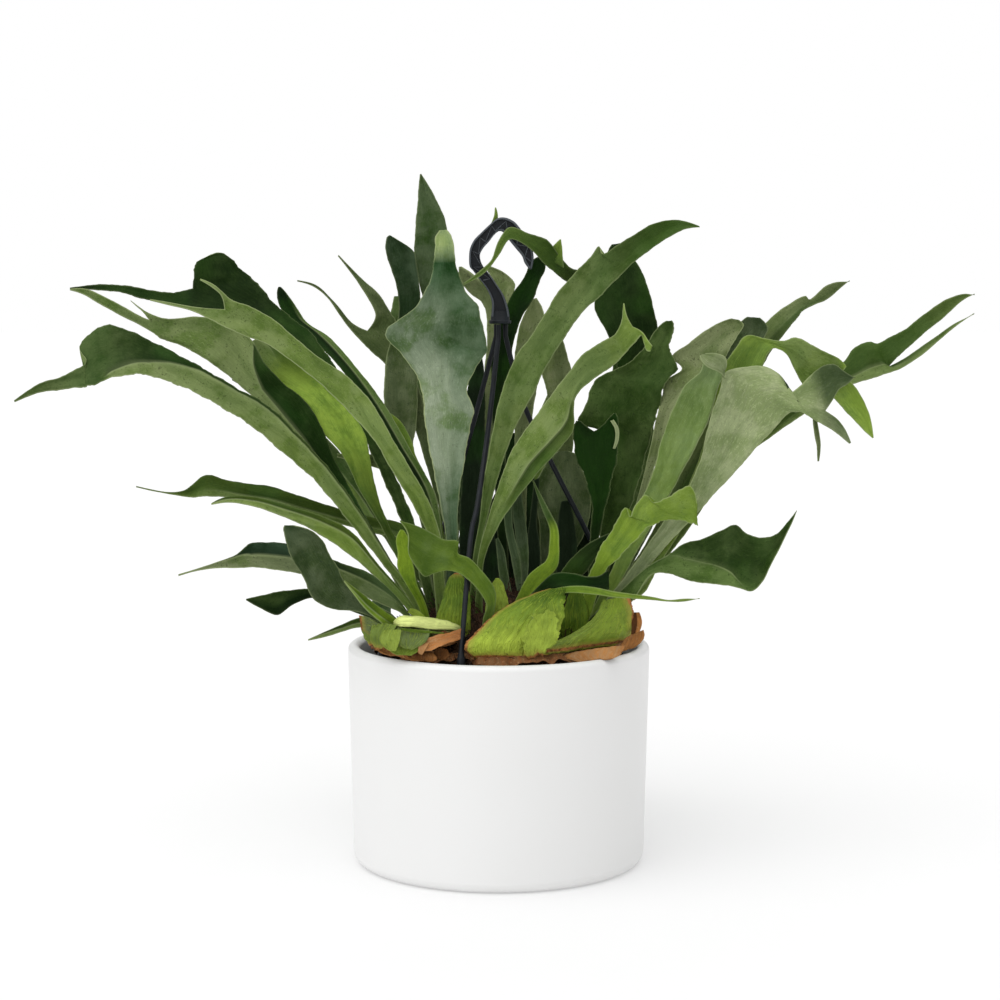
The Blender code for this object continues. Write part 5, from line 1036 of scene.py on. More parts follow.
def slopes(keys: np.ndarray, stations: np.ndarray) -> np.ndarray:
    """The slope of a smooth curve at each of its keys, held back where a margin barely moves.

    Args:
        keys: one row of numbers for each key: two margins, depth and tilt.
        stations: how far along each key lies.

    Returns:
        One row of slopes for each key.
    """
    steps = np.diff(stations)[:, None]
    climb = np.diff(keys, axis=0) / steps
    if len(keys) == 2:
        return np.vstack([climb, climb])
    inner = (steps[1:] * climb[:-1] + steps[:-1] * climb[1:]) / (steps[1:] + steps[:-1])
    for pair in (slice(0, 2), slice(2, 4), slice(4, 5), slice(5, 6)):
        pace = np.linalg.norm(climb[:, pair], axis=1)
        slow = PACE_LIMIT * np.minimum(pace[:-1], pace[1:])
        speed = np.linalg.norm(inner[:, pair], axis=1)
        inner[:, pair] *= np.minimum(1, slow / np.maximum(speed, 1e-9))[:, None]
    first = 1.5 * climb[:1] - 0.5 * inner[:1]
    last = 1.5 * climb[-1:] - 0.5 * inner[-1:]
    return np.vstack([first, inner, last])


def drawn_through(keys: np.ndarray, slope: np.ndarray, stations: np.ndarray, at: np.ndarray) -> np.ndarray:
    """A smooth curve through keys.

    Args:
        keys: one row of numbers for each key.
        slope: the curve's slope at each key.
        stations: how far along each key lies.
        at: the places to give the curve at.

    Returns:
        One row of numbers for each place.
    """
    span = np.clip(np.searchsorted(stations, at, side="right") - 1, 0, len(stations) - 2)
    reach = (stations[span + 1] - stations[span])[:, None]
    t = (at - stations[span])[:, None] / reach
    start, end = keys[span], keys[span + 1]
    lift = (2 * t ** 3 - 3 * t ** 2 + 1) * start + (3 * t ** 2 - 2 * t ** 3) * end
    return lift + reach * ((t ** 3 - 2 * t ** 2 + t) * slope[span] + (t ** 3 - t ** 2) * slope[span + 1])


def smooth_step(value: np.ndarray, low: float, high: float) -> np.ndarray:
    """A smooth rise from 0 at low to 1 at high."""
    t = np.clip((value - low) / (high - low), 0, 1)
    return t * t * (3 - 2 * t)


@dataclass
class Fork:
    """Where a lobe leaves the strip that it grows from."""

    row: np.ndarray
    slope: np.ndarray
    depth: np.ndarray
    line: list[int]
    outer: Side
    low: float
    high: float
    along: float
    number: float


@dataclass(frozen=True)
class Grid:
    """How finely a blade is drawn: its columns, the mm between its lines, and its hollow as a share of its width."""

    columns: int = 16
    channel: float = 0.12
    step: float = 2.4


@dataclass
class BladeSheet:
    """The dense near surface of a blade, gathered strip by strip, with what its finish reads."""

    look: Look
    lean: float
    grid: Grid
    seed: int
    soft_split: float = 0.018
    soft_spread: float = 0.14
    sharp_gap: tuple[float, float] = (0.3, 0.6)
    fold_margin: float = 0.06
    crease_width: float = 0.8
    shade_width: float = 7.0
    fork_blend: float = 14.0
    no_hem: float = 60.0
    full_width: float = 30.0
    wave_lengths: tuple[float, float] = (46, 74)
    wave_size: float = 1.5
    wave_rise: tuple[float, float] = (20, 90)
    bite_lengths: tuple[float, float, float] = (23, 9.5, 4.3)
    bite_shares: tuple[float, float, float] = (0.55, 0.35, 0.25)
    bite_width: float = 14.0
    bite_rise: float = 12.0
    end_reach: float = 3.5
    points: list[np.ndarray] = field(default_factory=list)
    pushes: list[np.ndarray] = field(default_factory=list)
    values: dict[str, list[np.ndarray]] = field(default_factory=dict)
    quads: list[tuple[int, int, int, int]] = field(default_factory=list)
    count: int = 0

    def key_rows(self, rows: Sequence[Row]) -> np.ndarray:
        """Rows as an array.

        Args:
            rows: a blade's rows.

        Returns:
            One row each: left u, v, right u, v, depth, tilt.
        """
        keys = []
        for row in rows:
            width = math.hypot(row[2] - row[0], row[3] - row[1])
            tilt = row[5] if len(row) > 5 else self.lean * width
            keys.append((*row[:5], tilt))
        return np.array(keys, float)

    @staticmethod
    def stations(keys: np.ndarray) -> np.ndarray:
        """How far along each key row lies, by the margin that travels farthest.

        Args:
            keys: the key rows.

        Returns:
            The distance of each from the first, in mm.
        """
        move = np.diff(keys, axis=0)
        left = np.hypot(move[:, 0], move[:, 1])
        right = np.hypot(move[:, 2], move[:, 3])
        travel = np.maximum(np.maximum(left, right), np.abs(move[:, 4]))
        return np.concatenate([[0.0], np.cumsum(np.maximum(travel, LEAST_TRAVEL))])

    def places(self, stations: np.ndarray) -> np.ndarray:
        """Even steps along, with every key among them.

        Args:
            stations: how far along each key lies.

        Returns:
            How far along each line lies.
        """
        at = [stations[0]]
        for start, end in zip(stations[:-1], stations[1:]):
            cuts = max(1, math.ceil((end - start) / self.grid.step))
            at.extend(start + (end - start) * (i + 1) / cuts for i in range(cuts))
        return np.array(at)

    def places_across(self, split: np.ndarray, columns: int, even: Union[np.ndarray, float]) -> np.ndarray:
        """Where the columns lie, crowded at the fold so that it is drawn sharply.

        Args:
            split: how far across the fold lies on each line.
            columns: how many columns there are.
            even: how far the columns are spread evenly instead.

        Returns:
            The share of the width at each column, line by line.
        """
        half = columns // 2
        fold = np.clip(split, self.fold_margin, 1 - self.fold_margin)
        left = np.linspace(0, 1, half)[None, :] * (fold - self.soft_split)
        right = 1 - np.linspace(1, 0, half)[None, :] * (1 - fold - self.soft_split)
        crowded = np.concatenate([left, fold, right], axis=1)[:, :columns + 1]
        return crowded * (1 - even) + np.linspace(0, 1, columns + 1)[None, :] * even

    def tone_at(self, number: np.ndarray) -> np.ndarray:
        """Split, left tone, right tone and fold at places along the blade, one row each."""
        row, *columns = self.look.tone_rows().T
        return np.stack([np.interp(number, row, column) for column in columns], axis=-1)

    def grow(self, strip: Strip, fork: Fork | None = None) -> None:
        """Draw a strip, then its lobes.

        Args:
            strip: the rows.
            fork: for a lobe, where it leaves the strip that it grows from.
        """
        keys = self.key_rows(strip.rows)
        if fork:
            keys = np.vstack([fork.row, keys])
        stations = self.stations(keys)
        slope = slopes(keys, stations)
        if fork:
            outer = [0, 1] if fork.outer is Side.LEFT else [2, 3]
            slope[0, outer] = fork.slope[outer]
        elif strip.lobes:
            ahead = np.concatenate([strip.lobes[0].rows[0][:2], strip.lobes[1].rows[0][2:4]]) - keys[-1, :4]
            reach = np.repeat([math.hypot(*ahead[:2]), math.hypot(*ahead[2:])], 2)
            behind = (keys[-1, :4] - keys[-2, :4]) / (stations[-1] - stations[-2])
            slope[-1, :4] = 0.5 * (behind + ahead / reach)
        at = self.places(stations)
        rows = drawn_through(keys, slope, stations, at)
        columns = len(fork.line) - 1 if fork else self.grid.columns
        first = fork.number if fork else 0.0
        number = np.interp(at, stations, first + np.arange(len(stations)))[:, None]
        tones = self.tone_at(number[:, 0])
        split, fold = tones[:, None, 0], tones[:, None, 3]
        even = 1.0 if fork else smooth_step(at, stations[-2], stations[-1])[:, None] if strip.sinus else 0.0
        part = self.places_across(split, columns, even)
        left, right = rows[:, None, 0:2], rows[:, None, 2:4]
        flat = left + (right - left) * part[..., None]
        width = np.linalg.norm(right - left, axis=-1)
        margin = np.minimum(width * part, width * (1 - part))
        if strip.sinus:
            share = smooth_step(at, stations[-2], stations[-1])[:, None]
            half = 1 - np.abs(2 * part - 1)
            centre = (keys[-1, 0:2] + keys[-1, 2:4]) / 2
            flat = flat + (np.array(strip.sinus) - centre) * (share * half)[..., None]
            margin = np.minimum(margin, np.linalg.norm(flat - np.array(strip.sinus), axis=-1))

        low, high = (fork.low, fork.high) if fork else (0.0, 1.0)
        along = (at - stations[0] + (fork.along if fork else 0.0))[:, None] + 0 * part
        number = number + 0 * part
        across = low + (high - low) * part
        hollow = self.grid.channel * np.minimum(width, self.full_width) * (4 * part * (1 - part) - 0.5)
        crease = fold * width * (np.abs(across - split) - 0.25)
        depth = rows[:, None, 4] + rows[:, None, 5] * (part - 0.5) + hollow + crease
        depth = depth + self.swing(along, across, width)
        if fork:
            fade = 1 - smooth_step(at - stations[0], 0, self.fork_blend)[:, None]
            depth = depth + (fork.depth - depth[0])[None, :] * fade

        flat = flat + self.torn(flat, part, at, fork is None, not strip.lobes)
        if self.look.roll:
            angle = np.radians((part - 0.5) * self.look.roll + self.look.turn)
            half_width = (right - left) / 2
            flat = left + half_width * (1 + np.sin(angle)[..., None])
            depth = rows[:, None, 4] - width / 2 * np.cos(angle)
        points = seen(np.concatenate([flat, depth[..., None]], axis=-1))
        push = np.cross(np.gradient(points, axis=1), np.gradient(points, axis=0))
        size = np.linalg.norm(push, axis=-1, keepdims=True)
        push = np.where(size > 1e-12, push / np.maximum(size, 1e-12), np.array([0.0, -1.0, 0.0]))
        gap = np.abs(tones[:, None, 1] - tones[:, None, 2])
        sharp = smooth_step(gap, *self.sharp_gap)
        soft = self.soft_split + self.soft_spread * (1 - sharp)
        mixed = np.clip((across - split) / (2 * soft) + 0.5, 0, 1)
        tone = tones[:, None, 1] * (1 - mixed) + tones[:, None, 2] * mixed
        off = (across - split) * width
        paler = np.where(tones[:, None, 1] > tones[:, None, 2], off, -off)
        fold_line = sharp * (split > 0.02) * (split < 0.98)
        table = {
            "across": across, "along": along, "margin": margin, "tone": tone,
            "crease": fold_line * np.clip(1 - np.abs(off) / self.crease_width, 0, 1),
            "shade": fold_line * np.clip(1 - paler / self.shade_width, 0, 1) * (paler > 0),
            "young": np.interp(number, *zip(*rows_from(self.look.young))),
            "hem": self.hem_distance(width, part, along, number),
        }
        skip = 1 if fork else 0
        lines = self.add_lines(points[skip:], push[skip:], {key: value[skip:] for key, value in table.items()})
        if fork:
            lines.insert(0, fork.line)
        for before, after in zip(lines, lines[1:]):
            self.quads.extend((before[i], before[i + 1], after[i + 1], after[i]) for i in range(columns))
        for lobe, outer in zip(strip.lobes, (Side.LEFT, Side.RIGHT)):
            half = columns // 2
            cut = slice(0, half + 1) if outer is Side.LEFT else slice(half, None)
            start = rows[-1].copy()
            if outer is Side.LEFT:
                start[2:4] = strip.sinus
            else:
                start[0:2] = strip.sinus
            start[4] = depth[-1][cut].mean()
            start[5] = depth[-1][cut][-1] - depth[-1][cut][0]
            middle = (low + high) / 2
            ends = (low, middle) if outer is Side.LEFT else (middle, high)
            self.grow(lobe, Fork(start, slope[-1], depth[-1][cut], lines[-1][cut], outer, *ends,
                                 float(along[-1, 0]), float(number[-1, 0])))

    def swing(self, along: np.ndarray, across: np.ndarray, width: np.ndarray) -> np.ndarray:
        """How far the margins wave toward and away from the viewer.

        Args:
            along: how far along each point lies, in mm.
            across: the share of the width at each point.
            width: the blade's width there, in mm.

        Returns:
            The depth to add at each point, in mm.
        """
        draw = np.random.default_rng(self.seed)
        reach = draw.uniform(*self.wave_lengths, 2)
        phase = draw.uniform(0, math.tau, 2)
        side = (across > 0.5).astype(int)
        ripple = np.sin(along / reach[side] * math.tau + phase[side])
        wide = np.clip(width / self.full_width, 0, 1.2)
        size = self.look.wave * self.wave_size * wide * smooth_step(along, *self.wave_rise)
        return size * np.abs(2 * across - 1) ** 2.2 * ripple

    def torn(self, flat: np.ndarray, part: np.ndarray, at: np.ndarray, base: bool, tip: bool) -> np.ndarray:
        """How far torn margins lie off their smooth line, in mm.

        Args:
            flat: the points' u and v.
            part: how far across each column lies.
            at: how far along each line lies.
            base: whether the first line is a free margin.
            tip: whether the last line is one.

        Returns:
            An offset in u and v for each point.
        """
        if not self.look.ragged:
            return np.zeros_like(flat)
        draw = np.random.default_rng(self.seed + 7)
        phase = draw.uniform(0, math.tau, 9)
        reach = self.look.ragged

        def bites(place: np.ndarray, first: int) -> np.ndarray:
            """Three waves of different lengths, at places in mm, their phases counted from the first."""
            return sum(np.sin(place * math.tau / length + phase[first + i]) * share
                       for i, (length, share) in enumerate(zip(self.bite_lengths, self.bite_shares)))

        across = flat[:, -1:] - flat[:, :1]
        across = across / np.maximum(np.linalg.norm(across, axis=-1, keepdims=True), 1e-6)
        side = np.where(part < 0.5, bites(at, 0)[:, None], bites(at, 3)[:, None])
        wide = np.linalg.norm(flat[:, -1:] - flat[:, :1], axis=-1)
        size = reach * np.clip(wide / self.bite_width, 0, 1) * smooth_step(at, at[0], at[0] + self.bite_rise)[:, None]
        offset = across * (size * side * np.abs(2 * part - 1) ** 4)[..., None]
        ahead = np.gradient(flat, at, axis=0)
        ahead = ahead / np.maximum(np.linalg.norm(ahead, axis=-1, keepdims=True), 1e-6)
        span = np.linalg.norm(flat - flat[:, :1], axis=-1)
        near = self.end_reach * reach
        ends = np.zeros_like(part + at[:, None])
        if base and self.look.hems:
            ends = ends + np.exp(-(at - at[0]) / near)[:, None]
        if tip:
            ends = ends + np.exp(-(at[-1] - at) / near)[:, None]
        return offset + ahead * (reach * ends * np.clip(wide / self.bite_width, 0, 1) * bites(span, 6))[..., None]

    def hem_distance(self, width: np.ndarray, part: np.ndarray, along: np.ndarray,
                     number: np.ndarray) -> np.ndarray:
        """The distance to the nearest margin that carries a dry hem.

        Args:
            width: the blade's width at each line, in mm.
            part: the share of the width at each point.
            along: how far along each point lies, in mm.
            number: the row number at each point.

        Returns:
            The distance at each point, in mm.
        """
        base = np.interp(self.look.hem_row, number[:, 0], along[:, 0])
        edges = {
            Side.LEFT: width * part, Side.RIGHT: width * (1 - part),
            Side.BASE: np.abs(along - base), Side.TIP: along[-1, 0] - along,
        }
        reach = 0 * along + self.no_hem
        for side in self.look.hems:
            reach = np.minimum(reach, edges[side])
        return reach

    def add_lines(self, points: np.ndarray, push: np.ndarray, table: dict[str, np.ndarray]) -> list[list[int]]:
        """Keep the points of some lines.

        Args:
            points: lines of points.
            push: the unit direction toward the viewer at each.
            table: the values that the finish reads at each.

        Returns:
            The points' numbers, line by line.
        """
        wide = points.shape[1]
        self.points.append(points.reshape(-1, 3))
        self.pushes.append(push.reshape(-1, 3))
        for key, value in table.items():
            self.values.setdefault(key, []).append(value.reshape(-1))
        lines = [[self.count + row * wide + i for i in range(wide)] for row in range(len(points))]
        self.count += len(points) * wide
        return lines


@dataclass
class BladeBody:
    """Closed blades with two faces, made from one or more sheets."""

    thickness: float = 0.00095
    edge: float = 0.00022
    swell: float = 1.6
    points: list[np.ndarray] = field(default_factory=list)
    values: dict[str, list[np.ndarray]] = field(default_factory=dict)
    faces: list[tuple[int, ...]] = field(default_factory=list)
    count: int = 0

    def add(self, sheet: BladeSheet) -> None:
        """Give a sheet its thickness and keep both of its faces.

        Args:
            sheet: the near surface.
        """
        points = np.vstack(sheet.points)
        push = np.vstack(sheet.pushes)
        table = {key: np.concatenate(value) for key, value in sheet.values.items()}
        full = np.sqrt(1 - (1 - np.clip(table["margin"] / self.swell, 0, 1)) ** 2)
        half = (self.edge + (self.thickness - self.edge) * full)[:, None] / 2
        number = len(points)
        self.points += [points + push * half, points - push * half]
        turned = np.clip(0.95 - table["tone"], 0.05, 0.9)
        far = dict(table, tone=turned if sheet.look.back is None else np.full(number, sheet.look.back))
        for key in table:
            self.values.setdefault(key, []).extend([table[key], far[key]])
        self.values.setdefault("push", []).extend([push, push])
        near = [tuple(self.count + i for i in quad) for quad in sheet.quads]
        edges = {edge for quad in near for edge in zip(quad, quad[1:] + quad[:1])}
        rim = sorted((a, b) for a, b in edges if (b, a) not in edges)
        self.faces += near
        self.faces += [tuple(i + number for i in reversed(quad)) for quad in near]
        self.faces += [(b, a, a + number, b + number) for a, b in rim]
        self.count += 2 * number

    def mesh(self, name: str) -> bpy.types.Mesh:
        """The blades' mesh, with its values at each point.

        Args:
            name: the mesh's name.

        Returns:
            The mesh.
        """
        made = bpy.data.meshes.new(name)
        made.from_pydata(np.vstack(self.points).tolist(), [], self.faces)
        for key, value in self.values.items():
            kind = 'FLOAT_VECTOR' if key == "push" else 'FLOAT'
            stored = made.attributes.new(key, kind, 'POINT')
            joined = np.vstack(value) if key == "push" else np.concatenate(value)
            stored.data.foreach_set("vector" if key == "push" else "value", joined.astype(np.float32).ravel())
        made.shade_smooth()
        return made


class Recipe(NodeTree):
    """A Geometry Nodes tree with named inputs for its sizes."""

    def __init__(self, name: str, sizes: dict[str, float]) -> None:
        """Start the tree.

        Args:
            name: the tree's name.
            sizes: its inputs and their usual values.
        """
        super().__init__(bpy.data.node_groups.new(name, 'GeometryNodeTree'))
        sockets = self.tree.interface
        sockets.new_socket("Geometry", in_out='OUTPUT', socket_type='NodeSocketGeometry')
        sockets.new_socket("Geometry", in_out='INPUT', socket_type='NodeSocketGeometry')
        for key, value in sizes.items():
            sockets.new_socket(key, in_out='INPUT', socket_type='NodeSocketFloat').default_value = value
        sockets.new_socket("Finish", in_out='INPUT', socket_type='NodeSocketMaterial')
        self.given = self.tree.nodes.new("NodeGroupInput")

    def size(self, name: str) -> Wire:
        """One of the named inputs."""
        return Wire(self, self.given.outputs[name])

    def number(self, name: str) -> Wire:
        """A number that the mesh carries at each point."""
        return self.node("GeometryNodeInputNamedAttribute", {"data_type": 'FLOAT'}, {"Name": name}, "Attribute")

    def vector(self, name: str) -> Wire:
        """A vector that the mesh carries at each point."""
        settings = {"data_type": 'FLOAT_VECTOR'}
        return self.node("GeometryNodeInputNamedAttribute", settings, {"Name": name}, "Attribute")

    def scaled(self, vector: Wire, share: Value) -> Wire:
        """A vector times a number."""
        return self.node("ShaderNodeVectorMath", {"operation": 'SCALE'}, {0: vector, "Scale": share})

    def close(self, geometry: Wire) -> None:
        """End the tree: instances made real and the finish set.

        Args:
            geometry: what the tree has made.
        """
        real = self.node("GeometryNodeRealizeInstances", inputs={0: geometry})
        dressed = self.node("GeometryNodeSetMaterial", inputs={"Geometry": real, "Material": self.size("Finish")})
        self.tree.links.new(dressed.socket, self.tree.nodes.new("NodeGroupOutput").inputs[0])

    def carry_out(self, item: bpy.types.Object, finish: bpy.types.Material, **sizes: float) -> None:
        """Run the tree on an object and keep the result as its plain mesh.

        Args:
            item: the object, whose mesh goes in and is replaced.
            finish: the material to set.
            sizes: inputs that differ from their usual values, by name.
        """
        modifier = item.modifiers.new("recipe", 'NODES')
        modifier.node_group = self.tree
        for socket in self.tree.interface.items_tree:
            if socket.in_out == 'INPUT' and socket.name in sizes:
                modifier[socket.identifier] = float(sizes[socket.name])
            elif socket.name == "Finish":
                modifier[socket.identifier] = finish
        seen_by = bpy.context.evaluated_depsgraph_get()
        mesh = bpy.data.meshes.new_from_object(item.evaluated_get(seen_by))
        item.modifiers.clear()
        mesh.name = item.name
        item.data = mesh


def raised_veins() -> Recipe:
    """The recipe that lifts a blade's veins and rumples its surface a little.

    Returns:
        The recipe.
    """
    recipe = Recipe("raised_veins", {"Veins": 6.0, "Height": 0.00022, "Rumple": 0.0009, "Shift": 0.0})
    place = recipe.node("GeometryNodeInputPosition")
    shift = recipe.node("ShaderNodeVectorMath", {"operation": 'ADD'}, {
        0: place, 1: recipe.node("ShaderNodeCombineXYZ", inputs={0: recipe.size("Shift"), 1: 0.0, 2: 0.0})})
    wander = recipe.noise(shift, 26.0)
    phase = recipe.number("across") * recipe.size("Veins") + (wander - 0.5) * 1.4
    off_vein = abs(recipe.node("ShaderNodeMath", {"operation": 'FRACT'}, {0: phase}) - 0.5)
    ridge = off_vein.between(0.34, 0.02) * recipe.number("margin").between(0.8, 3.5)
    lift = ridge * recipe.size("Height") + (recipe.noise(shift, 75.0, 3.0) - 0.5) * recipe.size("Rumple")
    moved = recipe.node("GeometryNodeSetPosition", inputs={
        "Geometry": recipe.size("Geometry"), "Offset": recipe.scaled(recipe.vector("push"), lift)})
    recipe.close(moved)
    return recipe


def swept_round() -> Recipe:
    """The recipe that runs a round section along an edge path, its radius from each point.

    Returns:
        The recipe.
    """
    recipe = Recipe("swept_round", {"Sides": 14.0})
    path = recipe.node("GeometryNodeMeshToCurve", inputs={"Mesh": recipe.size("Geometry")})
    section = recipe.node("GeometryNodeCurvePrimitiveCircle", inputs={
        "Resolution": recipe.size("Sides"), "Radius": 1.0})
    swept = recipe.node("GeometryNodeCurveToMesh", inputs={
        "Curve": path, "Profile Curve": section, "Scale": recipe.number("girth"), "Fill Caps": True})
    recipe.close(swept)
    return recipe


def sprinkled_fibres() -> Recipe:
    """The recipe that sprinkles short bent fibres over a surface.

    Returns:
        The recipe.
    """
    recipe = Recipe("sprinkled_fibres", {
        "Density": 60000.0, "Length": 0.009, "Girth": 0.00022, "Lean": 1.1, "Seed": 3.0})
    points = recipe.node("GeometryNodeDistributePointsOnFaces", inputs={
        "Mesh": recipe.size("Geometry"), "Density": recipe.size("Density"), "Seed": recipe.size("Seed")})
    normal = Wire(recipe, points.socket.node.outputs["Normal"])
    stem = recipe.node("GeometryNodeCurveQuadraticBezier", inputs={
        "Resolution": 3, "Start": (0.0, 0.0, -0.15), "Middle": (0.0, 0.0, 0.55), "End": (0.45, 0.0, 0.9)})
    section = recipe.node("GeometryNodeCurvePrimitiveCircle", inputs={"Resolution": 3, "Radius": 1.0})
    fibre = recipe.node("GeometryNodeCurveToMesh", inputs={
        "Curve": stem, "Profile Curve": section, "Scale": recipe.size("Girth") / recipe.size("Length"),
        "Fill Caps": True})
    upright = recipe.node("FunctionNodeAlignRotationToVector", {"axis": 'Z'}, {"Vector": normal})
    swing = recipe.node("FunctionNodeRandomValue", {"data_type": 'FLOAT_VECTOR'}, {
        0: (-1.0, -1.0, -3.1), 1: (1.0, 1.0, 3.1), "Seed": recipe.size("Seed")})
    turn = recipe.node("FunctionNodeEulerToRotation", inputs={0: recipe.scaled(swing, recipe.size("Lean"))})
    facing = recipe.node("FunctionNodeRotateRotation", {"rotation_space": 'LOCAL'}, {
        "Rotation": upright, "Rotate By": turn})
    size = recipe.node("FunctionNodeRandomValue", {"data_type": 'FLOAT'}, {
        2: 0.45, 3: 1.3, "Seed": recipe.size("Seed") + 5.0}, 1)
    laid = recipe.node("GeometryNodeInstanceOnPoints", inputs={
        "Points": points, "Instance": fibre, "Rotation": facing, "Scale": size * recipe.size("Length")})
    recipe.close(laid)
    return recipe


class Shop:
    """The shared finishes and recipes, and the one way to put a finished piece on the object."""

    def __init__(self) -> None:
        """Build every finish and recipe once."""
        self.finishes = {finish.name: finish.build() for finish in FINISHES}
        self.veins = raised_veins()
        self.sweep = swept_round()
        self.fibres = sprinkled_fibres()
        self.slots = {row["node"]: row["material_slot"] for row in frame["record"]["subparts"]}

    def new(self, name: str, mesh: bpy.types.Mesh) -> bpy.types.Object:
        """Put an object in the scene.

        Args:
            name: its name.
            mesh: its mesh.

        Returns:
            The object.
        """
        item = bpy.data.objects.new(name, mesh)
        bpy.context.scene.collection.objects.link(item)
        return item

    def dress(self, item: bpy.types.Object, finish: str) -> None:
        """Give an object one finish."""
        item.data.materials.clear()
        item.data.materials.append(self.finishes[finish])

    def keep_node(self, node: str, finish: str) -> None:
        """Dress a solid of the frame whose shape is right as it is.

        Args:
            node: the solid.
            finish: the finish's name.
        """
        item = frame["nodes"][node]
        for slot in item.material_slots:
            slot.material = self.finishes[finish]
        LOG.info("%s: frame solid dressed with %s", node, finish)

    def put(self, item: bpy.types.Object, node: str, stands_for: bool = True) -> None:
        """Let a piece ride on the object's body and, where it stands for a node, hide that node.

        Args:
            item: the finished piece.
            node: the solid that it belongs to.
            stands_for: whether the piece takes the solid's place.
        """
        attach(item, BODY)
        if stands_for:
            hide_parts(node)
        LOG.info("%s: %d faces, for %s", item.name, len(item.data.polygons), node)


def seed_of(name: str) -> int:
    """A fixed number for a name."""
    return sum((place + 3) * ord(letter) for place, letter in enumerate(name))


FINISHES = (
    LeafFinish("green"),
    LeafFinish("smooth", under=(0.225, 0.305, 0.138), specks=0.2, clouds=0.45),
    # deep: darker than green, partly the blades' own dark colour and partly painted shade for blades that lie in
    # shadow
    LeafFinish("deep", upper=(0.002, 0.012, 0.0005), glow=(0.012, 0.056, 0.002), under=(0.165, 0.250, 0.070),
               felt=(0.040, 0.088, 0.018), felt_share=0.10),
    LeafFinish("blue", upper=(0.007, 0.024, 0.006), under=(0.195, 0.232, 0.108), glow=(0.018, 0.046, 0.020),
               felt=(0.075, 0.124, 0.074), felt_share=0.26),
    LeafFinish("olive", upper=(0.013, 0.030, 0.005), under=(0.260, 0.300, 0.140), clouds=0.45,
               felt=(0.100, 0.145, 0.060)),
    LeafFinish("straw", upper=(0.016, 0.036, 0.010), under=(0.360, 0.415, 0.215), felt=(0.075, 0.120, 0.070),
               veins=16.0, vein_depth=0.35, specks=0.30, clouds=0.38),
    LeafFinish("felted", felt=(0.070, 0.105, 0.060), felt_share=0.75, veins=30.0),
    LeafFinish("frosted", upper=(0.007, 0.040, 0.004), glow=(0.020, 0.095, 0.022), under=(0.330, 0.390, 0.270),
               young=(0.380, 0.480, 0.170), felt=(0.070, 0.135, 0.065), felt_share=0.40,
               vein_depth=0.2, specks=0.35, edge=0.95),
    LeafFinish("bright", upper=(0.022, 0.058, 0.006), felt=(0.095, 0.150, 0.050), young=(0.235, 0.350, 0.026),
               felt_share=0.35, rough=0.45),
    LeafFinish("stalk", upper=(0.010, 0.020, 0.008), under=(0.100, 0.140, 0.070), felt=(0.030, 0.048, 0.024),
               rim=(0.160, 0.210, 0.100), specks=0.0),
    ShieldFinish("shield"),
    ShieldFinish("pale_shield", deep=(0.420, 0.500, 0.120), bright=(0.800, 0.890, 0.300)),
    DryFinish("dry"),
    DryFinish("dry_light", light=(0.520, 0.195, 0.048), dark=(0.170, 0.055, 0.015)),
    DryFinish("dry_rim", light=(0.220, 0.082, 0.027), dark=(0.032, 0.012, 0.005)),
    # fibre: darker than the plain fibre colour, partly painted shade for the crown's depths between the blades
    FibreFinish("fibre", light=(0.070, 0.036, 0.018), dark=(0.012, 0.008, 0.005)),
    FibreFinish("bark", light=(0.085, 0.048, 0.026), dark=(0.012, 0.007, 0.005), scale=95.0),
    MouldedFinish("hanger_black"),
    # the ribs lighter than the hook's black: painted highlight on the raised ribs
    MouldedFinish("hanger_ribs_highlight", shade=(0.080, 0.090, 0.100), specular=0.35),
    MouldedFinish("basket_black", shade=(0.012, 0.012, 0.012), rough=0.5),
    GlazeFinish("white_glaze"),
    StageFinish("studio_floor"),
)


def mesh_from(shape: bmesh.types.BMesh, name: str, smooth: bool = False) -> bpy.types.Mesh:
    """Turn a shape into a mesh and free the shape.

    Args:
        shape: the shape.
        name: the mesh's name.
        smooth: whether its faces are shaded smooth.

    Returns:
        The mesh.
    """
    mesh = bpy.data.meshes.new(name)
    shape.to_mesh(mesh)
    shape.free()
    if smooth:
        mesh.shade_smooth()
    return mesh


def skin(shape: bmesh.types.BMesh, rings: Sequence[Sequence[bmesh.types.BMVert]]) -> None:
    """Join rings of points with faces.

    Args:
        shape: the shape that holds the points.
        rings: closed rings, each of as many points.
    """
    for low, high in zip(rings, rings[1:]):
        for i in range(len(low)):
            j = (i + 1) % len(low)
            shape.faces.new((low[i], low[j], high[j], high[i]))


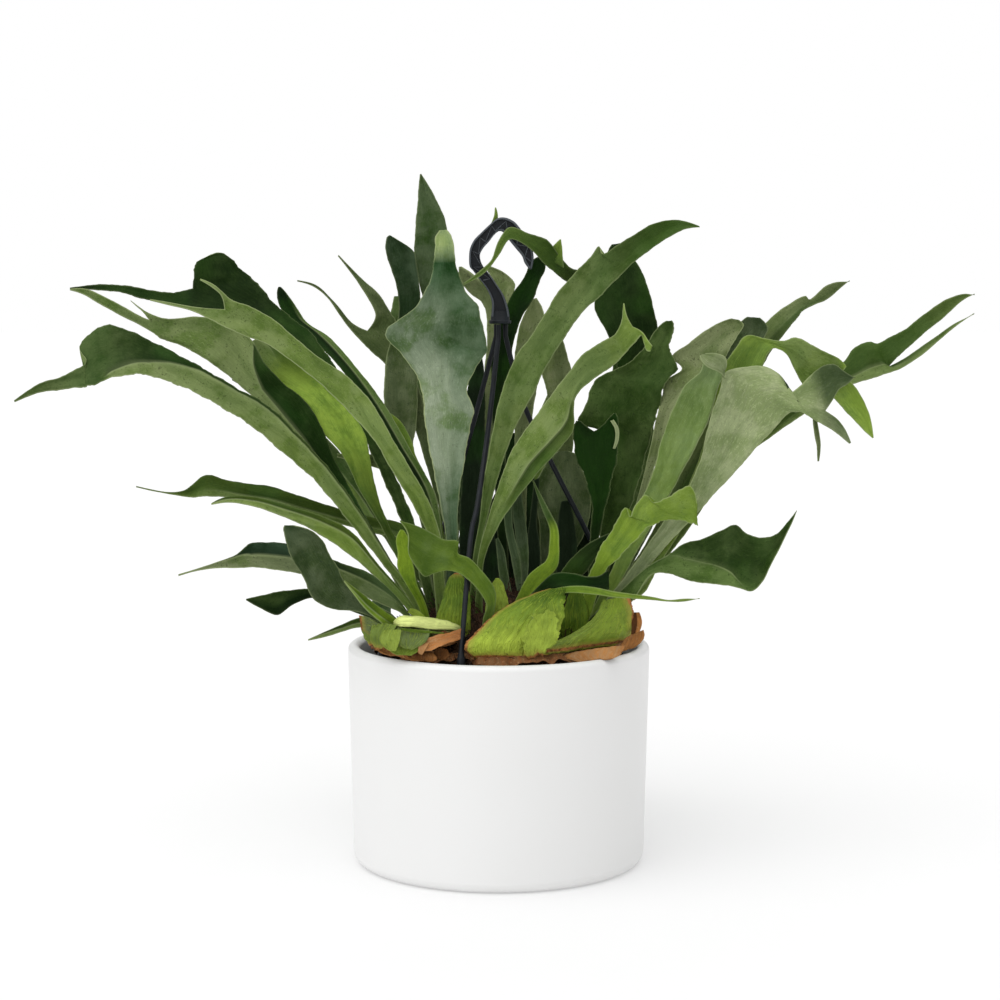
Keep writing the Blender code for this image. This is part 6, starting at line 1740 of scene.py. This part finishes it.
@dataclass
class Foliage:
    """The fronds, the shields, the two far tufts and the small growth."""

    frond_grid: Grid = Grid()
    shield_grid: Grid = Grid(columns=40, channel=-0.10, step=1.2)
    cluster_grid: Grid = Grid(columns=18, step=1.2)
    knob: tuple[float, float, float] = (0.012, 0.011, 0.011)

    def build(self, shop: Shop) -> None:
        """Grow the fronds, the shields, the far tufts with their growing tips, then the small growth.

        Args:
            shop: the finishes and recipes.
        """
        for name, blade in FRONDS.items():
            shift = (seed_of(name) % 97) * 0.37
            item = self.grown(shop, "leaf_" + name, name, (blade,), blade.look.finish, self.frond_grid,
                              BladeBody(), Shift=shift)
            shop.put(item, name)
        for name, blade in SHIELDS.items():
            item = self.grown(shop, "leaf_" + name, name, (blade,), blade.look.finish, self.shield_grid,
                              BladeBody(thickness=0.0010, edge=0.0003), Veins=9.0, Height=0.0004, Rumple=0.0030)
            shop.put(item, name)
        for name, tuft in TUFTS.items():
            item = self.grown(shop, "leaf_" + name, name, tuft.blades, "green", self.frond_grid, BladeBody())
            shop.put(item, name)
            knob = shop.new(name + "_tip", self.growing_tip(tuft.centre))
            shop.fibres.carry_out(knob, shop.finishes["fibre"], Density=220000.0, Length=0.006)
            shop.put(knob, name)
        for name, cluster in CLUSTERS.items():
            item = self.grown(shop, name, name, cluster.blades, cluster.finish, self.cluster_grid, BladeBody(),
                              Height=0.0003, Rumple=0.0022)
            shop.put(item, cluster.node, stands_for=False)

    def grown(self, shop: Shop, title: str, name: str, blades: Sequence[Blade], finish: str, grid: Grid,
              body: BladeBody, **sizes: float) -> bpy.types.Object:
        """Grow one piece from its blades.

        Args:
            shop: the finishes and recipes.
            title: the piece's own name.
            name: its name in the tables, which its seeds come from.
            blades: its blades.
            finish: its finish.
            grid: how finely its blades are drawn.
            body: the empty body that holds them.
            sizes: the vein recipe's inputs that differ from their usual values.

        Returns:
            The finished object.
        """
        for place, blade in enumerate(blades):
            sheet = BladeSheet(blade.look, blade.lean, grid, seed_of(name) + place)
            sheet.grow(strip_from(blade.rows))
            body.add(sheet)
        item = shop.new(title, body.mesh(name))
        shop.veins.carry_out(item, shop.finishes[finish], **sizes)
        return item

    def growing_tip(self, centre: tuple[float, float, float]) -> bpy.types.Mesh:
        """The lumpy tip that a tuft grows from.

        Args:
            centre: its centre, in mm.

        Returns:
            The mesh.
        """
        shape = bmesh.new()
        place = Matrix.Translation(Vector(centre) * MM) @ Matrix.Diagonal((*self.knob, 1))
        bmesh.ops.create_icosphere(shape, subdivisions=4, radius=1, matrix=place)
        return mesh_from(shape, "growing_tip")


def lathe(name: str, profile: Sequence[tuple[float, float]], sides: int) -> bpy.types.Mesh:
    """A turned shape.

    Args:
        name: the mesh's name.
        profile: (radius, height) from the axis, round the inside and the outside, back to the axis.
        sides: how many flats go round.

    Returns:
        The closed mesh, its faces outward.
    """
    shape = bmesh.new()
    rings = []
    for radius, height in profile:
        if radius < 1e-9:
            rings.append([shape.verts.new((0, 0, height))])
            continue
        turns = [math.tau * side / sides for side in range(sides)]
        rings.append([shape.verts.new((radius * math.cos(a), radius * math.sin(a), height)) for a in turns])
    for first, second in zip(rings, rings[1:]):
        for i in range(sides):
            j = (i + 1) % sides
            corners = [first[i % len(first)], first[j % len(first)], second[j % len(second)], second[i % len(second)]]
            shape.faces.new(list(dict.fromkeys(corners)))
    bmesh.ops.recalc_face_normals(shape, faces=shape.faces)
    return mesh_from(shape, name, smooth=True)


def arc(centre_r: float, centre_z: float, radius: float, start: float, end: float,
        steps: int) -> list[tuple[float, float]]:
    """Profile points on an arc.

    Args:
        centre_r: the centre's distance from the axis.
        centre_z: the centre's height.
        radius: the arc's radius.
        start: where it starts, in degrees from +r towards +z.
        end: where it ends, in the same way.
        steps: how many straight pieces it is made of.

    Returns:
        The points, one more than the steps.
    """
    angles = [math.radians(start + (end - start) * step / steps) for step in range(steps + 1)]
    return [(centre_r + radius * math.cos(a), centre_z + radius * math.sin(a)) for a in angles]


@dataclass
class Pot:
    """The white ceramic cylinder."""

    rim_radius: float = 0.105
    foot_radius: float = 0.1016
    height: float = 0.1526
    wall: float = 0.0085
    floor: float = 0.008
    foot_fillet: float = 0.0076
    inner_fillet: float = 0.006
    sides: int = 192

    def build(self, shop: Shop) -> None:
        """Turn the pot and put it in its solid's place.

        Args:
            shop: the finishes and recipes.
        """
        lip = self.wall / 2
        lip_r = self.rim_radius - lip
        foot_r = self.foot_radius - self.foot_fillet
        inner_foot = self.foot_radius - self.wall
        profile = [(0.0, self.floor), (0.03, self.floor), (0.06, self.floor)]
        profile += arc(inner_foot - self.inner_fillet, self.floor + self.inner_fillet, self.inner_fillet, -90, 0, 8)
        profile += arc(lip_r, self.height - lip, lip, 180, 0, 20)
        profile += arc(foot_r, self.foot_fillet, self.foot_fillet, 0, -90, 14)
        profile += [(0.06, 0.0), (0.03, 0.0), (0.0, 0.0)]
        item = shop.new("ceramic_pot", lathe("ceramic_pot", profile, self.sides))
        shop.dress(item, "white_glaze")
        shop.put(item, "pot")


@dataclass
class Crown:
    """What the fronds stand in: the basket, the root ball, the rhizome mound and the dry rim of old shields."""

    mound_radius: float = 0.080
    mound_top: float = 0.190
    mound_edge: float = 0.150
    mound_bottom: float = 0.1445
    mound_taper: float = 0.004
    rings: int = 40
    sectors: int = 150
    rim_steps: int = 420
    rim_columns: int = 14
    rim_notch: float = 0.07
    rim_drawn: float = 0.52

    def build(self, shop: Shop) -> None:
        """Build or dress each of its pieces.

        Args:
            shop: the finishes and recipes.
        """
        shop.keep_node("basket", "basket_black")
        shop.keep_node("root_ball", "bark")
        self.mound(shop)
        self.dry_rim(shop)

    def height_at(self, radius: float, angle: float) -> float:
        """The mound's surface over a place.

        Args:
            radius: the place's distance from the axis.
            angle: its angle round the axis.

        Returns:
            The height.
        """
        share = radius / self.mound_radius
        dome = self.mound_top - (self.mound_top - self.mound_edge) * share * share
        bumps = 0.0022 * math.sin(5 * angle + 1.1) * math.sin(7 * share * math.pi / 2)
        lumps = 0.0016 * math.sin(11 * angle + 9 * share) * math.sin(13 * share + 2 * angle) * share
        return dome + (bumps + lumps) * (1 - share * share)

    def mound(self, shop: Shop) -> None:
        """The lumpy mound and its coat of fibres.

        Args:
            shop: the finishes and recipes.
        """
        shape = bmesh.new()
        top = shape.verts.new((0, 0, self.mound_top))
        rings = []
        turns = [math.tau * sector / self.sectors for sector in range(self.sectors)]
        for ring in range(1, self.rings + 1):
            radius = self.mound_radius * ring / self.rings
            rings.append([shape.verts.new((radius * math.cos(a), radius * math.sin(a), self.height_at(radius, a)))
                          for a in turns])
        foot_r = self.mound_radius - self.mound_taper
        rings.append([shape.verts.new((foot_r * math.cos(a), foot_r * math.sin(a), self.mound_bottom))
                      for a in turns])
        for i in range(self.sectors):
            j = (i + 1) % self.sectors
            shape.faces.new((top, rings[0][i], rings[0][j]))
            for inner, outer in zip(rings, rings[1:]):
                shape.faces.new((inner[i], outer[i], outer[j], inner[j]))
        shape.faces.new(list(reversed(rings[-1])))
        mesh = mesh_from(shape, "rhizome_mound", smooth=True)
        item = shop.new("rhizome_mound", mesh)
        shop.dress(item, "fibre")
        coat = shop.new("mound_fibres", mesh.copy())
        shop.put(item, "mound")
        shop.fibres.carry_out(coat, shop.finishes["fibre"], Density=180000.0)
        shop.put(coat, "mound")

    def dry_rim(self, shop: Shop) -> None:
        """The ring of old dry shields round the mound's edge, crumpled and split.

        Args:
            shop: the finishes and recipes.
        """
        profile = np.array([(0.0700, 0.1556), (0.0815, 0.1556), (0.0868, 0.1534), (0.0905, 0.1512)])
        body = BladeBody(thickness=0.0011, edge=0.0004)
        share = np.linspace(0, 1, self.rim_columns + 1)
        line = np.stack([np.interp(share * 3, range(4), profile[:, k]) for k in (0, 1)], axis=-1)
        angles = np.linspace(0, math.tau, self.rim_steps, endpoint=False)
        radius = line[None, :, 0] + 0 * angles[:, None]
        height = line[None, :, 1] + 0 * angles[:, None]
        outward = share[None, :] ** 1.5
        waves = (np.sin(9 * angles) * 0.6 + np.sin(23 * angles + 1) * 0.4 + np.sin(41 * angles + 2.2) * 0.35)
        tatter = np.abs(np.sin(17 * angles + 0.7) * np.sin(29 * angles)) ** 0.6
        height = height + 0.0026 * outward * waves[:, None] + 0.0007 * np.sin(63 * angles + 3)[:, None] * share
        radius = radius + 0.0009 * outward * waves[:, None] - 0.0028 * outward * tatter[:, None]
        off = [np.abs(np.angle(np.exp(1j * (angles - math.atan2(y, x))))) for x, y in STRAND_FEET]
        notch = np.max([np.clip(1 - (gap - self.rim_notch) / self.rim_notch, 0, 1) for gap in off], axis=0)[:, None]
        drawn = profile[0, 0] + (radius - profile[0, 0]) * self.rim_drawn
        radius = radius * (1 - notch) + drawn * notch
        points = np.stack([radius * np.cos(angles)[:, None], radius * np.sin(angles)[:, None], height], axis=-1)
        push = np.zeros_like(points)
        push[..., 2] = 1.0
        sheet = BladeSheet(Look("dry"), 0, Grid(), 1)
        table = {
            "across": angles[:, None] * 3.0 + 0 * share, "along": share[None, :] * 20 + 0 * radius,
            "margin": np.minimum(share, 1 - share)[None, :] * 20 + 0 * radius,
        }
        lines = sheet.add_lines(points, push, table)
        for before, after in zip(lines, lines[1:] + lines[:1]):
            sheet.quads.extend((before[i], after[i], after[i + 1], before[i + 1]) for i in range(self.rim_columns))
        sheet.values["tone"] = [np.zeros(sheet.count)]
        sheet.values["young"] = [np.full(sheet.count, 0.15)]
        body.add(sheet)
        item = shop.new("dry_rim", body.mesh("dry_rim"))
        shop.dress(item, "dry_rim")
        shop.put(item, "skirt")


def path_mesh(name: str, points: Sequence[Sequence[float]], radii: Sequence[float]) -> bpy.types.Mesh:
    """A run of edges with a radius at each point.

    Args:
        name: the mesh's name.
        points: the points, in order.
        radii: the radius at each.

    Returns:
        The mesh.
    """
    mesh = bpy.data.meshes.new(name)
    mesh.from_pydata([tuple(point) for point in points], [(i, i + 1) for i in range(len(points) - 1)], [])
    mesh.attributes.new("girth", 'FLOAT', 'POINT').data.foreach_set("value", np.array(radii, np.float32))
    return mesh


def through(points: Sequence[Vector], steps: int) -> list[Vector]:
    """A smooth curve through points.

    Args:
        points: the points, in order.
        steps: how many straight pieces each span is cut into.

    Returns:
        The curve's points.
    """
    line = [points[0]]
    for i in range(len(points) - 1):
        before = points[max(i - 1, 0)]
        start, end = points[i], points[i + 1]
        after = points[min(i + 2, len(points) - 1)]
        for step in range(1, steps + 1):
            t = step / steps
            pull = (end - before) * (t - 2 * t * t + t ** 3) + (after - start) * (t ** 3 - t * t)
            line.append(start.lerp(end, 3 * t * t - 2 * t ** 3) + pull / 2)
    return line


@dataclass
class Hanger:
    """The moulded hook on its flared socket, and the three strands that carry the basket."""

    half_depth: float = 0.0045
    border: float = 0.0015
    chamfer: float = 0.0008
    recess: float = 0.0026
    rib: float = 0.00055
    rib_start: float = 0.22
    rib_run: float = 0.74
    rib_turns: int = 16
    strand_radius: float = 0.00175
    clip_radius: float = 0.0028
    clip_length: float = 0.012
    clip_foot: float = 0.1436
    socket_x: float = 0.001
    socket_z: float = 0.374
    spread: float = 0.0038
    stations: int = 110
    tip_length: float = 0.0006
    tip_share: float = 0.82
    draft: float = 0.0003
    seat_gap: float = 0.0003
    neck_length: float = 0.008
    clip_lead: float = 0.003
    clip_lip: float = 0.001
    clip_taper: float = 0.85
    side_steps: int = 8
    strand_steps: int = 10
    squareness: float = 3.2
    socket_sides: int = 40
    socket_levels: tuple[tuple[float, float, float], ...] = (
        (0.3740, 0.0070, 0.0062), (0.3743, 0.0075, 0.0066), (0.3760, 0.0077, 0.0068), (0.3764, 0.0074, 0.0065),
        (0.3766, 0.0066, 0.0058), (0.3790, 0.0063, 0.0053), (0.3830, 0.0058, 0.0047))
    inner_side: tuple[tuple[float, float], ...] = (
        (7.5, 379), (6.3, 385.5), (3.5, 393.5), (-1, 400.5), (-5.5, 407), (-10, 412.5), (-12.3, 417),
        (-12.8, 421.5), (-10.5, 426), (-6.5, 430.5), (-3, 435), (0.5, 437.5), (4, 436), (7, 431.5),
        (11.5, 426), (16, 420.5), (17.7, 416), (20.5, 412))
    outer_side: tuple[tuple[float, float], ...] = (
        (-5.2, 379), (-4.7, 388), (-6.5, 394.5), (-10, 400.5), (-14.3, 406), (-17.7, 410.5), (-20, 413.5),
        (-20.3, 420.5), (-19.5, 426), (-16.7, 431.5), (-12.3, 436), (-6.5, 441.5), (-1, 446), (4.7, 446.5),
        (10.3, 444), (13.7, 440.5), (17, 436), (20.5, 430.5), (23.3, 424), (24, 418), (22.8, 412))

    def build(self, shop: Shop) -> None:
        """Build the hook, its ribs, the socket and the strands.

        Args:
            shop: the finishes and recipes.
        """
        hook = shop.new("hook", self.hook_mesh())
        shop.dress(hook, "hanger_black")
        shop.put(hook, "hanger_hook")
        for name, face in (("hook_ribs_front", -1), ("hook_ribs_back", 1)):
            ribs = shop.new(name, path_mesh(name, *self.rib_path(face)))
            shop.sweep.carry_out(ribs, shop.finishes["hanger_ribs_highlight"], Sides=6.0)
            shop.put(ribs, "hanger_hook")
        socket = shop.new("hook_socket", self.socket_mesh())
        shop.dress(socket, "hanger_black")
        shop.put(socket, "hanger_hook")
        for index, (foot, route) in enumerate(zip(STRAND_FEET, STRAND_ROUTES)):
            name = f"hanger_strand_{index + 1}"
            strand = shop.new("hung_strand_" + str(index + 1), path_mesh(name, *self.strand_path(foot, route)))
            shop.sweep.carry_out(strand, shop.finishes["hanger_black"])
            strand.data.shade_smooth()
            shop.put(strand, name)

    def side(self, points: Sequence[tuple[float, float]]) -> list[Vector]:
        """One smooth side of the hook.

        Args:
            points: the side's points: u, v in mm.

        Returns:
            Evenly stepped points in metres on y = 0.
        """
        line = through([Vector((u * MM, 0, v * MM)) for u, v in points], self.side_steps)
        lengths = np.concatenate([[0.0], np.cumsum([(b - a).length for a, b in zip(line, line[1:])])])
        at = np.linspace(0, lengths[-1], self.stations)
        spread = np.array([tuple(point) for point in line])
        return [Vector([np.interp(place, lengths, spread[:, axis]) for axis in range(3)]) for place in at]

    def section(self, inner: Vector, outer: Vector, size: float = 1.0) -> list[Vector]:
        """The closed section between the two sides: chamfered corners, a sunk channel front and back.

        Args:
            inner: the point on the inner side.
            outer: the point on the outer side.
            size: how much of the full section is left, less than 1 at the rounded tip.

        Returns:
            The section's points, once round.
        """
        across = (outer - inner).normalized()
        wide = (outer - inner).length
        middle = (inner + outer) / 2
        half = wide / 2
        steps = ((half, self.half_depth - self.chamfer), (half - self.chamfer, self.half_depth),
                 (half - self.border, self.half_depth),
                 (half - self.border - self.draft, self.half_depth - self.recess))
        ring = []
        for face in (-1, 1):
            for side in ((-1, 1) if face < 0 else (1, -1)):
                order = steps if side < 0 and face < 0 or side > 0 and face > 0 else steps[::-1]
                ring += [middle + across * side * reach * size + Vector((0, face * depth * size, 0))
                         for reach, depth in order]
        return ring

    def hook_mesh(self) -> bpy.types.Mesh:
        """The hook's body, lofted from its foot to its rounded tip.

        Returns:
            The mesh.
        """
        shape = bmesh.new()
        pairs = list(zip(self.side(self.inner_side), self.side(self.outer_side)))
        ahead = (pairs[-1][1] - pairs[-2][1]).normalized() * self.tip_length
        sections = [self.section(*pair) for pair in pairs]
        sections.append(self.section(pairs[-1][0] + ahead, pairs[-1][1] + ahead, self.tip_share))
        rings = [[shape.verts.new(point) for point in section] for section in sections]
        number = len(rings[0])
        skin(shape, rings)
        for ring in (rings[0], rings[-1]):
            middle = shape.verts.new(sum((vert.co for vert in ring), Vector()) / number)
            for i in range(number):
                shape.faces.new((ring[i], ring[(i + 1) % number], middle))
        bmesh.ops.recalc_face_normals(shape, faces=shape.faces)
        mesh = mesh_from(shape, "hook")
        # the points at the chamfers and borders, which take the painted highlight
        painted_bevel_highlight = mesh.attributes.new("painted_bevel_highlight", 'FLOAT', 'POINT')
        once = np.array([0.5, 1.0, 0.8, 0.0, 0.0, 0.8, 1.0, 0.5] * 2)
        painted_bevel_highlight.data.foreach_set("value", np.resize(np.tile(once, len(sections)), len(mesh.vertices)).astype(float))
        return mesh

    def rib_path(self, face: int) -> tuple[list[Vector], list[float]]:
        """The zigzag rib on one face's channel floor.

        Args:
            face: -1 for the front, 1 for the back.

        Returns:
            The rib's points, and its radius at each.
        """
        inner = self.side(self.inner_side)
        outer = self.side(self.outer_side)
        depth = face * (self.half_depth - self.recess)
        points = []
        for step in range(self.rib_turns + 1):
            share = self.rib_start + self.rib_run * step / self.rib_turns
            near = inner[round(share * (len(inner) - 1))]
            far = outer[round(share * (len(outer) - 1))]
            across = 0.2 if step % 2 else 0.8
            place = near.lerp(far, across)
            points.append(Vector((place.x, depth, place.z)))
        return points, [self.rib] * len(points)

    def socket_mesh(self) -> bpy.types.Mesh:
        """The flared socket with its flat lip, over the strands' heads.

        Returns:
            The mesh.
        """
        shape = bmesh.new()
        turns = [math.tau * side / self.socket_sides for side in range(self.socket_sides)]
        power = self.squareness
        rings = []
        for z, wide, deep in self.socket_levels:
            ring = []
            for angle in turns:
                square = (abs(math.cos(angle)) ** power + abs(math.sin(angle)) ** power) ** (-1 / power)
                ring.append(shape.verts.new((self.socket_x + wide * square * math.cos(angle),
                                             deep * square * math.sin(angle), z)))
            rings.append(ring)
        skin(shape, rings)
        shape.faces.new(list(reversed(rings[0])))
        shape.faces.new(rings[-1])
        bmesh.ops.recalc_face_normals(shape, faces=shape.faces)
        return mesh_from(shape, "hook_socket")

    def strand_path(self, foot_xy: tuple[float, float],
                    route: Sequence[tuple[float, float, float]]) -> tuple[list[Vector], list[float]]:
        """One strand from under the socket to its clip on the basket's rim.

        Args:
            foot_xy: where its clip stands.
            route: the places that it passes, as the eye sees them: u, v, depth in mm.

        Returns:
            The strand's points, and its radius at each.
        """
        foot = Vector((*foot_xy, self.clip_foot))
        bearing = math.atan2(foot.y, foot.x)
        head = Vector((self.socket_x + self.spread * math.cos(bearing), self.spread * math.sin(bearing),
                       self.socket_z - self.seat_gap))
        clip_top = foot + Vector((0, 0, self.clip_length))
        neck = head - Vector((0, 0, self.neck_length))
        stops = [Vector(place) for place in seen(np.array(route, float))]
        line = [head, *through([neck, *stops, clip_top + Vector((0, 0, self.clip_lead))], self.strand_steps)]
        radii = [self.strand_radius] * len(line)
        line += [clip_top, clip_top - Vector((0, 0, self.clip_lip)), foot]
        radii += [self.clip_radius * self.clip_taper, self.clip_radius, self.clip_radius]
        return line, radii


@dataclass
class Studio:
    """The plain stage: floor, camera and soft light."""

    pitch: float = 5.1
    lens: float = 78.12
    floor_half: float = 30.0
    sky: float = 0.545

    def build(self, shop: Shop) -> None:
        """Lay the floor, set the camera and hang the lights.

        Args:
            shop: the finishes and recipes.
        """
        self.floor(shop)
        self.camera()
        self.world()
        self.soft_sun("key_light", (-0.60, -0.80, 1.25), 90.0, 1.61)
        self.soft_sun("top_light", (0.05, 0.95, 1.9), 110.0, 1.0)
        bpy.context.scene.view_settings.view_transform = 'Standard'

    def floor(self, shop: Shop) -> None:
        """The floor that the pot stands on.

        Args:
            shop: the finishes and recipes.
        """
        reach = self.floor_half
        mesh = bpy.data.meshes.new("studio_floor")
        mesh.from_pydata([(-reach, -reach, 0), (reach, -reach, 0), (reach, reach, 0), (-reach, reach, 0)], [],
                         [(0, 1, 2, 3)])
        item = shop.new("studio_floor", mesh)
        shop.dress(item, "studio_floor")

    def camera(self) -> None:
        """The viewer's camera."""
        camera = bpy.data.cameras.new("viewer")
        camera.lens = self.lens
        camera.sensor_width = 36
        camera.clip_end = 100
        item = bpy.data.objects.new("viewer", camera)
        item.location = EYE
        item.rotation_euler = (math.radians(90 - self.pitch), 0, 0)
        bpy.context.scene.collection.objects.link(item)
        bpy.context.scene.camera = item

    def world(self) -> None:
        """An even white surround."""
        world = bpy.data.worlds.new("surround")
        world.use_nodes = True
        tree = world.node_tree
        light = tree.nodes["Background"]
        light.inputs["Color"].default_value = (1, 1, 1, 1)
        light.inputs["Strength"].default_value = self.sky
        backdrop = tree.nodes.new("ShaderNodeBackground")
        backdrop.inputs["Color"].default_value = (1, 1, 1, 1)
        mixer = tree.nodes.new("ShaderNodeMixShader")
        rays = tree.nodes.new("ShaderNodeLightPath")
        tree.links.new(rays.outputs["Is Camera Ray"], mixer.inputs[0])
        tree.links.new(light.outputs[0], mixer.inputs[1])
        tree.links.new(backdrop.outputs[0], mixer.inputs[2])
        tree.links.new(mixer.outputs[0], tree.nodes["World Output"].inputs["Surface"])
        bpy.context.scene.world = world

    def soft_sun(self, name: str, place: tuple[float, float, float], spread: float, power: float) -> None:
        """One broad, even light that shines from a place toward the plant.

        Args:
            name: the light's name.
            place: the direction that it comes from.
            spread: the angle in degrees that it fills.
            power: its strength.
        """
        light = bpy.data.lights.new(name, 'SUN')
        light.angle = math.radians(spread)
        light.energy = power
        item = bpy.data.objects.new(name, light)
        item.rotation_euler = (-Vector(place)).to_track_quat('-Z', 'Y').to_euler()
        bpy.context.scene.collection.objects.link(item)


def main() -> None:
    """Build the whole scene."""
    logging.basicConfig(level=logging.INFO, format="%(name)s: %(message)s")
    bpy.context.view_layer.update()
    shop = Shop()
    Studio().build(shop)
    Pot().build(shop)
    Crown().build(shop)
    Hanger().build(shop)
    Foliage().build(shop)


if __name__ == "__main__":
    main()
